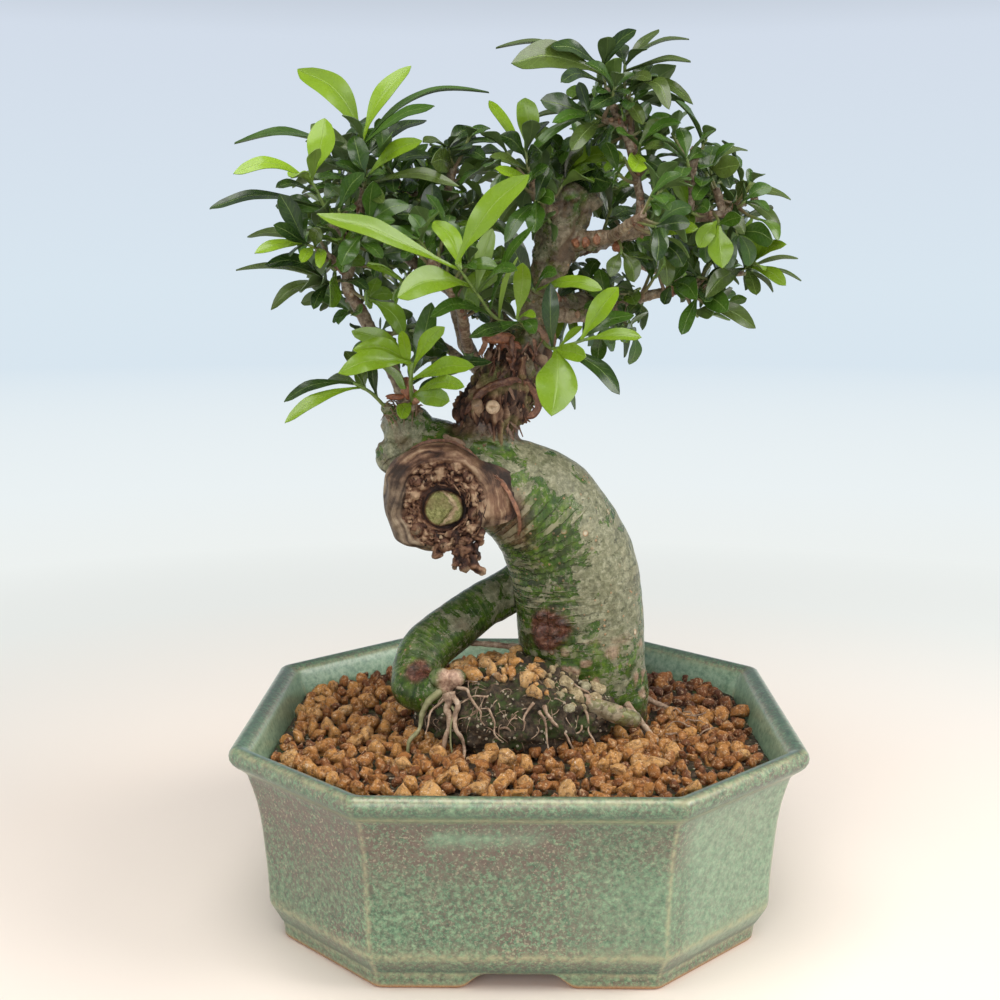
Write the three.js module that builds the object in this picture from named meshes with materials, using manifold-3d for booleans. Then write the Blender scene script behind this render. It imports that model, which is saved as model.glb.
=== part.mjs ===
// Gardenia bonsai in its eight-sided glazed pot. Millimetres, +Z up, the pot's feet stand on Z = 0 and the
// middle of the overall box is over the origin. The front, with the sawn scar, faces -Y.
import * as THREE from "three";
import { mergeVertices } from "three/addons/utils/BufferGeometryUtils.js";
import Module from "manifold-3d";

const wasm = await Module();
wasm.setup();

// Driving sizes of the pot
const RIM_HALF = 110;
const RIM_CUT = 52;
const RIM_TOP = 78.7;
const FOOT_HALF = 91;
const FOOT_CUT = 40;
const FLOOR_UNDER = 6;
const FLOOR_TOP = 13;
const FOOT_RING = 10;
const ARCH_HEIGHT = 5.6;
const ARCH_FOOT_HALF = 21.5;
const ARCH_TOP_HALF = 12;
const DRAIN_RADIUS = 13;

// Driving sizes of the soil
const GAP = 0.3;
const FIT_GAP = 0.35;
const SOIL_EDGE = 68;
const SOIL_MOUND = 4;
const SOIL_MOUND_WIDTH = 50;
const SOIL_FRONT_RISE = 5;
const GRAIN_PITCH = 7.9;
const GRAIN_RELIEF = 3.2;
const GRAIN_SHIFT = 1.3;
const HOLLOW_SHIFT = 0.7;
const BALL_CENTRE = [-1, -15, 80];
const BALL_HALF = [39, 31, 20];
const NET_SIZE = 40;
const NET_THICK = 1;
const BALL_GRAINS = 12;
const BARK_WAVE = 0.02;

// Driving sizes of the leaves
const LEAF_THICK = 1.3;
const LEAF_FORWARD = 1.3;
const LEAF_BLUNT = 0.75;
const SMALL_LEAF = 24;
const BROAD_LEAF = 9;
const STALK_HALF = 0.6;
const LEAF_CLEAR = 2.5;
const WOOD_CLEAR = 1.4;
const WHORL_STEP = 0.045;
const PLACED_FULLNESS = 1.08;
const PLACED_TRIES = 9;
const PLACED_SHIFT = 3;
const PAIRED_WIDTH = 0.37;
const PAIRED_RISE = 0.06;
const PAIRED_TRIES = 14;
const CROSSING = 0.002;
const OWN_SHOOT = 0.6;
const STEM_TAPER = 0.1;
const STEM_ROOTED = 2;
const VIEW_DISTANCE = 555;
const VIEW_HEIGHT = 251;

// Wood: each limb is a row of [x, y, z, radius] along its middle line
const TRUNK = [
  [35, 6, 56, 17], [33, 6, 66, 19], [32, 6, 78, 22], [28, 5, 98, 25.6], [25, 4, 117, 26.7],
  [22, 3, 137, 26], [14, 0, 155, 24], [3, -4, 167, 21.6], [-10, -6, 174, 19.7], [-26, -4, 180, 17.4],
  [-40, 0, 186, 13.8], [-48, 2, 190, 9.8],
];
const SCAR_STUB = [[-33, 4, 166, 17], [-34, -4, 167, 20.2], [-32.5, -20, 169, 21.2], [-31.5, -36, 170, 20.6]];
const SCAR_KNOB = [[-27, -32, 166, 6.5], [-27, -38.5, 166, 5.8], [-27, -40, 166, 4.4]];
const SCAR_FACE = [-29, -36.5, 168];
const SCAR_KNOBS = 9;
const SCAR_DROPS = 3;
const ARCH_ROOT = [
  [11, 20, 137, 8.5], [-3, 20, 123, 9.8], [-16, 12, 117, 10.1], [-30, 2, 109, 10.4], [-40, -8, 100, 10.7],
  [-41, -18, 91, 10.5], [-34, -27, 89, 8.6], [-26, -31, 95, 6.7],
];
const SURFACE_ROOT = [
  [20, -6, 87, 3.2], [18, -21, 89.5, 3.4], [26, -29, 88, 3.6], [37, -31, 84.5, 3.8], [47, -30, 81, 3.4],
];
const UPPER_TRUNK = [
  [-13, -8, 188, 14], [-11, -6, 200, 13], [-6, -5, 210, 12.4], [1, -2, 221, 10.6], [7, 1, 232, 7.8],
  [7, 2, 246, 5.2], [12, 3, 258, 6.6], [16, 4, 269, 9.4], [19.5, 5, 281, 10], [24, 5, 290, 7.8],
];
const BURLS = [
  [-11, -7, 201, 15.5, 12, 12.5], [1, -7, 217, 10, 9, 10], [-45, -5, 195, 11, 9, 9],
  [-50, -6, 184, 8, 8, 8.5],
];
const LIMBS = {
  rightBranch: [
    [16, 3, 268, 4.4], [28, -4, 269, 3.3], [36, -10, 270, 2.9], [51, -14, 273, 2.6], [67, -12, 277, 2.1],
    [79, -9, 279, 1.8], [87, -6, 283, 1.5],
  ],
  lowRight: [
    [8, 3, 241, 4.2], [27, 12, 239, 2.8], [40, 14, 242, 2.7], [51, 14, 247, 2.4], [63, 12, 249, 1.8],
    [76, 8, 252, 1.5], [89, 4, 257, 1.3],
  ],
  leader: [
    [46, -13, 272, 2.2], [47, -10, 284, 1.8], [45, -6, 295, 1.7], [42, -2, 308, 1.6], [36, 0, 320, 1.4],
    [34, 0, 327, 1.2],
  ],
  leftBranch: [
    [-42, -3, 188, 6], [-45, -4, 204, 3.8], [-49, -6, 215, 3.1], [-56, -12, 229, 2.9], [-62, -16, 242, 2.7],
    [-67, -18, 252, 2.4], [-65, -18, 260, 2.2], [-67, -18, 269, 2], [-73, -16, 275, 1.6],
  ],
  midLeft: [
    [-12, -3, 212, 4], [-21, 0, 227, 2.8], [-25.5, 1, 243, 2.4], [-29, 3, 261, 2.1], [-33, 4, 276, 1.9],
    [-39, 4, 285, 1.6], [-46, 4, 290, 1.3],
  ],
  leftTop: [[-65, -18, 260, 2.1], [-63, -13, 274, 1.8], [-61, -8, 288, 1.5]],
  leftLow: [[-67, -18, 256, 2], [-72, -22, 262, 1.6], [-77, -24, 265, 1.2]],
  centreLeft: [[-33, 4, 276, 2], [-28, 2, 289, 1.8], [-26, 0, 297, 1.4]],
  centreTwig: [[18, 4, 279, 3.8], [8, -8, 283, 2.5], [4, -12, 292, 1.7]],
  topRight: [[45, -6, 295, 1.8], [44, 0, 310, 1.7], [42, 4, 323, 1.4]],
  topLow: [[41, -1, 312, 1.6], [32, -6, 315, 1.4]],
  padStub: [[65, -12, 276, 2.3], [66, -12, 287, 2.2], [66, -12, 294, 2.2], [67, -13, 300, 2.1]],
  padTwig: [[79, -9, 279, 2], [76, -10, 288, 1.6]],
  backLeft: [
    [2, 1, 224, 6], [-8, 22, 236, 4], [-36, 36, 254, 3], [-62, 44, 277, 2.4], [-73, 42, 289, 1.7],
  ],
  backLeftFork: [[-40, 37, 257, 2.8], [-38, 50, 274, 2.3], [-32, 56, 290, 1.6]],
  backBough: [[13, 4, 262, 5.4], [18, 32, 275, 4.2], [25, 50, 292, 2.9], [35, 62, 305, 1.9]],
  backRight: [[16, 5, 266, 5.6], [38, 38, 271, 3.8], [61, 54, 277, 2.8], [79, 60, 282, 1.9]],
  backRightFork: [[39, 38, 271, 3], [52, 52, 261, 2.3], [63, 60, 257, 1.6]],
  frontRight: [[36, -11, 270, 2.6], [40, -32, 273, 2.1], [45, -44, 277, 1.5]],
  frontLeft: [[-20, -2, 226, 2.6], [-24, -22, 245, 2.3], [-33, -36, 261, 1.6]],
  lowerLeft: [[-43, -5, 196, 4], [-42, -14, 205, 2.3]],
  lowerLeftFork: [[-47, -6, 196, 4], [-53, -14, 204, 2.1]],
  lowBack: [[-4, 2, 215, 4.4], [-21, 30, 218, 2.3], [-34, 44, 226, 1.8]],
  lowRightBack: [[8, 4, 243, 4.2], [31, 34, 245, 2.6], [43, 46, 247, 1.8]],
  paleStub: [[-11, -12, 204, 3.2], [-10.2, -22.5, 204.6, 2.7]],
};
const FINE_ROOTS = [
  [[-33, -30, 90, 2.2], [-35, -40, 84, 1.5], [-36, -43, 76, 1], [-38, -45, 71, 0.8]],
  [[-30, -33, 90, 2.2], [-26, -41, 85, 1.5], [-23, -47, 77, 1.1], [-22, -50, 71, 0.8]],
  [[24, -28, 88, 2.4], [16, -38, 87, 1.6], [14, -45, 82, 1.1], [19, -50, 72, 0.8]],
  [[-40, 2, 104, 3], [-22, 6, 103, 1.3], [-4, 4, 102, 1.3], [14, 4, 98, 3]],
  [[44, -14, 83, 3], [52, -24, 75, 2], [58, -33, 70, 1.2]],
  [[46, 12, 82, 4], [60, 18, 73, 2.4], [70, 22, 68, 1.4]],
  [[30, 22, 84, 4], [30, 38, 74, 2.6], [26, 50, 69, 1.4]],
];

// Foliage pads as seen from the front: [x, z, radius] of the outline that the small leaves stay in
const PADS = [
  [-62, 290, 34], [-70, 262, 27], [-12, 290, 24], [-8, 262, 25], [44, 326, 25], [62, 286, 32], [84, 268, 30],
  [-50, 222, 20], [25, 236, 26], [20, 300, 24],
];
// Clearings: the front of the trunk stays bare inside [x0, x1, z0, z1]
const CLEARINGS = [[19, 52, 263, 292], [0, 26, 190, 243]];

// Shoots: [name, stem radius, small pairs, small leaf length, tone, stem points, leaves placed one by one]
// A leaf is [place on the stem, tip x, y, z, width, rise of its middle, turn to the front].
// Tones: 0 dark, 1 mid green, 2 young yellow-green.
const SHOOTS = [
  ["left_top", 0.8, 1, 24, 1, [[-61, -8, 288], [-60, -8, 298], [-61, -8, 308]], [
    [1, -83, -14, 334, 10, 2, 80], [1, -43, -2, 336, 7, 2, 60], [0.95, -13, 2, 328, 7, 7, 25],
    [1, -33, -22, 320, 5, 1, 50], [0.8, -38, 12, 318, 6, 2, 40], [0.75, -107, -24, 307, 8, 5, 20],
    [0.9, -83, 10, 316, 6, 1, 60], [0.5, -37, -26, 306, 6, 1, 60], [0.25, -76, -24, 292, 5, 2, 30],
    [0.15, -23, -22, 291, 6, 5, 40], [0.1, -50, -38, 283, 5, 1, 50],
  ]],
  ["left_shoot", 0.8, 1, 23, 2, [[-73, -17, 275], [-75, -21, 282], [-79, -25, 291]], [
    [1, -74, -20, 314, 10, 1, 70], [0.95, -105, -38, 294, 6, 4, 40], [0.5, -114, -40, 282, 6, 3, 25],
    [0.85, -89, -42, 288, 4, 1, 30],
  ]],
  ["left_low", 0.7, 1, 19, 0, [[-77, -24, 265], [-79, -25, 266], [-82, -26, 267]], [
    [1, -89, -30, 285, 7, 1, 70], [1, -86, -14, 282, 5, 1, 40], [1, -98, -40, 264, 5, 2, 45],
    [0.9, -90, -42, 274, 5, 1, 60], [0.8, -105, -16, 271, 5, 2, 30], [0.4, -74, -38, 273, 5, 0, 80],
    [0.6, -81, -38, 260, 4, 1, 60], [0.2, -74, -38, 258, 4, 1, 70],
  ]],
  ["left_under", 0.7, 1, 19, 0, [[-67, -18, 253], [-70, -22, 253], [-74, -24, 252]], [
    [1, -95, -34, 260, 6, 3, 45], [0.9, -109, -20, 258, 5, 2, 20], [1, -95, -28, 243, 5, 2, 60],
    [1, -77, -38, 243, 4, 0, 70], [0.3, -73, -4, 268, 4, 1, 60], [0.5, -56, -40, 251, 4, 1, 30],
  ]],
  ["left_inner", 0.7, 3, 18, 1, [[-66, -18, 262], [-62, -27, 266], [-59, -33, 270]], [
    [1, -66, -42, 259, 7, 1, 80],
  ]],
  ["left_fork", 0.7, 3, 23, 1, [[-46, 4, 290], [-49, -2, 294], [-53, -6, 298]], [
    [1, -55, -2, 316, 5, 1, 50], [0.6, -48, -24, 287, 5, 1, 60],
  ]],
  ["centre_left", 0.7, 2, 19, 0, [[-26, 0, 297], [-27, -3, 301], [-28, -5, 305]], [
    [0.9, -18, 4, 313, 6, 1, 70], [1, -37, -14, 306, 5, 1, 30], [0.9, -9, -4, 307, 5, 1, 30],
    [0.6, -13, -18, 300, 5, 1, 40], [0.3, -47, -18, 299, 5, 2, 40], [0.1, -33, -28, 298, 9, 0, 85],
  ]],
  ["centre_hang", 0.7, 3, 21, 0, [[-29, 4, 265], [-31, -8, 269], [-33, -16, 272]], [
    [1, -51, -30, 266, 5, 2, 50], [0.8, -38, -30, 256, 5, 1, 50],
  ]],
  ["front", 0.8, 0, 22, 2, [
    [4, -3, 234], [-9, -24, 239], [-15, -36, 247], [-19, -44, 253], [-23, -50, 259],
  ], [
    [1, 2, -58, 291, 10, 3, 70], [0.97, -68, -76, 279, 7, -1, 55], [1, -30, -46, 275, 7, 1, 70],
    [0.8, -43, -66, 248, 10, 3, 62], [0.75, -11, -30, 273, 6, 1, -70], [0.8, -1, -66, 258, 5, 2, 40],
    [0.62, 4, -42, 274, 5, 1, 50], [0.55, -1, -58, 263, 4, 1, 40], [0.6, -32, -54, 242, 5, 2, 45],
    [0.45, -18, -56, 235, 4, 1, 45],
  ]],
  ["front_low", 0.8, 0, 19, 2, [[5, -3, 231], [1, -22, 237], [-1, -30, 239]], [
    [1, 1, -40, 260, 6, 1, 80], [1, 6, -42, 240, 3, 1, 45], [0.7, -13, -32, 233, 5, 1, 40],
    [0.8, 6, -34, 234, 5, 1, 50],
  ]],
  ["front_trunk", 0.8, 0, 19, 1, [[10, -1, 247], [6, -14, 249], [5, -20, 250]], [
    [1, -4, -28, 270, 7, 1, 72], [0.9, -10, -18, 278, 5, 1, 50], [0.8, 14, -30, 256, 5, 2, 45],
    [0.7, 31, -34, 251, 6, 3, 45],
  ]],
  ["lower_left", 1, 0, 23, 2, [[-42, -14, 205], [-42, -22, 213], [-41, -28, 222]], [
    [1, -67, -46, 221, 8, 2, 62], [1, -63, -30, 228, 8, 2, 50], [0.95, -64, -22, 235, 7, 1, 70],
    [1, -29, -36, 237, 6, 1, 60], [1, -34, -22, 245, 8, 1, 70], [1, -44, -36, 235, 4, 1, 70],
    [0.9, -17, -48, 224, 7, 3, 55], [0.85, -11, -30, 224, 5, 2, 40], [0.6, -26, -44, 210, 7, 2, 70],
    [0.65, -20, -50, 216, 5, 2, 55], [0.2, -45, -34, 202, 5, 0, 75],
  ]],
  ["lower_left_low", 0.9, 0, 19, 2, [[-53, -14, 204], [-58, -19, 210], [-64, -24, 214]], [
    [1, -90, -32, 209, 5, 3, 35], [0.85, -89, -38, 201, 5, 3, 45], [0.9, -78, -6, 214, 5, 2, 40],
    [0.8, -69, -8, 226, 5, 1, 50], [0.5, -57, -24, 223, 4, 1, 50],
  ]],
  ["top", 0.8, 1, 21, 0, [[34, 0, 324], [33, 0, 330], [32, 0, 336]], [
    [1, -9, -2, 344, 7, 4, 12], [0.75, -3, -26, 335, 11, 1, 65], [1, 12, -16, 342, 7, 1, 45],
    [1, 44, -8, 348, 6, 1, 60], [0.6, 15, -34, 327, 5, 1, 45],
  ]],
  ["top_right", 0.8, 1, 21, 0, [[42, 4, 323], [41, 4, 330], [41, 2, 337]], [
    [1, 65, -2, 346, 5, 3, 18], [1, 54, 10, 352, 5, 0, 30], [0.9, 65, -10, 337, 6, 1, 20],
    [0.7, 49, -22, 328, 5, 1, 50], [0.6, 67, -8, 322, 5, 3, 50], [0.45, 56, -24, 318, 6, 5, 40],
    [0.5, 26, -26, 317, 6, 2, 50], [0.1, 47, -14, 313, 5, 1, 60],
  ]],
  ["top_low", 0.7, 1, 19, 0, [[32, -6, 315], [29, -9, 316], [26, -12, 317]], [
    [0.9, 8, -22, 321, 8, 0, 70], [1, 1, -14, 314, 5, 1, 20], [0.2, 19, -26, 302, 6, 2, 60],
    [0.8, 4, -20, 302, 4, 1, 40], [0.6, 12, -30, 313, 4, 1, 50],
  ]],
  ["centre_top", 0.8, 1, 21, 0, [[4, -12, 292], [3, -13, 297], [2, -13, 303]], [
    [1, 2, -16, 321, 8, 0, 80], [1, -11, -10, 322, 5, -1, 40], [0.8, -7, -22, 308, 7, 1, 60],
    [0.6, 8, -30, 301, 6, 0, 65], [0.7, 12, -6, 309, 4, -1, 60], [0.5, -11, -26, 300, 5, 1, 40],
    [0.3, -9, -38, 295, 4, 0, 60],
  ]],
  ["centre_mid", 0.7, 1, 19, 1, [[10, -8, 281], [8, -15, 283], [6, -20, 283]], [
    [1, 13, -30, 283, 5, 1, 70], [1, 11, -16, 296, 5, 1, 70], [0.8, -6, -32, 268, 5, 3, 55],
    [0.5, 2, -8, 276, 5, 1, 60],
  ]],
  ["crown_mid", 0.8, 1, 21, 0, [[20, 10, 283], [17, 16, 291], [20, 12, 299]], [
    [1, 11, -6, 310, 6, 2, 60], [0.8, 14, -12, 303, 7, 0, 75], [1, 28, 6, 308, 8, 0, 75],
    [0.8, 39, -4, 302, 7, 4, 60], [0.9, 24, -14, 304, 4, 0, 80], [0.6, 35, -16, 292, 11, 0, 80],
  ]],
  ["leader_mid", 0.8, 1, 19, 1, [[44, -5, 300], [46, -9, 302], [46, -13, 305]], [
    [1, 56, -12, 313, 7, 1, 65], [0.5, 42, -30, 294, 8, 0, 85], [0.9, 62, -8, 302, 5, 3, 60],
    [0.8, 54, -26, 303, 4, 1, 50], [0.6, 55, -14, 296, 6, 0, 60],
  ]],
  ["right_pad", 0.7, 2, 17, 1, [[66, -12, 287], [64, -20, 295], [63, -22, 299]], [
    [1, 61, -16, 311, 5, 0, 75], [0.6, 56, -30, 290, 6, 0, 70], [0.9, 71, -14, 302, 5, 1, 60],
  ]],
  ["right_pad_top", 0.7, 2, 18, 1, [[76, -10, 288], [74, -12, 292], [73, -14, 296]], [
    [1, 88, -6, 304, 5, 2, 35], [1, 82, -28, 297, 8, 0, 80], [0.7, 80, -24, 288, 5, 3, 60],
    [0.6, 65, -28, 284, 5, 0, 60],
  ]],
  ["right_tip", 0.7, 1, 16, 0, [[87, -6, 283], [85, -8, 284], [83, -10, 283]], [
    [0.2, 106, -4, 285, 5, 3, 35], [0.6, 87, -14, 291, 5, 1, 70], [0.4, 99, 8, 290, 5, 2, 40],
    [0.5, 101, -14, 272, 5, 2, 50],
  ]],
  ["right_end", 0.7, 1, 18, 2, [[88, 4, 257], [90, 2, 258], [92, 0, 259]], [
    [1, 96, -8, 271, 7, 0, 75], [1, 102, -14, 268, 5, 1, 50], [1, 111, 4, 263, 4, 1, 20],
    [1, 111, -6, 254, 4, 1, 15], [1, 103, -16, 252, 5, 1, 60], [0.9, 92, -14, 248, 5, 0, 85],
    [0.7, 71, -22, 248, 7, 2, 60], [0.8, 86, -6, 275, 5, 1, 60], [0.9, 95, 4, 271, 4, 0, 60],
  ]],
  ["right_low", 0.7, 1, 17, 2, [[73, 9, 251], [72, 1, 249], [70, -6, 247]], [
    [1, 93, -12, 236, 7, 2, 65], [0.9, 80, -24, 242, 8, 2, 75], [0.9, 63, -12, 233, 5, 0, 75],
    [0.4, 71, -22, 247, 6, 0, 70], [0.3, 82, -8, 258, 5, 1, 45],
  ]],
  ["right_low_in", 0.7, 1, 17, 1, [[62, 12, 249], [60, 2, 251], [60, -6, 252]], [
    [1, 68, -22, 247, 8, 2, 72], [0.8, 57, -6, 244, 4, 0, 60],
  ]],
  ["right_hang", 0.7, 1, 17, 1, [[75, -11, 279], [76, -17, 276], [76, -20, 274]], [
    [1, 77, -26, 258, 9, 1, 85], [0.9, 71, -16, 260, 5, 1, 80], [0.7, 67, -28, 266, 6, 1, 70],
    [0.9, 85, -26, 271, 5, 2, 60],
  ]],
  ["right_under", 0.7, 1, 18, 0, [[51, -14, 271], [52, -18, 269], [54, -20, 267]], [
    [1, 62, -28, 259, 8, 1, 80], [0.6, 67, -28, 273, 5, 2, 55], [0.8, 57, -22, 251, 6, 2, 70],
  ]],
  ["right_under_in", 0.7, 2, 17, 1, [[38, -14, 269], [39, -18, 266], [39, -20, 263]], [
    [0.9, 34, -24, 255, 5, 1, 70], [1, 44, -26, 253, 6, 1, 75],
  ]],
  ["lower_right", 0.9, 0, 23, 2, [[7, -2, 232], [13, -19, 227], [17, -22, 228], [29, -24, 232]], [
    [0.45, 12, -42, 204, 15, 2, 85], [0.5, 39, -28, 211, 7, 3, 50], [1, 46, -32, 233, 5, 1, 50],
    [1, 37, -28, 251, 8, 1, 70], [1, 44, -16, 241, 6, 2, 60], [0.55, 12, -24, 252, 6, 2, 72],
    [0.6, 25, -38, 226, 6, 0, 80], [0.9, 24, -22, 236, 3, 0, 50], [0.35, 24, -4, 203, 5, 1, 30],
  ]],
  ["back_left", 0.8, 4, 25, 0, [[-73, 42, 289], [-76, 44, 295], [-77, 44, 301]], []],
  ["back_left_low", 0.9, 4, 24, 0, [[-58, 43, 272], [-65, 56, 271], [-70, 66, 269]], []],
  ["back_left_mid", 0.9, 4, 25, 0, [[-32, 56, 290], [-31, 60, 296], [-30, 62, 302]], []],
  ["back_left_far", 0.9, 4, 24, 0, [[-37, 51, 276], [-44, 66, 281], [-50, 78, 286]], []],
  ["back_top", 0.9, 4, 25, 0, [[35, 62, 305], [37, 66, 311], [38, 68, 316]], []],
  ["back_mid", 0.9, 4, 24, 0, [[22, 44, 285], [18, 60, 290], [13, 74, 294]], []],
  ["back_right", 0.9, 4, 23, 0, [[79, 60, 282], [85, 64, 285], [89, 66, 289]], []],
  ["back_right_far", 0.9, 4, 24, 0, [[59, 53, 276], [64, 66, 283], [67, 76, 291]], []],
  ["back_right_low", 0.9, 4, 22, 0, [[63, 60, 257], [69, 64, 256], [74, 66, 255]], []],
  ["back_low_left", 0.9, 4, 23, 1, [[-34, 44, 226], [-38, 52, 231], [-41, 58, 237]], []],
  ["back_low_right", 0.9, 4, 21, 1, [[43, 46, 247], [48, 52, 248], [53, 56, 250]], []],
  ["front_right", 0.6, 3, 16, 1, [[45, -44, 277], [46, -50, 280], [47, -54, 283]], []],
  ["front_right_low", 0.6, 2, 15, 0, [[42, -38, 275], [46, -46, 273], [49, -52, 272]], []],
  ["front_left", 0.6, 3, 18, 1, [[-33, -36, 261], [-35, -40, 265], [-37, -44, 268]], []],
  ["mid_back", 0.8, 3, 21, 0, [[34, 34, 270], [36, 30, 277], [38, 26, 283]], []],
];

// Looks of the sub-parts
const LOOKS = {
  pot: { color: 0x6f9c86, roughness: 0.35, metalness: 0 },
  net: { color: 0x22262a, roughness: 0.6, metalness: 0 },
  soil: { color: 0x9a5f38, roughness: 0.85, metalness: 0 },
  ball: { color: 0x3a3324, roughness: 0.95, metalness: 0 },
  wood: { color: 0x7b7458, roughness: 0.85, metalness: 0 },
};
const LEAF_COLOURS = [0x2f6420, 0x447d26, 0x6fa52b];

const root = new THREE.Group();

// Seeded random numbers between 0 and 1
function seeded(seed) {
  let state = seed >>> 0;
  return () => {
    state = (state + 0x6d2b79f5) >>> 0;
    let mixed = Math.imul(state ^ (state >>> 15), state | 1);
    mixed ^= mixed + Math.imul(mixed ^ (mixed >>> 7), mixed | 61);
    return ((mixed ^ (mixed >>> 14)) >>> 0) / 4294967296;
  };
}

// The same geometry with one vertex at each corner, so that it can be bent and stay closed
function sealed(geometry) {
  geometry.deleteAttribute("normal");
  geometry.deleteAttribute("uv");
  return mergeVertices(geometry, 1e-4);
}

// A closed geometry as a solid that can be joined and cut
function solid(geometry) {
  const merged = sealed(geometry);
  return new wasm.Manifold(
    new wasm.Mesh({
      numProp: 3,
      vertProperties: new Float32Array(merged.attributes.position.array),
      triVerts: new Uint32Array(merged.index.array),
    }),
  );
}

function joined(solids) {
  return solids.reduce((whole, next) => whole.add(next));
}

// The largest body of a solid, without the scraps that a cut leaves
function largest(whole) {
  const bodies = whole.decompose();
  return bodies.reduce((best, next) => (next.volume() > best.volume() ? next : best));
}

// Puts a finished solid into the scene as a named mesh
function place(name, whole, look) {
  const mesh = whole.getMesh();
  const geometry = new THREE.BufferGeometry();
  geometry.setAttribute("position", new THREE.BufferAttribute(mesh.vertProperties, 3));
  geometry.setIndex(new THREE.BufferAttribute(mesh.triVerts, 1));
  const node = new THREE.Mesh(geometry, new THREE.MeshStandardMaterial(look));
  node.name = name;
  root.add(node);
}

// A closed body through rings of [half width, cut corner, height], eight corners each
function octagonLoft(rings) {
  const points = [];
  const faces = [];
  for (const [half, cut, z] of rings) {
    const short = half - cut;
    const corners = [
      [half, -short], [half, short], [short, half], [-short, half],
      [-half, short], [-half, -short], [-short, -half], [short, -half],
    ];
    for (const [x, y] of corners) points.push(x, y, z);
  }
  for (let ring = 0; ring + 1 < rings.length; ring++) {
    for (let side = 0; side < 8; side++) {
      const a = ring * 8 + side;
      const b = ring * 8 + ((side + 1) % 8);
      faces.push(a, b, b + 8, a, b + 8, a + 8);
    }
  }
  const top = (rings.length - 1) * 8;
  for (let side = 1; side < 7; side++) {
    faces.push(0, side + 1, side);
    faces.push(top, top + side, top + side + 1);
  }
  const geometry = new THREE.BufferGeometry();
  geometry.setAttribute("position", new THREE.Float32BufferAttribute(points, 3));
  geometry.setIndex(faces);
  return geometry;
}

// The corner cut that belongs to a half width anywhere on the pot
function cutAt(half) {
  return FOOT_CUT + ((half - FOOT_HALF) * (RIM_CUT - FOOT_CUT)) / (RIM_HALF - FOOT_HALF);
}

function ring(half, z) {
  return [half, cutAt(half), z];
}

// Inside of the pot: wall and rim slope as rings, grown or shrunk sideways
function potInside(inset) {
  return [
    ring(88 - inset, FLOOR_TOP + inset), ring(91 - inset, 16 + inset), ring(92.5 - inset, 38),
    ring(96 - inset, 58), ring(99.5 - inset, 70), ring(101.3 - inset, 76.5), ring(104.5 - inset, 80),
    ring(104.5 - inset, 95),
  ];
}

// Pot
const outside = [
  ring(91.2, 0), ring(91.8, ARCH_HEIGHT), ring(92.4, 6.6), ring(96.6, 14.4), ring(97.1, 26),
  ring(98, 38), ring(99.2, 50), ring(101.8, 62), ring(103.6, 67.5), ring(107.6, 71.2),
  ring(109.6, 72.8), ring(RIM_HALF, 75.2), ring(109, 77.4), ring(107, RIM_TOP),
];
const recess = [ring(FOOT_HALF - FOOT_RING, -5), ring(FOOT_HALF - FOOT_RING, FLOOR_UNDER)];

// Cut-out between two feet: a low arch with S-curved ends, right through along Y
function footArch() {
  const shape = new THREE.Shape();
  shape.moveTo(-ARCH_FOOT_HALF, -1);
  shape.lineTo(-ARCH_FOOT_HALF, 0);
  const middle = (ARCH_FOOT_HALF + ARCH_TOP_HALF) / 2;
  shape.quadraticCurveTo(-middle, 0, -middle, ARCH_HEIGHT / 2);
  shape.quadraticCurveTo(-middle, ARCH_HEIGHT, -ARCH_TOP_HALF, ARCH_HEIGHT);
  shape.lineTo(ARCH_TOP_HALF, ARCH_HEIGHT);
  shape.quadraticCurveTo(middle, ARCH_HEIGHT, middle, ARCH_HEIGHT / 2);
  shape.quadraticCurveTo(middle, 0, ARCH_FOOT_HALF, 0);
  shape.lineTo(ARCH_FOOT_HALF, -1);
  const length = 2 * RIM_HALF;
  const geometry = new THREE.ExtrudeGeometry(shape, { depth: length, bevelEnabled: false, curveSegments: 2 });
  geometry.translate(0, 0, -length / 2);
  geometry.rotateX(Math.PI / 2);
  return geometry;
}

const drain = new THREE.CylinderGeometry(DRAIN_RADIUS, DRAIN_RADIUS, 40, 12).rotateX(Math.PI / 2);
const pot = solid(octagonLoft(outside))
  .subtract(solid(octagonLoft(potInside(0))))
  .subtract(solid(octagonLoft(recess)))
  .subtract(solid(footArch()))
  .subtract(solid(footArch().rotateZ(Math.PI / 2)))
  .subtract(solid(drain));
place("pot", pot, LOOKS.pot);

// Net over the drain hole: a square sheet with square holes
function drainNet() {
  const pitch = NET_SIZE / 3;
  const middle = FLOOR_TOP + GAP + NET_THICK / 2;
  const sheet = new THREE.BoxGeometry(NET_SIZE, NET_SIZE, NET_THICK).translate(0, 0, middle);
  let net = solid(sheet);
  for (const x of [-pitch / 2, pitch / 2]) {
    for (const y of [-pitch / 2, pitch / 2]) {
      const hole = new THREE.BoxGeometry(0.7 * pitch, 0.7 * pitch, 3 * NET_THICK);
      net = net.subtract(solid(hole.translate(x, y, middle)));
    }
  }
  return net;
}
place("drain_net", drainNet(), LOOKS.net);

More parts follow.
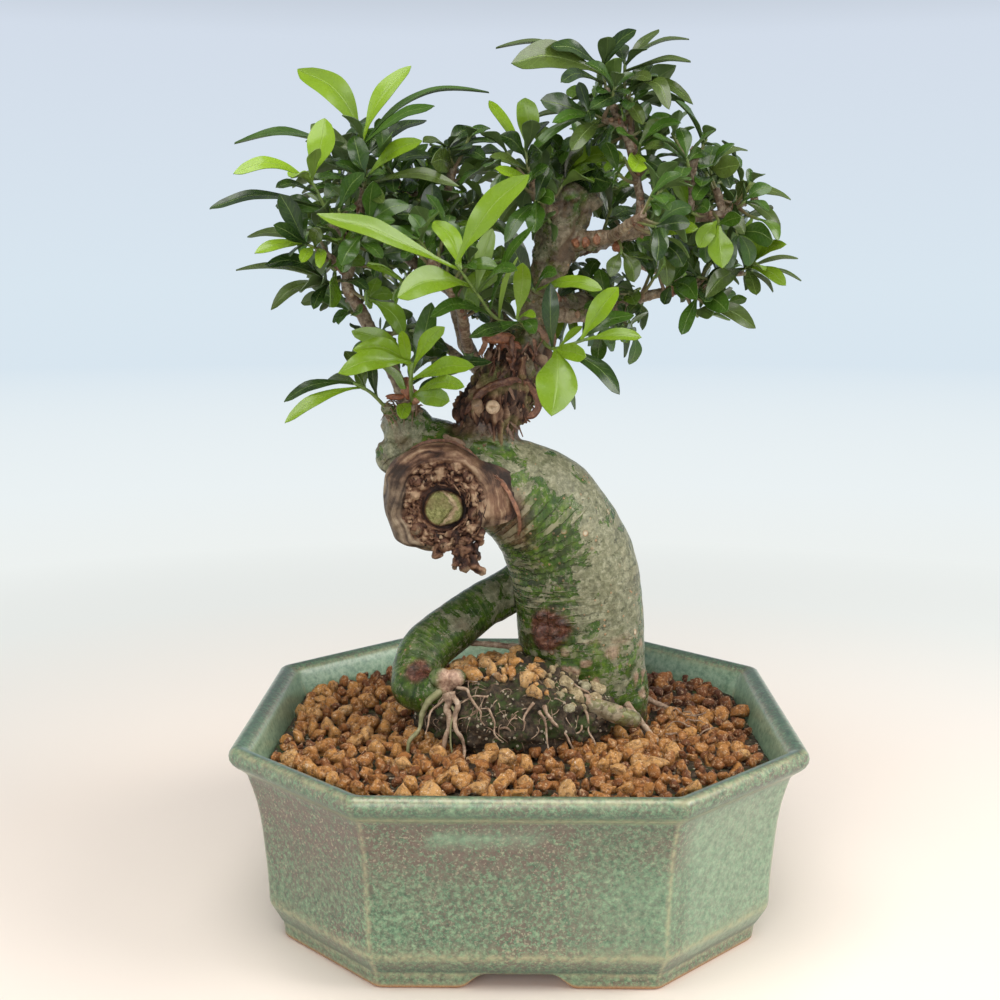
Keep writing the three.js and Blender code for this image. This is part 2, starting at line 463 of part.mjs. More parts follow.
// A closed limb along rows of [x, y, z, radius]: a capped cylinder bent along the curve through them
function limb(rows, sides, steps, grow = 0, wave = 0) {
  const middle = new THREE.CatmullRomCurve3(rows.map(([x, y, z]) => new THREE.Vector3(x, y, z)));
  const frames = middle.computeFrenetFrames(steps, false);
  const geometry = sealed(new THREE.CylinderGeometry(1, 1, 1, sides, steps));
  const position = geometry.attributes.position;
  const spot = new THREE.Vector3();
  for (let i = 0; i < position.count; i++) {
    const along = Math.min(Math.max(position.getY(i) + 0.5, 0), 1);
    const step = Math.round(along * steps);
    middle.getPointAt(along, spot);
    const place = middle.getUtoTmapping(along) * (rows.length - 1);
    const row = Math.min(Math.floor(place), rows.length - 2);
    const radius = rows[row][3] + (rows[row + 1][3] - rows[row][3]) * (place - row);
    const x = position.getX(i);
    const z = position.getZ(i);
    const turn = Math.atan2(z, x);
    const bump = wave * (Math.sin(3 * turn + along * 9) + 0.6 * Math.sin(5 * turn - along * 17));
    const reach = radius * (1 + bump) + grow;
    spot.addScaledVector(frames.normals[step], x * reach);
    spot.addScaledVector(frames.binormals[step], -z * reach);
    if (grow > 0 && along === 0) spot.addScaledVector(frames.tangents[0], -grow);
    if (grow > 0 && along === 1) spot.addScaledVector(frames.tangents[steps], grow);
    position.setXYZ(i, spot.x, spot.y, spot.z);
  }
  return geometry;
}

// A lump with an uneven skin: half sizes in X, Y and Z, turned facets raised by a formula
function lump([x, y, z, halfX, halfY, halfZ], detail, rough, grow = 0) {
  const geometry = sealed(new THREE.IcosahedronGeometry(1, detail));
  const position = geometry.attributes.position;
  for (let i = 0; i < position.count; i++) {
    const a = position.getX(i);
    const b = position.getY(i);
    const c = position.getZ(i);
    const waves = Math.sin(5 * a + 2 * c + x) + Math.sin(6 * b - 3 * a + y) + Math.sin(7 * c + 2 * b);
    const bump = 1 + rough * waves;
    position.setXYZ(
      i,
      x + a * (halfX * bump + grow),
      y + b * (halfY * bump + grow),
      z + c * (halfZ * bump + grow),
    );
  }
  return geometry;
}

// Knobs of callus round the sawn face of the scar stub
function scarKnobs(grow) {
  const random = seeded(41);
  const [faceX, faceY, faceZ] = SCAR_FACE;
  const knobs = [];
  for (let k = 0; k < SCAR_KNOBS; k++) {
    const turn = (k / SCAR_KNOBS) * 2 * Math.PI;
    const reach = 13.5 + 6 * random();
    const size = 2.4 + 2 * random();
    const x = faceX + reach * Math.cos(turn);
    const z = faceZ + reach * Math.sin(turn);
    knobs.push(solid(lump([x, faceY - random(), z, size, size * 0.8, size], 0, 0, grow)));
  }
  for (let k = 0; k < SCAR_DROPS; k++) {
    const drop = [faceX + 5 + 3 * k, faceY + 5.5 + 2 * k, faceZ - 20 - 3 * random(), 3.4, 3, 4];
    knobs.push(solid(lump(drop, 0, 0, grow)));
  }
  return knobs;
}

// Wood: everything that the tree grew as one piece, optionally a little fatter
function wood(grow) {
  const pieces = [
    solid(limb(TRUNK, 12, 11, grow, BARK_WAVE)),
    solid(limb(SCAR_STUB, 11, 2, grow, BARK_WAVE)),
    solid(limb(SCAR_KNOB, 8, 2, grow)),
    solid(limb(ARCH_ROOT, 7, 8, grow, BARK_WAVE)),
    solid(limb(SURFACE_ROOT, 5, 4, grow)),
    solid(limb(UPPER_TRUNK, 9, 8, grow, 1.5 * BARK_WAVE)),
  ];
  for (const burl of BURLS) pieces.push(solid(lump(burl, 1, 0.05, grow)));
  for (const rows of Object.values(LIMBS)) {
    const sides = rows[0][3] > 2.5 ? 5 : 4;
    pieces.push(solid(limb(rows, sides, Math.ceil((rows.length - 1) * 0.75), grow)));
  }
  for (const rows of FINE_ROOTS) pieces.push(solid(limb(rows, 4, rows.length - 1, grow)));
  pieces.push(...scarKnobs(grow));
  return joined(pieces);
}

// The wood fattened by the gap, which is cut out of whatever stands against it
const treeRoom = wood(FIT_GAP);
place("wood", largest(wood(0)), LOOKS.wood);

// Old root ball with loose grains stuck to its top
function rootBall(grow) {
  const [x, y, z] = BALL_CENTRE;
  const pieces = [solid(lump([...BALL_CENTRE, ...BALL_HALF], 2, 0.035, grow))];
  const random = seeded(77);
  for (let k = 0; k < BALL_GRAINS; k++) {
    const turn = 2 * Math.PI * random();
    const reach = 0.85 * Math.sqrt(random());
    const gx = x + BALL_HALF[0] * reach * Math.cos(turn);
    const gy = y + BALL_HALF[1] * reach * Math.sin(turn);
    const gz = z + BALL_HALF[2] * Math.sqrt(1 - reach * reach);
    const size = 2.4 + 1.8 * random();
    pieces.push(solid(lump([gx, gy, gz, size, size, size * 0.8], 0, 0, grow)));
  }
  return joined(pieces);
}

place("root_ball", largest(rootBall(0).subtract(treeRoom)), LOOKS.ball);

// Height of the soil, mounded towards the tree and a little higher in front
function soilHeight(x, y) {
  const spread = ((x - 10) ** 2 + (y + 5) ** 2) / (2 * SOIL_MOUND_WIDTH ** 2);
  return SOIL_EDGE + (SOIL_FRONT_RISE * Math.max(0, -y)) / RIM_HALF + SOIL_MOUND * Math.exp(-spread);
}

// Soil block whose top is a close lattice of grains: one vertex in three is a raised grain
function soilBlock() {
  const random = seeded(5);
  const rowPitch = GRAIN_PITCH * Math.sqrt(0.75);
  const columns = Math.ceil((2 * RIM_HALF) / GRAIN_PITCH);
  const rows = Math.ceil((2 * RIM_HALF) / rowPitch);
  const points = [];
  const faces = [];
  for (let row = 0; row <= rows; row++) {
    for (let column = 0; column <= columns; column++) {
      const raised = (column + (row % 2) * 2) % 3 === 0;
      const jitter = raised ? GRAIN_SHIFT : HOLLOW_SHIFT;
      const x = (column - columns / 2 + (row % 2) / 2) * GRAIN_PITCH + jitter * (random() - 0.5) * 2;
      const y = (row - rows / 2) * rowPitch + jitter * (random() - 0.5) * 2;
      const relief = raised ? GRAIN_RELIEF * (0.5 + 0.8 * random()) : -GRAIN_RELIEF * 0.4 * random();
      points.push(x, y, soilHeight(x, y) + relief);
    }
  }
  const across = columns + 1;
  for (let row = 0; row < rows; row++) {
    for (let column = 0; column < columns; column++) {
      const a = row * across + column;
      const b = a + across;
      if (row % 2 === 0) faces.push(a, a + 1, b, a + 1, b + 1, b);
      else faces.push(a, a + 1, b + 1, a, b + 1, b);
    }
  }
  const rim = [];
  for (let column = 0; column < columns; column++) rim.push(column);
  for (let row = 0; row < rows; row++) rim.push(row * across + columns);
  for (let column = columns; column > 0; column--) rim.push(rows * across + column);
  for (let row = rows; row > 0; row--) rim.push(row * across);
  const middle = points.length / 3;
  points.push(0, 0, 0);
  const first = middle + 1;
  rim.forEach((index) => points.push(points[index * 3], points[index * 3 + 1], 0));
  rim.forEach((index, k) => {
    const next = (k + 1) % rim.length;
    faces.push(index, first + k, first + next, index, first + next, rim[next]);
    faces.push(middle, first + next, first + k);
  });
  const geometry = new THREE.BufferGeometry();
  geometry.setAttribute("position", new THREE.Float32BufferAttribute(points, 3));
  geometry.setIndex(faces);
  return geometry;
}

const netRoom = new THREE.BoxGeometry(NET_SIZE + 2 * GAP, NET_SIZE + 2 * GAP, 2 * (NET_THICK + 2 * GAP));
netRoom.translate(0, 0, FLOOR_TOP);
const soil = solid(soilBlock())
  .intersect(solid(octagonLoft(potInside(GAP))))
  .subtract(rootBall(FIT_GAP))
  .subtract(treeRoom)
  .subtract(solid(netRoom));
place("soil", largest(soil), LOOKS.soil);

// One leaf as numbers: root and tip, the way its upper face looks, width, rise of its middle
function leafFrame(leaf) {
  const along = leaf.tip.clone().sub(leaf.base);
  const length = along.length();
  along.normalize();
  const face = leaf.face.clone().addScaledVector(along, -leaf.face.dot(along)).normalize();
  const side = along.clone().cross(face);
  const up = new THREE.Vector3(0, 0, 1).addScaledVector(along, -along.z);
  if (up.length() < 0.3) up.copy(face);
  up.normalize();
  return { along, length, face, side, up };
}

// Share of the full width along a leaf, from its stalk to its tip
function leafShare(place) {
  if (place < 0.14) return 0.2 + place * 0.3;
  const swell = Math.sin(Math.PI * Math.pow((place - 0.08) / 0.95, LEAF_FORWARD));
  return Math.max(0.12, Math.pow(Math.max(swell, 0), LEAF_BLUNT));
}

// Points over a leaf, for keeping leaves clear of each other and of the wood
function leafPoints(leaf) {
  const { face, side, up } = leafFrame(leaf);
  const points = [];
  for (const place of [0.18, 0.32, 0.46, 0.6, 0.74, 0.88, 1]) {
    const half = (place === 1 ? 0 : leafShare(place)) * leaf.width * 0.5;
    const rise = 4 * place * (1 - place) * leaf.rise;
    for (const across of half > 1.5 ? [-0.8, 0, 0.8] : [0]) {
      const point = leaf.base.clone().lerp(leaf.tip, place);
      point.addScaledVector(up, rise);
      point.addScaledVector(side, across * half);
      point.addScaledVector(face, Math.abs(across) * half * 0.2);
      points.push(point);
    }
  }
  return points;
}

// Nearest distance from a point to the skin of the limbs
function woodGap(point) {
  let best = Infinity;
  for (const rows of WOOD_ROWS) {
    for (let i = 0; i + 1 < rows.length; i++) {
      const [ax, ay, az, ar] = rows[i];
      const [bx, by, bz, br] = rows[i + 1];
      const dx = bx - ax;
      const dy = by - ay;
      const dz = bz - az;
      const run = (point.x - ax) * dx + (point.y - ay) * dy + (point.z - az) * dz;
      const share = Math.min(Math.max(run / (dx * dx + dy * dy + dz * dz), 0), 1);
      const offX = point.x - ax - share * dx;
      const offY = point.y - ay - share * dy;
      const away = Math.hypot(offX, offY, point.z - az - share * dz);
      best = Math.min(best, away - ar - share * (br - ar));
    }
  }
  return best;
}

const WOOD_ROWS = [TRUNK, SCAR_STUB, UPPER_TRUNK, ...Object.values(LIMBS)];

// A point as the viewer in front sees it, drawn back to the plane of the trunk
function seen(point) {
  const shrink = VIEW_DISTANCE / (VIEW_DISTANCE + point.y);
  return [point.x * shrink, VIEW_HEIGHT + (point.z - VIEW_HEIGHT) * shrink];
}

function insidePads(point) {
  const [x, z] = seen(point);
  return PADS.some(([px, pz, radius]) => Math.hypot(x - px, z - pz) < radius);
}

function inClearing(point) {
  const [x, z] = seen(point);
  return point.y < 2 && CLEARINGS.some(([x0, x1, z0, z1]) => x > x0 && x < x1 && z > z0 && z < z1);
}

// A point and the direction of growth at a place between 0 and 1 on a shoot's stem
function stemAt(stem, place) {
  const spot = Math.min(place, 0.999) * (stem.length - 1);
  const row = Math.floor(spot);
  const from = new THREE.Vector3(...stem[row]);
  const to = new THREE.Vector3(...stem[row + 1]);
  return { point: from.clone().lerp(to, spot - row), growth: to.sub(from).normalize() };
}

// Where a leaf's stalk is rooted: just inside the skin of the stem on the leaf's side
function rootedAt({ point, growth }, along, girth) {
  const outward = along.clone().addScaledVector(growth, -along.dot(growth));
  return point.addScaledVector(outward.normalize(), girth * 0.55).addScaledVector(along, -0.4);
}

// A leaf that was placed one by one, drawn a little nearer or farther if its place is taken
function placedLeaf(stem, girth, [spot, x, y, z, width, rise, turn], order, attempt) {
  const place = spot - WHORL_STEP * order;
  const shift = Math.ceil(attempt / 2) * (attempt % 2 ? -PLACED_SHIFT : PLACED_SHIFT);
  const tip = new THREE.Vector3(x, y + shift, z);
  const node = stemAt(stem, Math.max(place, 0.05));
  const along = tip.clone().sub(node.point).normalize();
  const base = rootedAt(node, along, girth);
  const up = new THREE.Vector3(0, 0, 1).addScaledVector(along, -along.z);
  const front = new THREE.Vector3(0, -1, 0).addScaledVector(along, along.y);
  const angle = (turn * Math.PI) / 180;
  const face = up.normalize().multiplyScalar(Math.cos(angle));
  face.addScaledVector(front.normalize(), Math.sin(angle));
  return { base, tip, face, width: width * PLACED_FULLNESS, rise };
}

// One of the small leaves that stand in crossed pairs up a stem
function pairedLeaf(stem, girth, pairs, length, pair, half, draws, attempt) {
  const node = stemAt(stem, 0.97 - (0.85 * pair) / pairs);
  const { growth } = node;
  const turn = draws[0] * 0.6 + pair * 1.57 + half * Math.PI + attempt * 0.41;
  const lean = 0.65 + (0.9 * pair) / pairs + draws[1] * 0.25 + attempt * 0.06;
  const level = Math.abs(growth.z) < 0.9 ? new THREE.Vector3(0, 0, 1) : new THREE.Vector3(0, 1, 0);
  const first = level.cross(growth).normalize();
  const second = growth.clone().cross(first);
  const outward = first.multiplyScalar(Math.cos(turn)).addScaledVector(second, Math.sin(turn));
  const along = growth.clone().multiplyScalar(Math.cos(lean)).addScaledVector(outward, Math.sin(lean));
  const reach = length * (0.62 + 0.42 * draws[2]) * Math.pow(0.95, attempt);
  const base = rootedAt(node, along, girth);
  const tip = base.clone().addScaledVector(along, reach);
  tip.z += reach * (0.12 - 0.2 * draws[3]);
  const face = growth.clone().addScaledVector(new THREE.Vector3(0, -0.25, 0.6), 1);
  const width = reach * (PAIRED_WIDTH + 0.1 * draws[4]);
  return { base, tip, face, width, rise: reach * PAIRED_RISE, paired: true };
}

// All leaves: the placed ones first, then the small pairs, each where it is clear
const leaves = SHOOTS.map(() => []);
const taken = [];

function clearOf(points, shoot, room) {
  for (const other of taken) {
    if (other.shoot === shoot && other.stem) continue;
    const limit = other.shoot === shoot ? room * OWN_SHOOT : room;
    for (let k = 0; k < points.length; k++) {
      if (other.shoot === shoot && k < 4) continue;
      const { x, y, z } = points[k];
      const dx = x - other.x;
      const dy = y - other.y;
      const dz = z - other.z;
      if (dx * dx + dy * dy + dz * dz < limit * limit) return false;
    }
  }
  return true;
}

function keep(leaf, shoot) {
  leaves[shoot].push(leaf);
  for (const { x, y, z } of leafPoints(leaf)) taken.push({ x, y, z, shoot, stem: false });
}

SHOOTS.forEach(([, , , , , stem], shoot) => {
  for (let k = 0; k <= 6; k++) {
    const { x, y, z } = stemAt(stem, k / 6).point;
    taken.push({ x, y, z, shoot, stem: true });
  }
});

SHOOTS.forEach(([, girth, , , , stem, placed], shoot) => {
  for (const [order, row] of placed.entries()) {
    let leaf = placedLeaf(stem, girth, row, order, 0);
    for (let attempt = 0; attempt < PLACED_TRIES; attempt++) {
      const trial = placedLeaf(stem, girth, row, order, attempt);
      const points = leafPoints(trial);
      if (points.slice(3).some((point) => woodGap(point) < WOOD_CLEAR)) continue;
      if (!clearOf(points, shoot, LEAF_CLEAR)) continue;
      leaf = trial;
      break;
    }
    keep(leaf, shoot);
  }
});

SHOOTS.forEach(([, girth, pairs, length, , stem], shoot) => {
  const random = seeded(1000 + shoot);
  for (let pair = 0; pair < pairs; pair++) {
    for (const half of [0, 1]) {
      const draws = [random(), random(), random(), random(), random()];
      for (let attempt = 0; attempt < PAIRED_TRIES; attempt++) {
        const trial = pairedLeaf(stem, girth, pairs, length, pair, half, draws, attempt);
        const points = leafPoints(trial);
        if (!points.every((point) => insidePads(point) && !inClearing(point))) continue;
        if (points.slice(2).some((point) => woodGap(point) < WOOD_CLEAR)) continue;
        if (!clearOf(points, shoot, LEAF_CLEAR)) continue;
        keep(trial, shoot);
        break;
      }
    }
  }
});

// One leaf as a closed blade. A narrow one has a flat top and a keel below. A broad one is a lens with a
// ridge, a keel and waved edges, folded up along its middle. Both faces share the edges and their diagonals.
function leafBlade(leaf) {
  const { length, face, side, up } = leafFrame(leaf);
  const broad = !leaf.paired && leaf.width > BROAD_LEAF;
  let stations = leaf.paired || length < SMALL_LEAF ? [0.16, 0.6] : [0.12, 0.45, 0.8];
  if (broad) stations = [0.1, 0.34, 0.62, 0.86];
  const points = [leaf.base.clone()];
  stations.forEach((place, index) => {
    const half = index ? leafShare(place) * leaf.width * 0.5 : STALK_HALF;
    const middle = leaf.base.clone().lerp(leaf.tip, place);
    middle.addScaledVector(up, 4 * place * (1 - place) * leaf.rise);
    const wave = broad ? (index % 2 ? 0.5 : -0.3) : 0;
    const fold = broad ? 0.2 * half : 0;
    const corners = [[1, fold + wave], [-1, fold - wave], [0, broad ? -LEAF_THICK / 2 : -LEAF_THICK]];
    if (broad) corners.splice(1, 0, [0, LEAF_THICK / 2]);
    for (const [across, lift] of corners) {
      points.push(middle.clone().addScaledVector(side, across * half).addScaledVector(face, lift));
    }
  });
  points.push(leaf.tip.clone());
  const count = broad ? 4 : 3;
  const faces = [];
  for (let k = 0; k < count; k++) {
    const next = (k + 1) % count;
    faces.push(0, 1 + k, 1 + next);
    for (let index = 0; index + 1 < stations.length; index++) {
      const a = 1 + index * count + k;
      const b = 1 + index * count + next;
      if (k % 2) faces.push(a, a + count, b, b, a + count, b + count);
      else faces.push(a, a + count, b + count, a, b + count, b);
    }
    const last = 1 + (stations.length - 1) * count;
    faces.push(last + k, points.length - 1, last + next);
  }
  const geometry = new THREE.BufferGeometry().setFromPoints(points);
  geometry.setIndex(faces);
  return geometry;
}

// Each shoot: its stem starts inside the wood, is cut off just clear of it and carries its leaves
const grown = [];
SHOOTS.forEach(([name, girth, , , tone, stem], shoot) => {
  const start = new THREE.Vector3(...stem[0]);
  const growth = new THREE.Vector3(...stem[1]).sub(start).normalize();
  const rootPoint = start.addScaledVector(growth, -STEM_ROOTED);
  const tapered = stem.map((point, k) => [...point, girth * (1 - STEM_TAPER * k)]);
  const stalk = solid(limb([[...rootPoint.toArray(), girth], ...tapered], 4, stem.length));
  const kept = [stalk];
  for (const leaf of leaves[shoot]) {
    const blade = solid(leafBlade(leaf));
    const crossing = grown.some((other) => {
      const room = blade.intersect(other);
      return !room.isEmpty() && room.volume() > CROSSING;
    });
    if (!crossing) kept.push(blade);
  }
  const whole = largest(joined(kept).subtract(treeRoom));
  grown.push(whole);
  place(`shoot_${name}`, whole, { color: LEAF_COLOURS[tone], roughness: 0.4, metalness: 0 });
});

export default root;
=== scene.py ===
"""Dresses the gardenia bonsai and its eight-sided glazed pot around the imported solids.

Sizes in the tables are millimetres, +Z up, the front with the sawn scar faces -Y.
"""

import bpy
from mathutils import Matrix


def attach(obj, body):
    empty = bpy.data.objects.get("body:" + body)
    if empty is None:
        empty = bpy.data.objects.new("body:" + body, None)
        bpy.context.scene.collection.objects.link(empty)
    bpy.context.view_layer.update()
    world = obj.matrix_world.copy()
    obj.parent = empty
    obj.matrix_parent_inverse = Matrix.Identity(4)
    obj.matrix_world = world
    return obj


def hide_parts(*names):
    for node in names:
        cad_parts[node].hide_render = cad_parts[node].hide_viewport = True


bl_info = {
    "name": "Gardenia bonsai",
    "version": (1, 0, 0),
    "blender": (4, 5, 0),
    "location": "View3D > Sidebar > Bonsai",
    "description": "Builds the gardenia bonsai, its soil and its glazed pot",
    "category": "Object",
}

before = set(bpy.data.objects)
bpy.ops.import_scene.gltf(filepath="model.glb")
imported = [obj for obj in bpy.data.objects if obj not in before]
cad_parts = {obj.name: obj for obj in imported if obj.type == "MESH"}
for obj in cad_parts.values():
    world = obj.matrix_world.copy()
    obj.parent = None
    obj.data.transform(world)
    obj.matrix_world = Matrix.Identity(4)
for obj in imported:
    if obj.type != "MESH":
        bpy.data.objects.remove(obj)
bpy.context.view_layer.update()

import math
from functools import cache, partial

import bmesh
import bpy
import numpy as np
from bpy.props import FloatProperty, FloatVectorProperty, IntProperty, PointerProperty
from mathutils import Vector

MM = 0.001
BODY = "root"

# Wood and leaf rows in millimetres, as in the solids: [x, y, z, radius] along each limb

TRUNK = [
    [35, 6, 56, 17], [33, 6, 66, 19], [32, 6, 78, 22], [28, 5, 98, 25.6], [25, 4, 117, 26.7],
    [22, 3, 137, 26], [14, 0, 155, 24], [3, -4, 167, 21.6], [-10, -6, 174, 19.7], [-26, -4, 180, 17.4],
    [-40, 0, 186, 13.8], [-48, 2, 190, 9.8],
]
SCAR_STUB = [[-33, 4, 166, 17], [-34, -4, 167, 20.2], [-32.5, -20, 169, 21.2], [-31.5, -36, 170, 20.6]]
ARCH_ROOT = [
    [11, 20, 137, 8.5], [-3, 20, 123, 9.8], [-16, 12, 117, 10.1], [-30, 2, 109, 10.4],
    [-40, -8, 100, 10.7], [-41, -18, 91, 10.5], [-34, -27, 89, 8.6], [-26, -31, 95, 6.7],
]
SURFACE_ROOT = [
    [20, -6, 87, 3.2], [18, -21, 89.5, 3.4], [26, -29, 88, 3.6], [37, -31, 84.5, 3.8], [47, -30, 81, 3.4],
]
UPPER_TRUNK = [
    [-13, -8, 188, 14], [-11, -6, 200, 13], [-6, -5, 210, 12.4], [1, -2, 221, 10.6], [7, 1, 232, 7.8],
    [7, 2, 246, 5.2], [12, 3, 258, 6.6], [16, 4, 269, 9.4], [19.5, 5, 281, 10], [24, 5, 290, 7.8],
]
BURLS = [
    [-11, -7, 201, 15.5, 12, 12.5], [1, -7, 217, 10, 9, 10], [-45, -5, 195, 11, 9, 9],
    [-50, -6, 184, 8, 8, 8.5],
]
LIMBS = {
    "right_branch": [
        [16, 3, 268, 4.4], [28, -4, 269, 3.3], [36, -10, 270, 2.9], [51, -14, 273, 2.6],
        [67, -12, 277, 2.1], [79, -9, 279, 1.8], [87, -6, 283, 1.5],
    ],
    "low_right": [
        [8, 3, 241, 4.2], [27, 12, 239, 2.8], [40, 14, 242, 2.7], [51, 14, 247, 2.4], [63, 12, 249, 1.8],
        [76, 8, 252, 1.5], [89, 4, 257, 1.3],
    ],
    "leader": [
        [46, -13, 272, 2.2], [47, -10, 284, 1.8], [45, -6, 295, 1.7], [42, -2, 308, 1.6],
        [36, 0, 320, 1.4], [34, 0, 327, 1.2],
    ],
    "left_branch": [
        [-42, -3, 188, 6], [-45, -4, 204, 3.8], [-49, -6, 215, 3.1], [-56, -12, 229, 2.9],
        [-62, -16, 242, 2.7], [-67, -18, 252, 2.4], [-65, -18, 260, 2.2], [-67, -18, 269, 2],
        [-73, -16, 275, 1.6],
    ],
    "mid_left": [
        [-12, -3, 212, 4], [-21, 0, 227, 2.8], [-25.5, 1, 243, 2.4], [-29, 3, 261, 2.1],
        [-33, 4, 276, 1.9], [-39, 4, 285, 1.6], [-46, 4, 290, 1.3],
    ],
    "left_top": [[-65, -18, 260, 2.1], [-63, -13, 274, 1.8], [-61, -8, 288, 1.5]],
    "left_low": [[-67, -18, 256, 2], [-72, -22, 262, 1.6], [-77, -24, 265, 1.2]],
    "centre_left": [[-33, 4, 276, 2], [-28, 2, 289, 1.8], [-26, 0, 297, 1.4]],
    "centre_twig": [[18, 4, 279, 3.8], [8, -8, 283, 2.5], [4, -12, 292, 1.7]],
    "top_right": [[45, -6, 295, 1.8], [44, 0, 310, 1.7], [42, 4, 323, 1.4]],
    "top_low": [[41, -1, 312, 1.6], [32, -6, 315, 1.4]],
    "pad_stub": [[65, -12, 276, 2.3], [66, -12, 287, 2.2], [66, -12, 294, 2.2], [67, -13, 300, 2.1]],
    "pad_twig": [[79, -9, 279, 2], [76, -10, 288, 1.6]],
    "back_left": [
        [2, 1, 224, 6], [-8, 22, 236, 4], [-36, 36, 254, 3], [-62, 44, 277, 2.4], [-73, 42, 289, 1.7],
    ],
    "back_left_fork": [[-40, 37, 257, 2.8], [-38, 50, 274, 2.3], [-32, 56, 290, 1.6]],
    "back_bough": [[13, 4, 262, 5.4], [18, 32, 275, 4.2], [25, 50, 292, 2.9], [35, 62, 305, 1.9]],
    "back_right": [[16, 5, 266, 5.6], [38, 38, 271, 3.8], [61, 54, 277, 2.8], [79, 60, 282, 1.9]],
    "back_right_fork": [[39, 38, 271, 3], [52, 52, 261, 2.3], [63, 60, 257, 1.6]],
    "front_right": [[36, -11, 270, 2.6], [40, -32, 273, 2.1], [45, -44, 277, 1.5]],
    "front_left": [[-20, -2, 226, 2.6], [-24, -22, 245, 2.3], [-33, -36, 261, 1.6]],
    "lower_left": [[-43, -5, 196, 4], [-42, -14, 205, 2.3]],
    "lower_left_fork": [[-47, -6, 196, 4], [-53, -14, 204, 2.1]],
    "low_back": [[-4, 2, 215, 4.4], [-21, 30, 218, 2.3], [-34, 44, 226, 1.8]],
    "low_right_back": [[8, 4, 243, 4.2], [31, 34, 245, 2.6], [43, 46, 247, 1.8]],
    "pale_stub": [[-11, -12, 204, 3.2], [-10.2, -22.5, 204.6, 2.7]],
}
FINE_ROOTS = [
    [[-40, 2, 104, 3], [-22, 6, 103, 1.3], [-4, 4, 102, 1.3], [14, 4, 98, 3]],
    [[44, -14, 83, 3], [52, -24, 75, 2], [58, -33, 70, 1.2]],
    [[46, 12, 82, 4], [60, 18, 73, 2.4], [70, 22, 68, 1.4]],
    [[30, 22, 84, 4], [30, 38, 74, 2.6], [26, 50, 69, 1.4]],
]
PADS = [
    [-62, 290, 34], [-70, 262, 27], [-12, 290, 24], [-8, 262, 25], [44, 326, 25], [62, 286, 32],
    [84, 268, 30], [-50, 222, 20], [25, 236, 26], [20, 300, 24],
]
CLEARINGS = [[19, 52, 263, 292], [0, 26, 190, 243]]
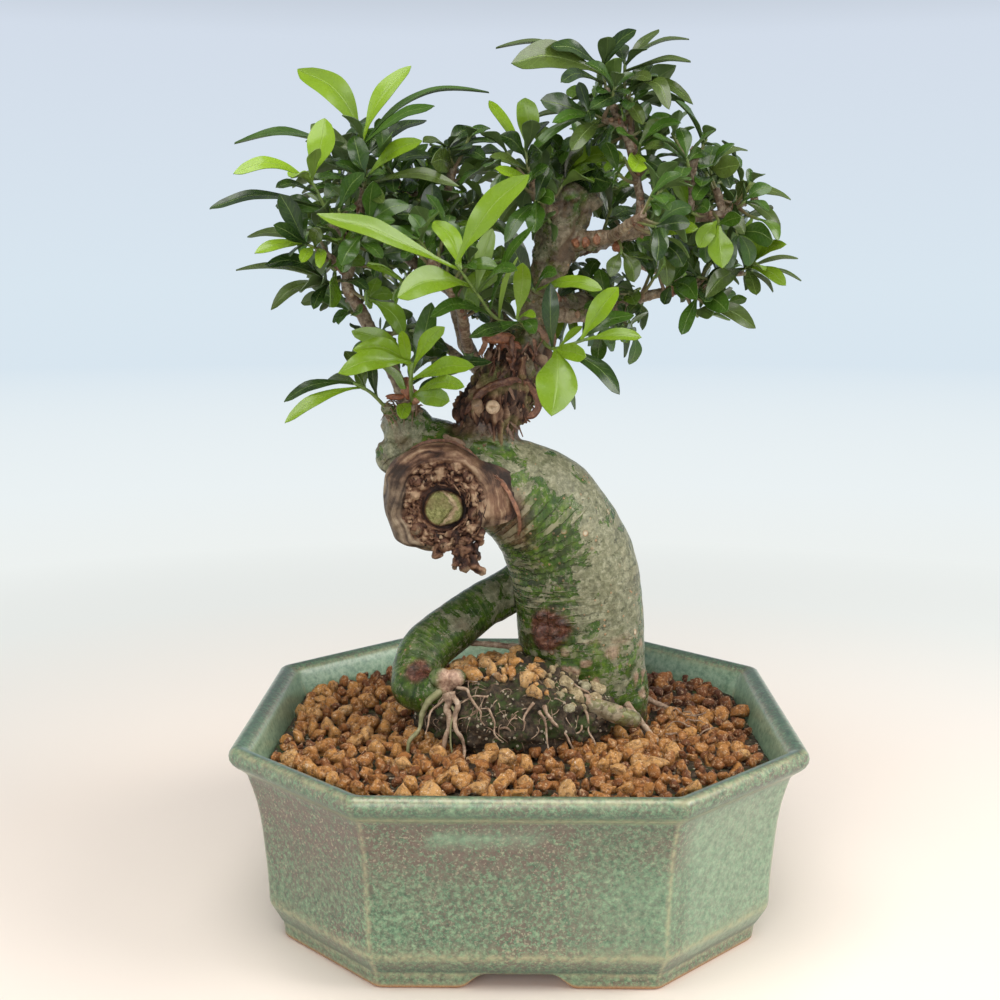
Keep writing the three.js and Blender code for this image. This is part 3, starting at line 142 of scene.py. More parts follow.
# Shoots: name, stem radius, small pairs, small leaf length, tone, stem points, leaves placed one by one.
# A leaf is place on the stem, tip x, y, z, width, rise of its middle, turn to the front, tone.
# Tones: 0 dark, 1 mid green, 2 young yellow-green brightened with painted light shining through, 3 olive or
# grey-green.
SHOOTS = [
    ["left_top", 0.8, 1, 24, 1, [[-61, -8, 288], [-60, -8, 298], [-61, -8, 308]], [
        [1, -83, -14, 334, 10, 2, 80, 2], [1, -43, -2, 336, 7, 2, 60, 2],
        [0.95, -13, 2, 328, 7, 7, 25, 1], [1, -33, -22, 320, 5, 1, 50, 1],
        [0.8, -38, 12, 318, 6, 2, 40, 0], [0.75, -107, -24, 307, 8, 5, 20, 1],
        [0.9, -83, 10, 316, 6, 1, 60, 3], [0.5, -37, -26, 306, 6, 1, 60, 2],
        [0.25, -76, -24, 292, 5, 2, 30, 1], [0.15, -23, -22, 291, 6, 5, 40, 3],
        [0.1, -50, -38, 283, 5, 1, 50, 3],
    ]],
    ["left_shoot", 0.8, 1, 23, 2, [[-73, -17, 275], [-75, -21, 282], [-79, -25, 291]], [
        [1, -74, -20, 314, 10, 1, 70, 2], [0.95, -105, -38, 294, 6, 4, 40, 2],
        [0.5, -114, -40, 282, 6, 3, 25, 0], [0.85, -89, -42, 288, 4, 1, 30, 0],
    ]],
    ["left_low", 0.7, 1, 19, 0, [[-77, -24, 265], [-79, -25, 266], [-82, -26, 267]], [
        [1, -89, -30, 285, 7, 1, 70, 0], [1, -86, -14, 282, 5, 1, 40, 1], [1, -98, -40, 264, 5, 2, 45, 2],
        [0.9, -90, -42, 274, 5, 1, 60, 0], [0.8, -105, -16, 271, 5, 2, 30, 3],
        [0.4, -74, -38, 273, 5, 0, 80, 3], [0.6, -81, -38, 260, 4, 1, 60, 2],
        [0.2, -74, -38, 258, 4, 1, 70, 2],
    ]],
    ["left_under", 0.7, 1, 19, 0, [[-67, -18, 253], [-70, -22, 253], [-74, -24, 252]], [
        [1, -95, -34, 260, 6, 3, 45, 0], [0.9, -109, -20, 258, 5, 2, 20, 3],
        [1, -95, -28, 243, 5, 2, 60, 3], [1, -77, -38, 243, 4, 0, 70, 0],
        [0.3, -73, -4, 268, 4, 1, 60, 0], [0.5, -56, -40, 251, 4, 1, 30, 0],
    ]],
    ["left_inner", 0.7, 3, 18, 1, [[-66, -18, 262], [-62, -27, 266], [-59, -33, 270]], [
        [1, -66, -42, 259, 7, 1, 80, 1],
    ]],
    ["left_fork", 0.7, 3, 23, 1, [[-46, 4, 290], [-49, -2, 294], [-53, -6, 298]], [
        [1, -55, -2, 316, 5, 1, 50, 1], [0.6, -48, -24, 287, 5, 1, 60, 0],
    ]],
    ["centre_left", 0.7, 2, 19, 0, [[-26, 0, 297], [-27, -3, 301], [-28, -5, 305]], [
        [0.9, -18, 4, 313, 6, 1, 70, 0], [1, -37, -14, 306, 5, 1, 30, 3], [0.9, -9, -4, 307, 5, 1, 30, 0],
        [0.6, -13, -18, 300, 5, 1, 40, 0], [0.3, -47, -18, 299, 5, 2, 40, 0],
        [0.1, -33, -28, 298, 9, 0, 85, 3],
    ]],
    ["centre_hang", 0.7, 3, 21, 0, [[-29, 4, 265], [-31, -8, 269], [-33, -16, 272]], [
        [1, -51, -30, 266, 5, 2, 50, 1], [0.8, -38, -30, 256, 5, 1, 50, 1],
    ]],
    ["front", 0.8, 0, 22, 2, [
        [4, -3, 234], [-9, -24, 239], [-15, -36, 247], [-19, -44, 253], [-23, -50, 259],
    ], [
        [1, 2, -58, 291, 10, 3, 70, 2], [0.97, -68, -76, 279, 7, -1, 55, 2],
        [1, -30, -46, 275, 7, 1, 70, 2], [0.8, -43, -66, 248, 10, 3, 62, 2],
        [0.75, -11, -30, 273, 6, 1, -70, 2], [0.8, -1, -66, 258, 5, 2, 40, 1],
        [0.62, 4, -42, 274, 5, 1, 50, 1], [0.55, -1, -58, 263, 4, 1, 40, 2],
        [0.6, -32, -54, 242, 5, 2, 45, 1], [0.45, -18, -56, 235, 4, 1, 45, 0],
    ]],
    ["front_low", 0.8, 0, 19, 2, [[5, -3, 231], [1, -22, 237], [-1, -30, 239]], [
        [1, 1, -40, 260, 6, 1, 80, 2], [1, 6, -42, 240, 3, 1, 45, 2], [0.7, -13, -32, 233, 5, 1, 40, 1],
        [0.8, 6, -34, 234, 5, 1, 50, 1],
    ]],
    ["front_trunk", 0.8, 0, 19, 1, [[10, -1, 247], [6, -14, 249], [5, -20, 250]], [
        [1, -4, -28, 270, 7, 1, 72, 0], [0.9, -10, -18, 278, 5, 1, 50, 0],
        [0.8, 14, -30, 256, 5, 2, 45, 1], [0.7, 31, -34, 251, 6, 3, 45, 2],
    ]],
    ["lower_left", 1, 0, 23, 2, [[-42, -14, 205], [-42, -22, 213], [-41, -28, 222]], [
        [1, -67, -46, 221, 8, 2, 62, 2], [1, -63, -30, 228, 8, 2, 50, 2],
        [0.95, -64, -22, 235, 7, 1, 70, 2], [1, -29, -36, 237, 6, 1, 60, 2],
        [1, -34, -22, 245, 8, 1, 70, 1], [1, -44, -36, 235, 4, 1, 70, 2],
        [0.9, -17, -48, 224, 7, 3, 55, 2], [0.85, -11, -30, 224, 5, 2, 40, 0],
        [0.6, -26, -44, 210, 7, 2, 70, 2], [0.65, -20, -50, 216, 5, 2, 55, 2],
        [0.2, -45, -34, 202, 5, 0, 75, 2],
    ]],
    ["lower_left_low", 0.9, 0, 19, 2, [[-53, -14, 204], [-58, -19, 210], [-64, -24, 214]], [
        [1, -90, -32, 209, 5, 3, 35, 0], [0.85, -89, -38, 201, 5, 3, 45, 2],
        [0.9, -78, -6, 214, 5, 2, 40, 3], [0.8, -69, -8, 226, 5, 1, 50, 3],
        [0.5, -57, -24, 223, 4, 1, 50, 0],
    ]],
    ["top", 0.8, 1, 21, 0, [[34, 0, 324], [33, 0, 330], [32, 0, 336]], [
        [1, -9, -2, 344, 7, 4, 12, 3], [0.75, -3, -26, 335, 11, 1, 65, 3], [1, 12, -16, 342, 7, 1, 45, 0],
        [1, 44, -8, 348, 6, 1, 60, 0], [0.6, 15, -34, 327, 5, 1, 45, 0],
    ]],
    ["top_right", 0.8, 1, 21, 0, [[42, 4, 323], [41, 4, 330], [41, 2, 337]], [
        [1, 65, -2, 346, 5, 3, 18, 3], [1, 54, 10, 352, 5, 0, 30, 3], [0.9, 65, -10, 337, 6, 1, 20, 3],
        [0.7, 49, -22, 328, 5, 1, 50, 3], [0.6, 67, -8, 322, 5, 3, 50, 3],
        [0.45, 56, -24, 318, 6, 5, 40, 3], [0.5, 26, -26, 317, 6, 2, 50, 0],
        [0.1, 47, -14, 313, 5, 1, 60, 3],
    ]],
    ["top_low", 0.7, 1, 19, 0, [[32, -6, 315], [29, -9, 316], [26, -12, 317]], [
        [0.9, 8, -22, 321, 8, 0, 70, 0], [1, 1, -14, 314, 5, 1, 20, 3], [0.2, 19, -26, 302, 6, 2, 60, 3],
        [0.8, 4, -20, 302, 4, 1, 40, 1], [0.6, 12, -30, 313, 4, 1, 50, 1],
    ]],
    ["centre_top", 0.8, 1, 21, 0, [[4, -12, 292], [3, -13, 297], [2, -13, 303]], [
        [1, 2, -16, 321, 8, 0, 80, 2], [1, -11, -10, 322, 5, -1, 40, 2], [0.8, -7, -22, 308, 7, 1, 60, 0],
        [0.6, 8, -30, 301, 6, 0, 65, 0], [0.7, 12, -6, 309, 4, -1, 60, 0],
        [0.5, -11, -26, 300, 5, 1, 40, 3], [0.3, -9, -38, 295, 4, 0, 60, 2],
    ]],
    ["centre_mid", 0.7, 1, 19, 1, [[10, -8, 281], [8, -15, 283], [6, -20, 283]], [
        [1, 13, -30, 283, 5, 1, 70, 1], [1, 11, -16, 296, 5, 1, 70, 0], [0.8, -6, -32, 268, 5, 3, 55, 1],
        [0.5, 2, -8, 276, 5, 1, 60, 0],
    ]],
    ["crown_mid", 0.8, 1, 21, 0, [[20, 10, 283], [17, 16, 291], [20, 12, 299]], [
        [1, 11, -6, 310, 6, 2, 60, 1], [0.8, 14, -12, 303, 7, 0, 75, 0], [1, 28, 6, 308, 8, 0, 75, 2],
        [0.8, 39, -4, 302, 7, 4, 60, 2], [0.9, 24, -14, 304, 4, 0, 80, 3],
        [0.6, 35, -16, 292, 11, 0, 80, 0],
    ]],
    ["leader_mid", 0.8, 1, 19, 1, [[44, -5, 300], [46, -9, 302], [46, -13, 305]], [
        [1, 56, -12, 313, 7, 1, 65, 3], [0.5, 42, -30, 294, 8, 0, 85, 2], [0.9, 62, -8, 302, 5, 3, 60, 1],
        [0.8, 54, -26, 303, 4, 1, 50, 3], [0.6, 55, -14, 296, 6, 0, 60, 0],
    ]],
    ["right_pad", 0.7, 2, 17, 1, [[66, -12, 287], [64, -20, 295], [63, -22, 299]], [
        [1, 61, -16, 311, 5, 0, 75, 1], [0.6, 56, -30, 290, 6, 0, 70, 3],
        [0.9, 71, -14, 302, 5, 1, 60, 1],
    ]],
    ["right_pad_top", 0.7, 2, 18, 1, [[76, -10, 288], [74, -12, 292], [73, -14, 296]], [
        [1, 88, -6, 304, 5, 2, 35, 3], [1, 82, -28, 297, 8, 0, 80, 3], [0.7, 80, -24, 288, 5, 3, 60, 0],
        [0.6, 65, -28, 284, 5, 0, 60, 1],
    ]],
    ["right_tip", 0.7, 1, 16, 0, [[87, -6, 283], [85, -8, 284], [83, -10, 283]], [
        [0.2, 106, -4, 285, 5, 3, 35, 3], [0.6, 87, -14, 291, 5, 1, 70, 3],
        [0.4, 99, 8, 290, 5, 2, 40, 3], [0.5, 101, -14, 272, 5, 2, 50, 3],
    ]],
    ["right_end", 0.7, 1, 18, 2, [[88, 4, 257], [90, 2, 258], [92, 0, 259]], [
        [1, 96, -8, 271, 7, 0, 75, 2], [1, 102, -14, 268, 5, 1, 50, 2], [1, 111, 4, 263, 4, 1, 20, 3],
        [1, 111, -6, 254, 4, 1, 15, 3], [1, 103, -16, 252, 5, 1, 60, 2], [0.9, 92, -14, 248, 5, 0, 85, 3],
        [0.7, 71, -22, 248, 7, 2, 60, 3], [0.8, 86, -6, 275, 5, 1, 60, 0], [0.9, 95, 4, 271, 4, 0, 60, 1],
    ]],
    ["right_low", 0.7, 1, 17, 2, [[73, 9, 251], [72, 1, 249], [70, -6, 247]], [
        [1, 93, -12, 236, 7, 2, 65, 3], [0.9, 80, -24, 242, 8, 2, 75, 1],
        [0.9, 63, -12, 233, 5, 0, 75, 1], [0.4, 71, -22, 247, 6, 0, 70, 1],
        [0.3, 82, -8, 258, 5, 1, 45, 0],
    ]],
    ["right_low_in", 0.7, 1, 17, 1, [[62, 12, 249], [60, 2, 251], [60, -6, 252]], [
        [1, 68, -22, 247, 8, 2, 72, 1], [0.8, 57, -6, 244, 4, 0, 60, 0],
    ]],
    ["right_hang", 0.7, 1, 17, 1, [[75, -11, 279], [76, -17, 276], [76, -20, 274]], [
        [1, 77, -26, 258, 9, 1, 85, 2], [0.9, 71, -16, 260, 5, 1, 80, 1],
        [0.7, 67, -28, 266, 6, 1, 70, 2], [0.9, 85, -26, 271, 5, 2, 60, 3],
    ]],
    ["right_under", 0.7, 1, 18, 0, [[51, -14, 271], [52, -18, 269], [54, -20, 267]], [
        [1, 62, -28, 259, 8, 1, 80, 0], [0.6, 67, -28, 273, 5, 2, 55, 2],
        [0.8, 57, -22, 251, 6, 2, 70, 3],
    ]],
    ["right_under_in", 0.7, 2, 17, 1, [[38, -14, 269], [39, -18, 266], [39, -20, 263]], [
        [0.9, 34, -24, 255, 5, 1, 70, 3], [1, 44, -26, 253, 6, 1, 75, 3],
    ]],
    ["lower_right", 0.9, 0, 23, 2, [[7, -2, 232], [13, -19, 227], [17, -22, 228], [29, -24, 232]], [
        [0.45, 12, -42, 204, 15, 2, 85, 2], [0.5, 39, -28, 211, 7, 3, 50, 0],
        [1, 46, -32, 233, 5, 1, 50, 2], [1, 37, -28, 251, 8, 1, 70, 2], [1, 44, -16, 241, 6, 2, 60, 1],
        [0.55, 12, -24, 252, 6, 2, 72, 0], [0.6, 25, -38, 226, 6, 0, 80, 2],
        [0.9, 24, -22, 236, 3, 0, 50, 2], [0.35, 24, -4, 203, 5, 1, 30, 3],
    ]],
    ["back_left", 0.8, 4, 25, 0, [[-73, 42, 289], [-76, 44, 295], [-77, 44, 301]], []],
    ["back_left_low", 0.9, 4, 24, 0, [[-58, 43, 272], [-65, 56, 271], [-70, 66, 269]], []],
    ["back_left_mid", 0.9, 4, 25, 0, [[-32, 56, 290], [-31, 60, 296], [-30, 62, 302]], []],
    ["back_left_far", 0.9, 4, 24, 0, [[-37, 51, 276], [-44, 66, 281], [-50, 78, 286]], []],
    ["back_top", 0.9, 4, 25, 0, [[35, 62, 305], [37, 66, 311], [38, 68, 316]], []],
    ["back_mid", 0.9, 4, 24, 0, [[22, 44, 285], [18, 60, 290], [13, 74, 294]], []],
    ["back_right", 0.9, 4, 23, 0, [[79, 60, 282], [85, 64, 285], [89, 66, 289]], []],
    ["back_right_far", 0.9, 4, 24, 0, [[59, 53, 276], [64, 66, 283], [67, 76, 291]], []],
    ["back_right_low", 0.9, 4, 22, 0, [[63, 60, 257], [69, 64, 256], [74, 66, 255]], []],
    ["back_low_left", 0.9, 4, 23, 1, [[-34, 44, 226], [-38, 52, 231], [-41, 58, 237]], []],
    ["back_low_right", 0.9, 4, 21, 1, [[43, 46, 247], [48, 52, 248], [53, 56, 250]], []],
    ["front_right", 0.6, 3, 16, 1, [[45, -44, 277], [46, -50, 280], [47, -54, 283]], []],
    ["front_right_low", 0.6, 2, 15, 0, [[42, -38, 275], [46, -46, 273], [49, -52, 272]], []],
    ["front_left", 0.6, 3, 18, 1, [[-33, -36, 261], [-35, -40, 265], [-37, -44, 268]], []],
    ["mid_back", 0.8, 3, 21, 0, [[34, 34, 270], [36, 30, 277], [38, 26, 283]], []],
]


# Numbers, noise and curves

# How far the tip of a rounded tube stands out, as a share of its last radius
ROUND_TIP = 0.6


def seeded(seed):
    """Random numbers between 0 and 1, the same on every run."""
    mask = 0xFFFFFFFF
    state = seed & mask

    def draw():
        nonlocal state
        state = (state + 0x6D2B79F5) & mask
        mixed = ((state ^ (state >> 15)) * (state | 1)) & mask
        mixed ^= (mixed + (mixed ^ (mixed >> 7)) * (mixed | 61)) & mask
        return ((mixed ^ (mixed >> 14)) & mask) / 4294967296

    return draw


def noise(points, size, seed=0):
    """Smooth random values from -1 to 1 whose lumps are about size across."""
    scaled = np.asarray(points, float) / size + 31.7 * seed
    cell = np.floor(scaled).astype(np.int64)
    part = scaled - cell
    part = part * part * (3 - 2 * part)
    total = 0.0
    for corner in range(8):
        step = np.array([corner & 1, (corner >> 1) & 1, corner >> 2])
        key = (cell + step) @ np.array([374761393, 668265263, 1274126177])
        key = (key ^ (key >> 13)) * 1103515245 + 12345
        key = (key ^ (key >> 16)) & 0xFFFFFF
        share = np.prod(np.where(step, part, 1 - part), axis=1)
        total = total + share * (key / 0x7FFFFF - 1)
    return total


def layers(points, size, count=3, seed=0):
    """Noise in layers, each half as large and half as strong as the one before."""
    total = 0.0
    for layer in range(count):
        total = total + noise(points, size / 2**layer, seed + layer) * 0.5**layer
    return total


def wobble(points, size, seed):
    """Noise on each axis, which bends a path or roughens a shape."""
    return np.column_stack([noise(points, size, seed + axis) for axis in range(3)])


def smooth_step(value, low, high):
    """0 up to low, 1 from high on, and a smooth rise between them."""
    share = np.clip((value - low) / (high - low), 0, 1)
    return share * share * (3 - 2 * share)


def unit(vector):
    """The same direction with length 1."""
    vector = np.asarray(vector, float)
    return vector / max(np.linalg.norm(vector), 1e-9)


def spline(rows, spacing):
    """Rows of [x, y, z, radius] along a smooth curve through the given rows, about spacing apart."""
    rows = np.asarray(rows, float)
    spots = rows[:, :3]
    ends = np.vstack([2 * spots[0] - spots[1], spots, 2 * spots[-1] - spots[-2]])
    fine = []
    for k in range(len(spots) - 1):
        p = ends[k : k + 4]
        gaps = [max(np.linalg.norm(p[i + 1] - p[i]), 1e-6) ** 0.5 for i in range(3)]
        start = (p[1] - p[0]) / gaps[0] - (p[2] - p[0]) / (gaps[0] + gaps[1]) + (p[2] - p[1]) / gaps[1]
        stop = (p[2] - p[1]) / gaps[1] - (p[3] - p[1]) / (gaps[1] + gaps[2]) + (p[3] - p[2]) / gaps[2]
        start, stop = start * gaps[1], stop * gaps[1]
        for t in np.arange(0, 1, 0.05):
            bend = p[1] + t * start + t * t * (3 * (p[2] - p[1]) - 2 * start - stop)
            bend = bend + t**3 * (2 * (p[1] - p[2]) + start + stop)
            fine.append([*bend, rows[k, 3] + t * (rows[k + 1, 3] - rows[k, 3])])
    fine = np.array(fine + [list(rows[-1])])
    run = runs_along(fine[:, :3])
    count = max(int(round(run[-1] / spacing)), 2)
    even = np.linspace(0, run[-1], count + 1)
    return np.column_stack([np.interp(even, run, fine[:, k]) for k in range(4)])


def runs_along(spots):
    """How far each spot of a path lies along it."""
    return np.concatenate([[0], np.cumsum(np.linalg.norm(np.diff(spots, axis=0), axis=1))])


def turned_frames(path):
    """Two directions across a path at each of its rows, carried along without twist."""
    spots = path[:, :3]
    tangents = np.gradient(spots, axis=0)
    tangents /= np.linalg.norm(tangents, axis=1)[:, None]
    first = np.cross(tangents[0], [0, 0, 1] if abs(tangents[0][2]) < 0.9 else [0, 1, 0])
    firsts = []
    for tangent in tangents:
        first = unit(first - tangent * (first @ tangent))
        firsts.append(first)
    firsts = np.array(firsts)
    return firsts, np.cross(tangents, firsts)


def ring_faces(rows, sides):
    """Faces between rings of points, row after row."""
    faces = []
    for row in range(rows - 1):
        for side in range(sides):
            a, b = row * sides + side, row * sides + (side + 1) % sides
            faces.append((a, b, b + sides, a + sides))
    return faces


def closed_faces(rows, sides):
    """Faces between rings of points, closed by the two points that follow them: start and tip."""
    faces = ring_faces(rows, sides)
    start, last = rows * sides, (rows - 1) * sides
    for side in range(sides):
        after = (side + 1) % sides
        faces.append((start, after, side))
        faces.append((start + 1, last + side, last + after))
    return faces


def tube(path, sides, round_end=True):
    """A closed tube round a path of [x, y, z, radius]: its points, faces and how far along each point is."""
    firsts, seconds = turned_frames(path)
    angle = np.arange(sides) * 2 * math.pi / sides
    run = runs_along(path[:, :3])
    ring = firsts[:, None] * np.cos(angle)[None, :, None] + seconds[:, None] * np.sin(angle)[None, :, None]
    points = (path[:, None, :3] + ring * path[:, None, 3:]).reshape(-1, 3)
    ahead = path[-1, :3] - path[-2, :3]
    tip = path[-1, :3] + unit(ahead) * path[-1, 3] * (ROUND_TIP if round_end else 0)
    points = np.vstack([points, path[0, :3], tip])
    runs = np.concatenate([np.repeat(run, sides), [0, run[-1]]])
    return points, closed_faces(len(path), sides), runs


def middles(path, sides):
    """For each point of a tube round this path, the spot of the path that it stands round."""
    return np.vstack([np.repeat(path[:, :3], sides, axis=0), path[0, :3], path[-1, :3]])


def merged(parts):
    """Points and faces of several parts as one; a part may hold more behind its points and faces."""
    points, faces, start = [], [], 0
    for part in parts:
        points.append(part[0])
        faces += [tuple(index + start for index in face) for face in part[1]]
        start += len(part[0])
    return np.vstack(points), faces


def ball(centre, half, detail=2, rough=0.0, seed=0):
    """A lump: half sizes along X, Y and Z, with an uneven skin."""
    points, faces = plain_ball(detail)
    points = points * (1 + rough * layers(points, 0.7, 2, seed)[:, None])
    return points * np.asarray(half, float) + np.asarray(centre, float), faces


@cache
def plain_ball(detail):
    """Points and faces of a ball of triangles with radius 1."""
    shell = bmesh.new()
    bmesh.ops.create_icosphere(shell, subdivisions=detail, radius=1)
    points = np.array([vertex.co[:] for vertex in shell.verts])
    faces = [tuple(vertex.index for vertex in face.verts) for face in shell.faces]
    shell.free()
    return points, faces


def mesh_of(name, points, faces, values=None, uv=None):
    """A Blender mesh in metres from points in millimetres, with a number per point for each name."""
    mesh = bpy.data.meshes.new(name)
    mesh.from_pydata((np.asarray(points) * MM).tolist(), [], faces)
    mesh.polygons.foreach_set("use_smooth", [True] * len(mesh.polygons))
    set_values(mesh, **(values or {}))
    if uv is not None:
        corners = np.empty(len(mesh.loops), np.int32)
        mesh.loops.foreach_get("vertex_index", corners)
        layer = mesh.uv_layers.new(name="UVMap")
        layer.data.foreach_set("uv", np.asarray(uv, np.float32)[corners].ravel())
    return mesh


def merged_mesh(name, parts, uv=None):
    """A Blender mesh from parts, each with points, faces and the numbers of its points by name."""
    points, faces = merged(parts)
    marks = {}
    for key in parts[0][2]:
        marks[key] = np.concatenate([np.broadcast_to(part[2][key], len(part[0])) for part in parts])
    return mesh_of(name, points, faces, marks, uv)


def piece(name, mesh, material, slot, *nodes):
    """Puts a finished mesh into the scene: it rides on the body and stands for the CAD nodes."""
    mesh.name = name
    mesh.materials.clear()
    mesh.materials.append(material)
    thing = bpy.data.objects.new(name, mesh)
    bpy.context.scene.collection.objects.link(thing)
    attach(thing, BODY)
    if nodes:
        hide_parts(*nodes)
    return thing


def applied(thing):
    """The evaluated mesh of an object with modifiers, after which the object is removed."""
    depsgraph = bpy.context.evaluated_depsgraph_get()
    mesh = bpy.data.meshes.new_from_object(thing.evaluated_get(depsgraph), depsgraph=depsgraph)
    bpy.data.objects.remove(thing)
    return mesh


def points_of(mesh):
    """The points of a mesh in millimetres."""
    spots = np.empty(len(mesh.vertices) * 3)
    mesh.vertices.foreach_get("co", spots)
    return spots.reshape(-1, 3) / MM


def normals_of(mesh):
    """The outward direction at each point of a mesh."""
    ways = np.empty(len(mesh.vertices) * 3)
    mesh.vertices.foreach_get("normal", ways)
    return ways.reshape(-1, 3)


def set_values(mesh, **values):
    """Stores numbers on the points of a mesh, one per point for each name."""
    for key, numbers in values.items():
        layer = mesh.attributes.new(key, "FLOAT", "POINT")
        layer.data.foreach_set("value", np.asarray(numbers, np.float32))


def grown_together(name, parts, voxel):
    """Overlapping closed shells as one skin of even small faces."""
    thing = bpy.data.objects.new(name, mesh_of(name, *merged(parts)))
    bpy.context.scene.collection.objects.link(thing)
    remesh = thing.modifiers.new("One skin", "REMESH")
    remesh.mode = "VOXEL"
    remesh.voxel_size = voxel * MM
    remesh.use_smooth_shade = True
    return applied(thing)


def nearest_on(points, path):
    """For each point: distance to the skin of a path of rows, and how far along the path it lies."""
    best = np.full(len(points), 1e9)
    along = np.zeros(len(points))
    run = 0.0
    for a, b in zip(path[:-1], path[1:]):
        step = b[:3] - a[:3]
        length = np.linalg.norm(step)
        share = np.clip((points - a[:3]) @ step / max(length**2, 1e-9), 0, 1)
        gap = np.linalg.norm(points - a[:3] - share[:, None] * step, axis=1)
        gap = gap - a[3] - share * (b[3] - a[3])
        closer = gap < best
        best[closer] = gap[closer]
        along[closer] = run + share[closer] * length
        run += length
    return best, along


# Finishes: procedural materials on Object coordinates, UV maps and attributes


def add_node(tree, kind, inputs=None, **settings):
    """A new node whose inputs are given as links or as values."""
    node = tree.nodes.new(kind)
    for key, value in settings.items():
        setattr(node, key, value)
    for key, value in (inputs or {}).items():
        if isinstance(value, bpy.types.NodeSocket):
            tree.links.new(value, node.inputs[key])
        else:
            node.inputs[key].default_value = value
    return node


def fill_ramp(node, stops):
    """Gives a colour ramp its stops, each a place and a colour or a grey."""
    points = node.color_ramp.elements
    while len(points) < len(stops):
        points.new(0.5)
    for point, (place, colour) in zip(points, stops):
        point.position = place
        point.color = (*colour, 1) if hasattr(colour, "__len__") else (colour, colour, colour, 1)


class Finish:
    """A material in the making: each call adds one node and gives back its output."""

    def __init__(self, name, **sockets):
        self.material = bpy.data.materials.new(name)
        self.material.use_nodes = True
        self.tree = self.material.node_tree
        self.shader = self.tree.nodes["Principled BSDF"]
        for key, value in sockets.items():
            self.shader.inputs[key.replace("_", " ")].default_value = value
        self.place = self.add("ShaderNodeTexCoord").outputs["Object"]

    def add(self, kind, inputs=None, **settings):
        return add_node(self.tree, kind, inputs, **settings)

    def value(self, name):
        """A number stored on the mesh."""
        return self.add("ShaderNodeAttribute", attribute_name=name).outputs["Fac"]

    def noise(self, size, detail=3.0, rough=0.55, place=None, bend=0.0):
        """Noise whose lumps are about size millimetres across."""
        inputs = {
            "Vector": place or self.place, "Scale": 1000 / size, "Detail": detail, "Roughness": rough,
            "Distortion": bend,
        }
        return self.add("ShaderNodeTexNoise", inputs).outputs[0]

    def drawn_out(self, scale):
        """Object coordinates stretched by a factor on each axis."""
        return self.add("ShaderNodeMapping", {"Vector": self.place, "Scale": scale}).outputs[0]

    def wound(self, share):
        """Coordinates along a limb (its stored run) and, much slower, across it."""
        parts = self.add("ShaderNodeSeparateXYZ", {0: self.place}).outputs
        sides = [self.sum("MULTIPLY", parts[k], share) for k in range(2)]
        run = self.sum("MULTIPLY", self.value("run"), MM)
        return self.add("ShaderNodeCombineXYZ", {0: run, 1: sides[0], 2: sides[1]}).outputs[0]

    def cells(self, size):
        """Distance to the nearest of many spots about size millimetres apart."""
        inputs = {"Vector": self.place, "Scale": 1000 / size}
        return self.add("ShaderNodeTexVoronoi", inputs).outputs["Distance"]

    def ramp(self, value, *stops):
        """A colour or a grey for a number: stops are (place, colour or grey)."""
        node = self.add("ShaderNodeValToRGB", {0: value})
        fill_ramp(node, stops)
        return node.outputs[0]

    def mix(self, share, first, second):
        """The first colour where share is 0 and the second where it is 1."""
        inputs = {0: share}
        for key, colour in ((6, first), (7, second)):
            inputs[key] = colour if isinstance(colour, bpy.types.NodeSocket) else (*colour, 1)
        return self.add("ShaderNodeMix", inputs, data_type="RGBA").outputs[2]

    def sum(self, operation, first, second=0.5, third=0.5):
        """One step of arithmetic."""
        inputs = {0: first, 1: second, 2: third}
        return self.add("ShaderNodeMath", inputs, operation=operation).outputs[0]

    def bump(self, height, depth, strength=1.0, onto=None):
        """Relief of depth millimetres where height goes from 0 to 1."""
        inputs = {"Height": height, "Distance": depth * MM, "Strength": strength}
        if onto:
            inputs["Normal"] = onto
        return self.add("ShaderNodeBump", inputs).outputs[0]

    def made(self, colour, roughness=None, normal=None):
        """The finished material."""
        for key, value in (("Base Color", colour), ("Roughness", roughness), ("Normal", normal)):
            if isinstance(value, bpy.types.NodeSocket):
                self.tree.links.new(value, self.shader.inputs[key])
            elif value is not None:
                self.shader.inputs[key].default_value = value
        return self.material


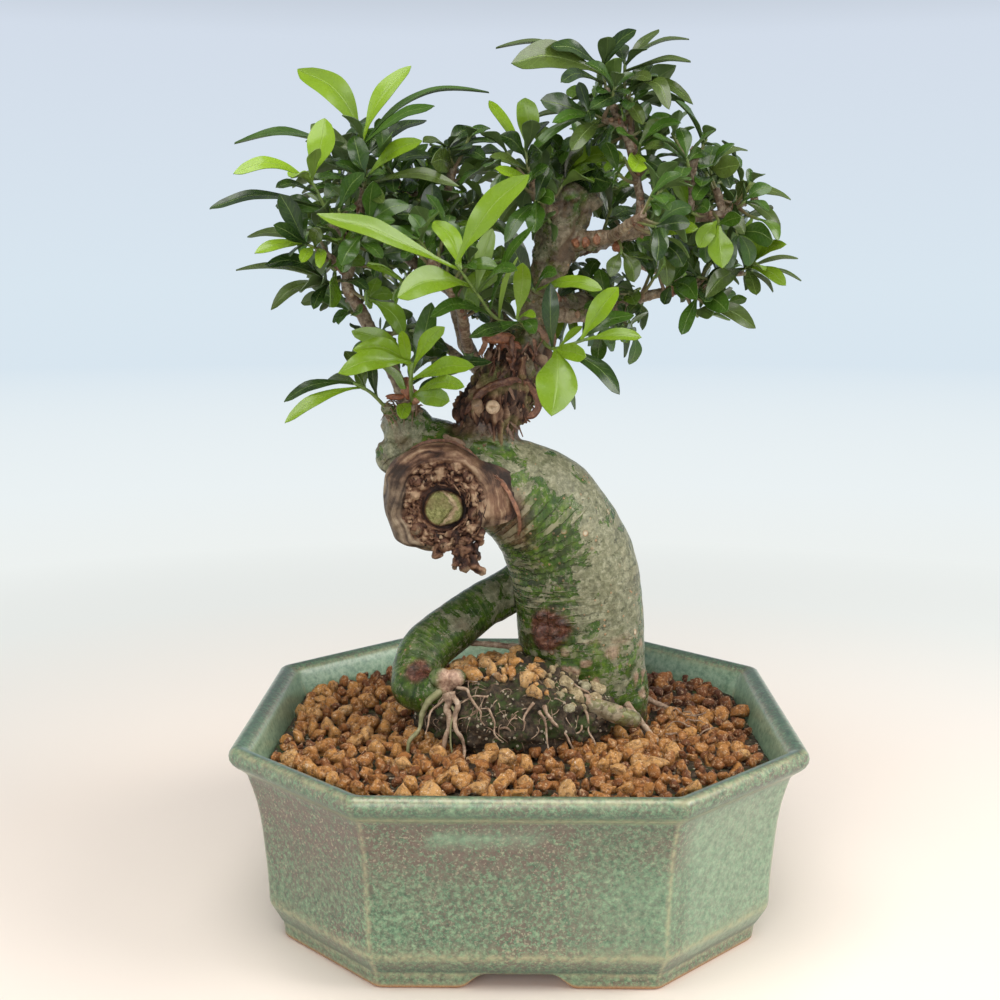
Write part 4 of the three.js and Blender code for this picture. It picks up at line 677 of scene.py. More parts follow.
def glaze(gloss):
    """Green glaze: purple-brown and tan flecks, brown above, cream on edges, dark where it pools and in
    painted shade under the foot ledge, a lighter green where light is painted on the inner wall and the right
    face.
    """
    look = Finish("Mottled green glaze", Specular_IOR_Level=0.5, Coat_Weight=gloss, Coat_Roughness=0.15)
    fine = look.noise(0.8, 4, 0.6)
    large = look.noise(30, 3)
    green = look.ramp(
        look.noise(1.9, 5, 0.7), (0.32, (0.035, 0.075, 0.045)), (0.45, (0.095, 0.185, 0.105)),
        (0.56, (0.175, 0.3, 0.17)), (0.7, (0.3, 0.42, 0.25)),
    )
    patch = look.ramp(large, (0.34, 0.0), (0.62, 1.0))
    brown = look.value("brown")
    heavy = look.sum("MAXIMUM", look.sum("MULTIPLY", patch, 0.85), brown)
    flecks = look.ramp(look.noise(1.4, 4, 0.65, bend=0.5), (0.47, 0.0), (0.54, 1.0))
    flecks = look.sum("MULTIPLY", flecks, look.sum("MULTIPLY_ADD", heavy, 0.6, 0.35))
    colour = look.mix(flecks, green, (0.13, 0.085, 0.07))
    veil = look.ramp(look.noise(4, 5, 0.7), (0.36, 0.0), (0.6, 1.0))
    veil = look.sum("MULTIPLY", look.sum("MULTIPLY", veil, brown), 0.95)
    colour = look.mix(veil, colour, look.mix(fine, (0.1, 0.065, 0.055), (0.21, 0.155, 0.12)))
    tan = look.ramp(look.noise(1.1, 3, 0.6, bend=0.3), (0.58, 0.0), (0.64, 1.0))
    tan = look.sum("MULTIPLY", tan, look.sum("MULTIPLY_ADD", heavy, 0.5, 0.2))
    colour = look.mix(tan, colour, (0.42, 0.37, 0.25))
    # Partly painted light: the light mark makes the inner wall and the right face a lighter green; it also
    # lightens the smear under the rim, which is paler glaze, and a patch low on the front to the right.
    light = look.ramp(look.noise(2.6, 5, 0.7), (0.36, (0.15, 0.27, 0.17)), (0.6, (0.36, 0.5, 0.33)))
    colour = look.mix(look.value("light"), colour, light)
    # Dark where the glaze pools; under the foot ledge this dark band is painted shade.
    pool_and_ledge_shade = look.sum("MULTIPLY", look.value("pool_and_ledge_shade"), look.ramp(fine, (0.3, 0.55), (0.65, 1.0)))
    colour = look.mix(pool_and_ledge_shade, colour, (0.025, 0.075, 0.05))
    worn = look.ramp(look.noise(2.4, 3), (0.35, 0.25), (0.6, 1.0))
    edge = look.sum("MULTIPLY", look.value("edge"), worn)
    colour = look.mix(edge, colour, (0.44, 0.41, 0.24))
    clay = look.ramp(fine, (0.3, (0.36, 0.17, 0.07)), (0.7, (0.56, 0.33, 0.17)))
    colour = look.mix(look.value("bare"), colour, clay)
    rough = look.ramp(look.value("bare"), (0.0, 0.3), (1.0, 0.8))
    relief = look.bump(look.noise(14, 2), 0.5, 0.6)
    return look.made(colour, rough, look.bump(fine, 0.08, 0.5, relief))


def granule():
    """Fired clay granules: orange-tan to red-brown, each with its own tone, rough, with pale specks."""
    look = Finish("Clay granules", Specular_IOR_Level=0.5)
    tone = look.value("grain_tone")
    colour = look.ramp(
        tone, (0.0, (0.1, 0.028, 0.007)), (0.25, (0.23, 0.072, 0.014)), (0.5, (0.42, 0.16, 0.03)),
        (0.78, (0.6, 0.28, 0.068)), (1.0, (0.75, 0.46, 0.19)),
    )
    mottle = look.noise(1.8, 5, 0.7)
    colour = look.mix(look.ramp(mottle, (0.38, 0.75), (0.5, 0.0)), colour, (0.11, 0.034, 0.01))
    dust = look.ramp(look.noise(1.3, 4, 0.7), (0.54, 0.0), (0.64, 0.7))
    colour = look.mix(dust, colour, (0.8, 0.56, 0.33))
    beige = look.ramp(mottle, (0.35, (0.2, 0.17, 0.08)), (0.6, (0.52, 0.46, 0.29)))
    colour = look.mix(look.value("aged"), colour, beige)
    specks = look.ramp(look.noise(0.9, 3, 0.6, bend=0.4), (0.64, 0.0), (0.68, 0.85))
    specks = look.sum("MULTIPLY", specks, look.ramp(tone, (0.45, 0.0), (0.7, 1.0)))
    colour = look.mix(specks, colour, (0.85, 0.78, 0.68))
    rough = look.ramp(look.noise(3, 2), (0.35, 0.4), (0.65, 0.85))
    relief = look.bump(mottle, 1.3, 1.0)
    return look.made(colour, rough, look.bump(look.noise(0.7, 4, 0.7), 0.4, 1.0, relief))


def old_soil():
    """Black-brown soil of the old root ball with green moss in patches."""
    look = Finish("Old soil and moss", Specular_IOR_Level=0.35)
    colour = look.ramp(
        look.noise(2.2, 5, 0.7), (0.3, (0.012, 0.009, 0.006)), (0.5, (0.045, 0.03, 0.018)),
        (0.72, (0.15, 0.1, 0.055)),
    )
    moss = look.ramp(look.noise(7, 4, 0.7), (0.5, 0.0), (0.6, 0.85))
    colour = look.mix(moss, colour, (0.045, 0.07, 0.014))
    stones = look.ramp(look.cells(2.6), (0.2, 1.0), (0.26, 0.0))
    stones = look.sum("MULTIPLY", stones, look.ramp(look.noise(8, 3), (0.44, 0.0), (0.52, 1.0)))
    colour = look.mix(stones, colour, (0.5, 0.42, 0.3))
    relief = look.bump(look.noise(1.4, 4, 0.7), 0.8, 1.0)
    return look.made(colour, 0.8, look.bump(stones, 0.5, 0.8, relief))


def bark(gloss):
    """Smooth old bark: green under a thin grey-tan film, wrinkled across the limb, with pores and flecks,
    and with painted shade in the troughs of the wrinkles and painted light on their crests.
    """
    look = Finish("Bark", Specular_IOR_Level=gloss)
    fold, film_share = look.value("fold"), look.value("film")
    wrinkle = look.noise(1.4, 4, 0.6, place=look.wound(0.12))
    broad = look.noise(11, 7, 0.66, bend=0.6)
    broad = look.sum("MULTIPLY_ADD", look.sum("SUBTRACT", film_share, 0.5), 0.24, broad)
    folded = look.sum("MULTIPLY", look.sum("SUBTRACT", wrinkle, 0.5), fold)
    broad = look.sum("MULTIPLY_ADD", folded, 0.45, broad)
    film = look.ramp(broad, (0.492, 0.0), (0.508, 1.0))
    small = look.noise(2.4, 7, 0.75)
    green = look.ramp(
        look.noise(4, 5, 0.65), (0.3, (0.014, 0.035, 0.004)), (0.5, (0.05, 0.105, 0.01)),
        (0.7, (0.14, 0.22, 0.022)),
    )
    grey = look.ramp(
        look.noise(2.2, 7, 0.75), (0.34, (0.1, 0.098, 0.05)), (0.5, (0.205, 0.2, 0.11)),
        (0.64, (0.38, 0.36, 0.235)),
    )
    flecks = look.ramp(small, (0.56, 0.0), (0.585, 0.85))
    colour = look.mix(look.sum("MAXIMUM", film, flecks), green, grey)
    thin = look.ramp(look.noise(7, 6, 0.7), (0.52, 0.0), (0.6, 0.35))
    colour = look.mix(thin, colour, (0.075, 0.085, 0.02))
    colour = look.mix(look.ramp(small, (0.38, 0.7), (0.42, 0.0)), colour, (0.022, 0.026, 0.007))
    tan = look.ramp(
        look.noise(2, 6, 0.75), (0.34, (0.05, 0.022, 0.012)), (0.5, (0.16, 0.085, 0.05)),
        (0.66, (0.3, 0.2, 0.12)),
    )
    colour = look.mix(look.value("tan"), colour, tan)
    twig = look.ramp(
        look.noise(1.8, 6, 0.75), (0.34, (0.07, 0.035, 0.02)), (0.48, (0.2, 0.125, 0.075)),
        (0.64, (0.46, 0.36, 0.26)),
    )
    colour = look.mix(look.value("twig"), colour, twig)
    # Painted shade in the troughs of the wrinkles and painted light on their crests.
    wrinkle_painted_shade = look.sum("MULTIPLY", fold, look.ramp(wrinkle, (0.38, 0.75), (0.47, 0.0)))
    colour = look.mix(wrinkle_painted_shade, colour, (0.018, 0.016, 0.006))
    wrinkle_painted_light = look.sum("MULTIPLY", fold, look.ramp(wrinkle, (0.53, 0.0), (0.61, 0.75)))
    colour = look.mix(wrinkle_painted_light, colour, (0.34, 0.3, 0.18))
    spots = look.cells(10)
    pores = look.ramp(spots, (0.115, 1.0), (0.14, 0.0))
    pores = look.sum("MAXIMUM", pores, look.ramp(look.cells(3.4), (0.13, 0.9), (0.18, 0.0)))
    pores = look.sum("MULTIPLY", pores, look.value("pore"))
    cork = look.ramp(spots, (0.06, (0.62, 0.52, 0.36)), (0.1, (0.42, 0.24, 0.12)))
    colour = look.mix(pores, colour, cork)
    red = look.ramp(
        small, (0.4, (0.03, 0.006, 0.005)), (0.54, (0.13, 0.035, 0.025)), (0.66, (0.3, 0.14, 0.085)),
    )
    colour = look.mix(look.value("red"), colour, red)
    # The crust mark holds shredded bark and its fissures, and also painted shadow along the collar's torn
    # edge.
    crust = look.ramp(small, (0.35, (0.02, 0.009, 0.005)), (0.65, (0.16, 0.09, 0.05)))
    colour = look.mix(look.value("crust"), colour, crust)
    pale = look.ramp(look.noise(1.2, 4, 0.6), (0.3, (0.26, 0.13, 0.085)), (0.65, (0.58, 0.38, 0.26)))
    colour = look.mix(look.value("cut"), colour, pale)
    dirt = look.ramp(look.sum("MULTIPLY", look.value("dirt"), small), (0.38, 0.0), (0.5, 0.9))
    colour = look.mix(dirt, colour, (0.06, 0.04, 0.022))
    rough = look.ramp(film, (0.0, 0.24), (1.0, 0.42))
    relief = look.bump(film, 0.2, 0.7)
    relief = look.bump(pores, 0.4, 0.8, relief)
    relief = look.bump(look.sum("MULTIPLY", wrinkle, fold), 1.5, 1.0, relief)
    return look.made(colour, rough, look.bump(look.noise(0.9, 5, 0.7), 0.25, 0.8, relief))


def torn_wood():
    """Dead, torn and callused wood: dark with painted shade in the fissures and hollows, tan with painted
    light on the ridges, with pale cut ends and green knobs.
    """
    look = Finish("Torn wood", Specular_IOR_Level=0.35)
    grain = look.noise(1.5, 6, 0.75)
    fibre = look.noise(1.0, 5, 0.7, place=look.wound(0.12))
    # The colour follows the height of the relief: painted shade in the hollows, painted light on what stands
    # out.
    height = look.sum("MULTIPLY_ADD", look.sum("SUBTRACT", grain, 0.5), 0.6, look.value("ridge"))
    height = look.sum("MULTIPLY_ADD", look.sum("SUBTRACT", fibre, 0.5), 1.1, height)
    colour = look.ramp(
        height, (0.1, (0.014, 0.005, 0.003)), (0.35, (0.072, 0.026, 0.013)), (0.6, (0.19, 0.092, 0.048)),
        (0.9, (0.38, 0.245, 0.145)),
    )
    grey = look.ramp(
        height, (0.2, (0.05, 0.032, 0.02)), (0.5, (0.17, 0.12, 0.075)), (0.85, (0.34, 0.27, 0.18)),
    )
    colour = look.mix(look.value("grey"), colour, grey)
    mossy = look.ramp(
        grain, (0.34, (0.05, 0.045, 0.012)), (0.48, (0.17, 0.165, 0.045)), (0.64, (0.36, 0.34, 0.14)),
    )
    worn = look.ramp(look.noise(6, 3), (0.45, 0.0), (0.58, 0.6))
    colour = look.mix(look.value("green"), colour, look.mix(worn, mossy, (0.15, 0.1, 0.04)))
    pale = look.ramp(grain, (0.35, (0.22, 0.12, 0.06)), (0.6, (0.52, 0.38, 0.24)))
    colour = look.mix(look.value("pale"), colour, pale)
    relief = look.bump(look.sum("ADD", grain, fibre), 0.45, 1.0)
    return look.made(colour, 0.58, look.bump(look.noise(0.6, 4), 0.15, 0.8, relief))


def leaf_skin(gloss):
    """Glossy gardenia leaf: tone per leaf, fine midrib and side veins, matt grey-green underside;
    young leaves are brightened with painted light that stands for light shining through them.
    """
    look = Finish("Gardenia leaf", Specular_IOR_Level=0.36, Coat_Weight=gloss, Coat_Roughness=0.12)
    uv = look.add("ShaderNodeUVMap", uv_map="UVMap").outputs[0]
    parts = look.add("ShaderNodeSeparateXYZ", {0: uv})
    across, along = parts.outputs[0], parts.outputs[1]
    off = look.sum("ABSOLUTE", look.sum("SUBTRACT", across, 0.5))
    tone = look.sum("DIVIDE", look.value("tone"), 3.0)
    # The young yellow-green is brightened as painted light, standing for the light that shines through young
    # leaves.
    colour = look.ramp(
        tone, (0.0, (0.011, 0.03, 0.006)), (0.33, (0.04, 0.1, 0.008)), (0.66, (0.25, 0.4, 0.015)),
        (1.0, (0.075, 0.105, 0.02)),
    )
    shade = look.value("shade")
    colour = look.mix(look.sum("MULTIPLY", shade, 0.4), colour, (0.012, 0.026, 0.005))
    patches = look.ramp(look.noise(7, 3), (0.35, 0.0), (0.7, 0.22))
    colour = look.mix(patches, colour, (0.12, 0.22, 0.03))
    slope = look.sum("MULTIPLY_ADD", off, -0.42, along)
    wave = look.sum("SINE", look.sum("MULTIPLY", slope, 58.0))
    vein = look.ramp(wave, (0.86, 0.0), (0.99, 1.0))
    vein = look.sum("MULTIPLY", vein, look.ramp(off, (0.3, 1.0), (0.46, 0.0)))
    colour = look.mix(look.sum("MULTIPLY", vein, 0.12), colour, (0.24, 0.38, 0.07))
    rib = look.ramp(off, (0.008, 1.0), (0.026, 0.0))
    colour = look.mix(look.sum("MULTIPLY", rib, 0.42), colour, (0.34, 0.46, 0.12))
    under = look.value("under")
    colour = look.mix(look.sum("MULTIPLY", under, 0.5), colour, (0.12, 0.17, 0.055))
    rough = look.sum("MULTIPLY_ADD", under, 0.3, look.ramp(look.noise(4, 2), (0.3, 0.2), (0.7, 0.34)))
    relief = look.bump(look.sum("SUBTRACT", 1.0, rib), 0.2, 0.6)
    return look.made(colour, rough, relief)


def green_stem():
    """Young stem: light green, a little ribbed, browner where it starts."""
    look = Finish("Young stem", Specular_IOR_Level=0.5)
    colour = look.ramp(look.noise(2, 3), (0.3, (0.08, 0.15, 0.025)), (0.7, (0.2, 0.3, 0.06)))
    colour = look.mix(look.value("woody"), colour, (0.2, 0.13, 0.075))
    ribs = look.noise(0.8, 3, place=look.drawn_out((1, 1, 0.4)))
    return look.made(colour, 0.45, look.bump(ribs, 0.12, 0.6))


def dry_skin():
    """Dry bark strips, bud scales and withered bits: dark brown, red-brown or tan by their numbers."""
    look = Finish("Dry bark strips", Specular_IOR_Level=0.45)
    grain = look.noise(1.6, 5, 0.7, bend=0.5)
    colour = look.ramp(
        grain, (0.3, (0.022, 0.009, 0.005)), (0.5, (0.08, 0.034, 0.018)), (0.7, (0.22, 0.12, 0.065)),
    )
    warm = look.ramp(
        grain, (0.3, (0.07, 0.015, 0.006)), (0.5, (0.22, 0.058, 0.02)), (0.7, (0.42, 0.15, 0.06)),
    )
    colour = look.mix(look.value("warm"), colour, warm)
    pale = look.ramp(grain, (0.3, (0.34, 0.21, 0.12)), (0.65, (0.62, 0.46, 0.3)))
    colour = look.mix(look.value("pale"), colour, pale)
    return look.made(colour, 0.4, look.bump(look.noise(0.8, 4), 0.25, 0.9))


def root_skin():
    """Fine roots: cream to grey-brown."""
    look = Finish("Fine roots", Specular_IOR_Level=0.4)
    colour = look.ramp(
        look.noise(3, 4, 0.65), (0.3, (0.12, 0.065, 0.04)), (0.5, (0.32, 0.21, 0.135)),
        (0.72, (0.6, 0.46, 0.33)),
    )
    colour = look.mix(look.value("green"), colour, (0.2, 0.25, 0.09))
    return look.made(colour, 0.6, look.bump(look.noise(0.7, 4), 0.2, 0.8))


def net_plastic():
    """Dark plastic of the net over the drain hole."""
    look = Finish("Net plastic", Specular_IOR_Level=0.5)
    colour = look.ramp(look.noise(2, 2), (0.3, (0.012, 0.014, 0.016)), (0.7, (0.03, 0.033, 0.037)))
    return look.made(colour, 0.5, look.bump(look.noise(0.6, 2), 0.05, 0.6))


# Pot: an eight-sided shell of stoneware

RIM_HALF, RIM_CUT, FOOT_HALF, FOOT_CUT = 110, 52, 91, 40
FLOOR_UNDER, FLOOR_TOP, DRAIN_RADIUS = 6, 13, 13
ARCH_HEIGHT, ARCH_FOOT_HALF, ARCH_TOP_HALF = 5.6, 21.5, 12
# Half width and height up the outside, over the rim and down the inside, with the marks of the glaze there:
# cream edge, dark blue-green of pooled glaze (under the foot ledge it is painted shade), brown mottling, bare
# clay
OUTSIDE = [
    [90.6, 0, 0, 0, 0, 1], [91.2, 0.7, 0.5, 0, 0, 1], [91.4, 1.8, 0.35, 0, 0, 0], [91.6, 3.6, 0.1, 0, 0, 0],
    [91.9, 5.6, 0.55, 0, 0, 0], [92.2, 6.4, 0.3, 0.3, 0, 0], [92.8, 7.2, 0, 0.75, 0.1, 0],
    [93.9, 9.2, 0, 0.35, 0.35, 0], [95.5, 12, 0.05, 0, 0.4, 0], [96.4, 13.8, 0.6, 0, 0.15, 0],
    [96.7, 14.8, 0.75, 0, 0.1, 0], [96.9, 16.4, 0.25, 0, 0.2, 0], [97, 20, 0, 0, 0.1, 0],
    [97.2, 26, 0, 0, 0.1, 0], [97.6, 32, 0, 0, 0.1, 0], [98.1, 38, 0, 0, 0.15, 0], [98.6, 44, 0, 0, 0.25, 0],
    [99.3, 50, 0, 0, 0.6, 0], [100.3, 56, 0, 0, 0.95, 0], [101.7, 61.5, 0, 0, 0.8, 0],
    [102.8, 65, 0, 0.1, 0.85, 0], [103.5, 67.2, 0, 0.25, 0.9, 0], [104.6, 68.5, 0.3, 0.2, 0.3, 0],
    [106, 69.6, 0.75, 0, 0, 0], [107.4, 70.6, 0.3, 0.2, 0, 0], [108.8, 72, 0, 0.6, 0, 0],
    [109.7, 73.6, 0, 0.35, 0, 0], [109.9, 75.2, 0.1, 0, 0, 0], [109.6, 76.6, 0.35, 0, 0, 0],
    [108.9, 77.8, 0.75, 0, 0, 0], [107.8, 78.5, 0.35, 0.25, 0, 0], [106.5, 78.6, 0, 0.65, 0, 0],
    [104.9, 78.2, 0, 0.6, 0, 0], [103.4, 77.6, 0.1, 0.3, 0, 0], [102.4, 76.9, 0.5, 0, 0, 0],
    [101.6, 75.8, 0.25, 0.1, 0, 0], [100.8, 73.6, 0, 0.35, 0, 0], [99.5, 70, 0, 0.25, 0, 0],
    [97.8, 64, 0, 0.1, 0, 0], [96, 58, 0, 0, 0, 0.2], [92.5, 38, 0, 0, 0, 0.8], [91, 16, 0, 0, 0, 1],
    [88, 13, 0, 0, 0, 1],
]
# Rows of the hollow under the floor, and the row of OUTSIDE where the inside starts
UNDERSIDE = [[81.2, FLOOR_UNDER - 0.4, 0, 0, 0, 1], [81, 0, 0, 0, 0, 1]]
INSIDE_FROM = 35
# Corners: steps round each, radius outside and under the floor, and the half width that parts the two
CORNER_STEPS, CORNER_ROUND, UNDER_ROUND, UNDER_HALF = 6, 2.6, 1.2, 85
# The cut-out feet: half width of the close points, the height where the cut ends and its widest row
ARCH_POINTS_HALF, ARCH_FADE, ARCH_LAST_HALF = 24.0, 6.4, 92


def cut_at(half):
    """How far the corners of the octagon are cut back where it has this half width."""
    return FOOT_CUT + (half - FOOT_HALF) * (RIM_CUT - FOOT_CUT) / (RIM_HALF - FOOT_HALF)


def pot_ring(half, height, corner_round, arch):
    """One ring of the pot: points round the octagon, and how near each is to an upright edge."""
    short = half - cut_at(half)
    corners = []
    for quarter in range(4):
        turn = np.linalg.matrix_power(np.array([[0, -1], [1, 0]]), quarter)
        corners += [turn @ [half, -short], turn @ [half, short]]
    spots, edges = [], []
    for k in range(8):
        here, before, after = corners[k], corners[k - 1], corners[(k + 1) % 8]
        start = here + unit(before - here) * corner_round
        stop = here + unit(after - here) * corner_round
        for step in range(CORNER_STEPS + 1):
            t = step / CORNER_STEPS
            spots.append((1 - t) ** 2 * start + 2 * t * (1 - t) * here + t * t * stop)
            edges.append(0.8 * max(0.0, 1 - 1.6 * abs(2 * t - 1)))
        run_start, run_stop = stop, after + unit(here - after) * corner_round
        length = np.linalg.norm(run_stop - run_start)
        middle_half = ARCH_POINTS_HALF if k % 2 == 0 else 0.3 * length
        inner = np.concatenate([
            np.linspace(-middle_half, -ARCH_TOP_HALF, 13), [-6, 0, 6],
            np.linspace(ARCH_TOP_HALF, middle_half, 13),
        ])
        outer = np.linspace(-length / 2, -middle_half, 7)[1:-1]
        for offset in np.concatenate([outer, inner, -outer[::-1]]):
            spots.append((run_start + run_stop) / 2 + unit(run_stop - run_start) * offset)
            edges.append(0.0)
    spots, edges = np.array(spots), np.array(edges)
    heights = np.full(len(spots), float(height))
    if arch:
        along = np.minimum(np.abs(spots[:, 0]), np.abs(spots[:, 1]))
        side = np.maximum(np.abs(spots[:, 0]), np.abs(spots[:, 1])) > half - 0.6
        rise = ARCH_HEIGHT * (1 - smooth_step(along, ARCH_TOP_HALF, ARCH_FOOT_HALF))
        sharp = np.clip((ARCH_FOOT_HALF - along) / 2.2, 0, 1) * 0.12
        rise = np.where(along < ARCH_FOOT_HALF, np.maximum(rise, ARCH_HEIGHT * sharp), 0)
        heights = heights + np.where(side, rise * (1 - height / ARCH_FADE), 0)
    return np.column_stack([spots, heights]), edges


def pot_mesh():
    """The pot as one closed skin, with the marks that its glaze and its bare clay follow, and with its
    painted light and shade.
    """
    rings, marks = [], []
    for half, height, cream, pool_and_ledge_shade, brown, bare in UNDERSIDE + OUTSIDE:
        corner = CORNER_ROUND if half > UNDER_HALF else UNDER_ROUND
        points, edges = pot_ring(half, height, corner, height < ARCH_FADE - 0.2 and half < ARCH_LAST_HALF)
        rings.append(points)
        lengthwise = 1 - smooth_step(height, 66, 71)
        cream = np.maximum(cream, edges * (1 - bare) * (0.3 + 0.55 * lengthwise))
        marks.append(np.column_stack([cream, np.tile([pool_and_ledge_shade, brown, bare], (len(points), 1))]))
    count = len(rings[0])
    turn = np.arctan2(rings[0][:, 1], rings[0][:, 0])
    hole = np.column_stack([np.cos(turn), np.sin(turn)]) * DRAIN_RADIUS
    for height in (FLOOR_TOP, FLOOR_UNDER):
        rings.append(np.column_stack([hole, np.full(count, float(height))]))
        marks.append(np.tile([0.0, 0, 0, 1], (count, 1)))
    points = np.vstack(rings)
    marks = np.vstack(marks)
    faces = [tuple(index % len(points) for index in face) for face in ring_faces(len(rings) + 1, count)]
    skin = layers(points, 45, 2, 3)
    shove = np.where((points[:, 2] > 9) & (points[:, 2] < 66), 0.35 * skin, 0.12 * skin)
    outward = points * [1, 1, 0]
    outward /= np.maximum(np.linalg.norm(outward, axis=1), 1)[:, None]
    points = points + outward * shove[:, None] * (points[:, 2] > 1)[:, None]
    x, y, z = points.T
    side = (z > 9) & (z < 68)
    left_face = smooth_step(-x, 58, 66) * smooth_step(-y, 40, 50) * smooth_step(z, 12, 55)
    drips = 0.35 * noise(points, 17, 5)
    brown = marks[:, 2] * (0.85 + 0.5 * noise(points * [1, 1, 0.3], 22, 6))
    brown = brown + 0.8 * left_face * side + drips * side
    front_left = smooth_step(-y, 92, 98) * smooth_step(z, 36, 62) * (1 - smooth_step(x, -5, 40)) * side
    smear = np.exp(-(((z - 62 - 1.5 * noise(points, 25, 7)) / 2.2) ** 2)) * (np.abs(x + 10) < 22) * (y < -95)
    brown = np.clip(brown + 0.45 * front_left - 0.8 * smear, 0, 1)
    # Painted light: the inner wall and the right face get a lighter green, the inner wall less pooling and
    # the right face less brown.
    inside = (z > 58) * (np.arange(len(points)) // count >= len(UNDERSIDE) + INSIDE_FROM)
    painted_light_right_face = smooth_step(x, 56, 64) * smooth_step(-y, 30, 50) * side
    low_right = smooth_step(x, -10, 60) * smooth_step(-y, 92, 98) * smooth_step(58 - z, 0, 20) * side
    light = np.clip(0.85 * inside + 0.5 * painted_light_right_face + 0.3 * low_right + 0.45 * smear, 0, 0.85)
    values = {
        "edge": marks[:, 0], "pool_and_ledge_shade": marks[:, 1] * (1 - 0.8 * inside),
        "brown": brown * (1 - 0.5 * painted_light_right_face), "bare": marks[:, 3], "light": light,
    }
    return mesh_of("pot", points, faces, values)


# Soil: the bed under the granules, the old root ball, and granules scattered by Geometry Nodes

SOIL_EDGE, SOIL_MOUND, SOIL_MOUND_WIDTH, SOIL_FRONT_RISE = 68, 4, 50, 5
BALL_CENTRE, BALL_HALF = np.array([-1, -15, 80]), np.array([39, 31, 20])
# The bed: its half width at the wall, rings from the middle out, points on each, and its foot
BED_HALF, BED_RINGS, BED_SIDES, BED_FOOT_SHARE = 98.5, 38, 160, 0.93
BED_BELOW, BED_INSET = 2.2, 1.0
# Granules: shapes to pick from, broken faces on each, half width of the octagon that holds them
GRAIN_SHAPES, GRAIN_CUTS, GRAINS_WITHIN = 14, 9, 99.6
# Layers on the bed: name, how far under the top they start, wider spacing, smaller grains, and a tone taken
# down as painted shade in the gaps under the upper grains
GRAIN_LAYERS = [("lower_granules", 1.6, 0.9, 0.85, 0.12), ("upper_granules", -0.9, 1.15, 1.0, 0.0)]
# Layers on the root ball in metres: spacing, smallest and largest half width
CROWN_LAYERS = [(0.0056, 0.0024, 0.0046), (0.003, 0.001, 0.0022)]
# Granules to a square metre before the spacing thins them, and a whole turn in radians
GRAIN_DENSITY, FULL_TURN = 90000.0, 6.283


def soil_height(x, y):
    """Height of the soil's top, which rises to the trunk and a little to the front."""
    spread = ((x - 10) ** 2 + (y + 5) ** 2) / (2 * SOIL_MOUND_WIDTH**2)
    return SOIL_EDGE + SOIL_FRONT_RISE * np.maximum(0, -y) / RIM_HALF + SOIL_MOUND * np.exp(-spread)


def in_octagon(x, y, half):
    """Whether points lie inside the octagon of this half width."""
    return (np.abs(x) < half) & (np.abs(y) < half) & (np.abs(x) + np.abs(y) < 2 * half - cut_at(half))


def bed_mesh(name, drop, inset, closed=True):
    """The top of the soil as rings from the middle to the wall, closed below where asked."""
    rings = []
    count = BED_SIDES
    half = BED_HALF - inset
    turn = np.arange(count) * 2 * math.pi / count
    ways = np.column_stack([np.cos(turn), np.sin(turn)])
    straight = half / np.abs(ways).max(axis=1)
    slanted = (2 * half - cut_at(half)) / np.abs(ways).sum(axis=1)
    reach = np.minimum(straight, slanted)
    for share in [0.02, *np.linspace(0.06, 1, BED_RINGS)]:
        spots = ways * (reach * share)[:, None]
        rings.append(np.column_stack([spots, soil_height(spots[:, 0], spots[:, 1]) - drop]))
    points = np.vstack(rings)
    points[:, 2] += 0.9 * layers(points, 6, 2, 9)
    faces = [(a, d, c, b) for a, b, c, d in ring_faces(len(rings), count)]
    faces.append(tuple(range(count)))
    if closed:
        last = (len(rings) - 1) * count
        low = rings[-1] * [BED_FOOT_SHARE, BED_FOOT_SHARE, 0] + [0, 0, FLOOR_TOP + 0.5]
        start = len(points)
        points = np.vstack([points, low])
        for k in range(count):
            after = (k + 1) % count
            faces.append((last + k, start + k, start + after, last + after))
        faces.append(tuple(start + k for k in reversed(range(count))))
    return mesh_of(name, points, faces)


def grain_shapes(count, cuts):
    """A few angular lumps of clay that the scatter picks from: balls with broken faces."""
    shapes = bpy.data.collections.new("Grain shapes")
    for k in range(count):
        points, faces = plain_ball(2)
        random = seeded(500 + k)
        points = points * [1.05 + 0.3 * random(), 0.9 + 0.3 * random(), 0.75 + 0.25 * random()]
        for _ in range(cuts):
            way = unit([random() - 0.5, random() - 0.5, random() - 0.5])
            beyond = np.maximum(points @ way - (0.42 + 0.3 * random()), 0)
            points = points - beyond[:, None] * way
        points = points + 0.1 * wobble(points, 0.45, 70 + 3 * k)
        mesh = mesh_of(f"Grain {k}", points / MM, faces)
        shapes.objects.link(bpy.data.objects.new(f"Grain {k}", mesh))
    return shapes


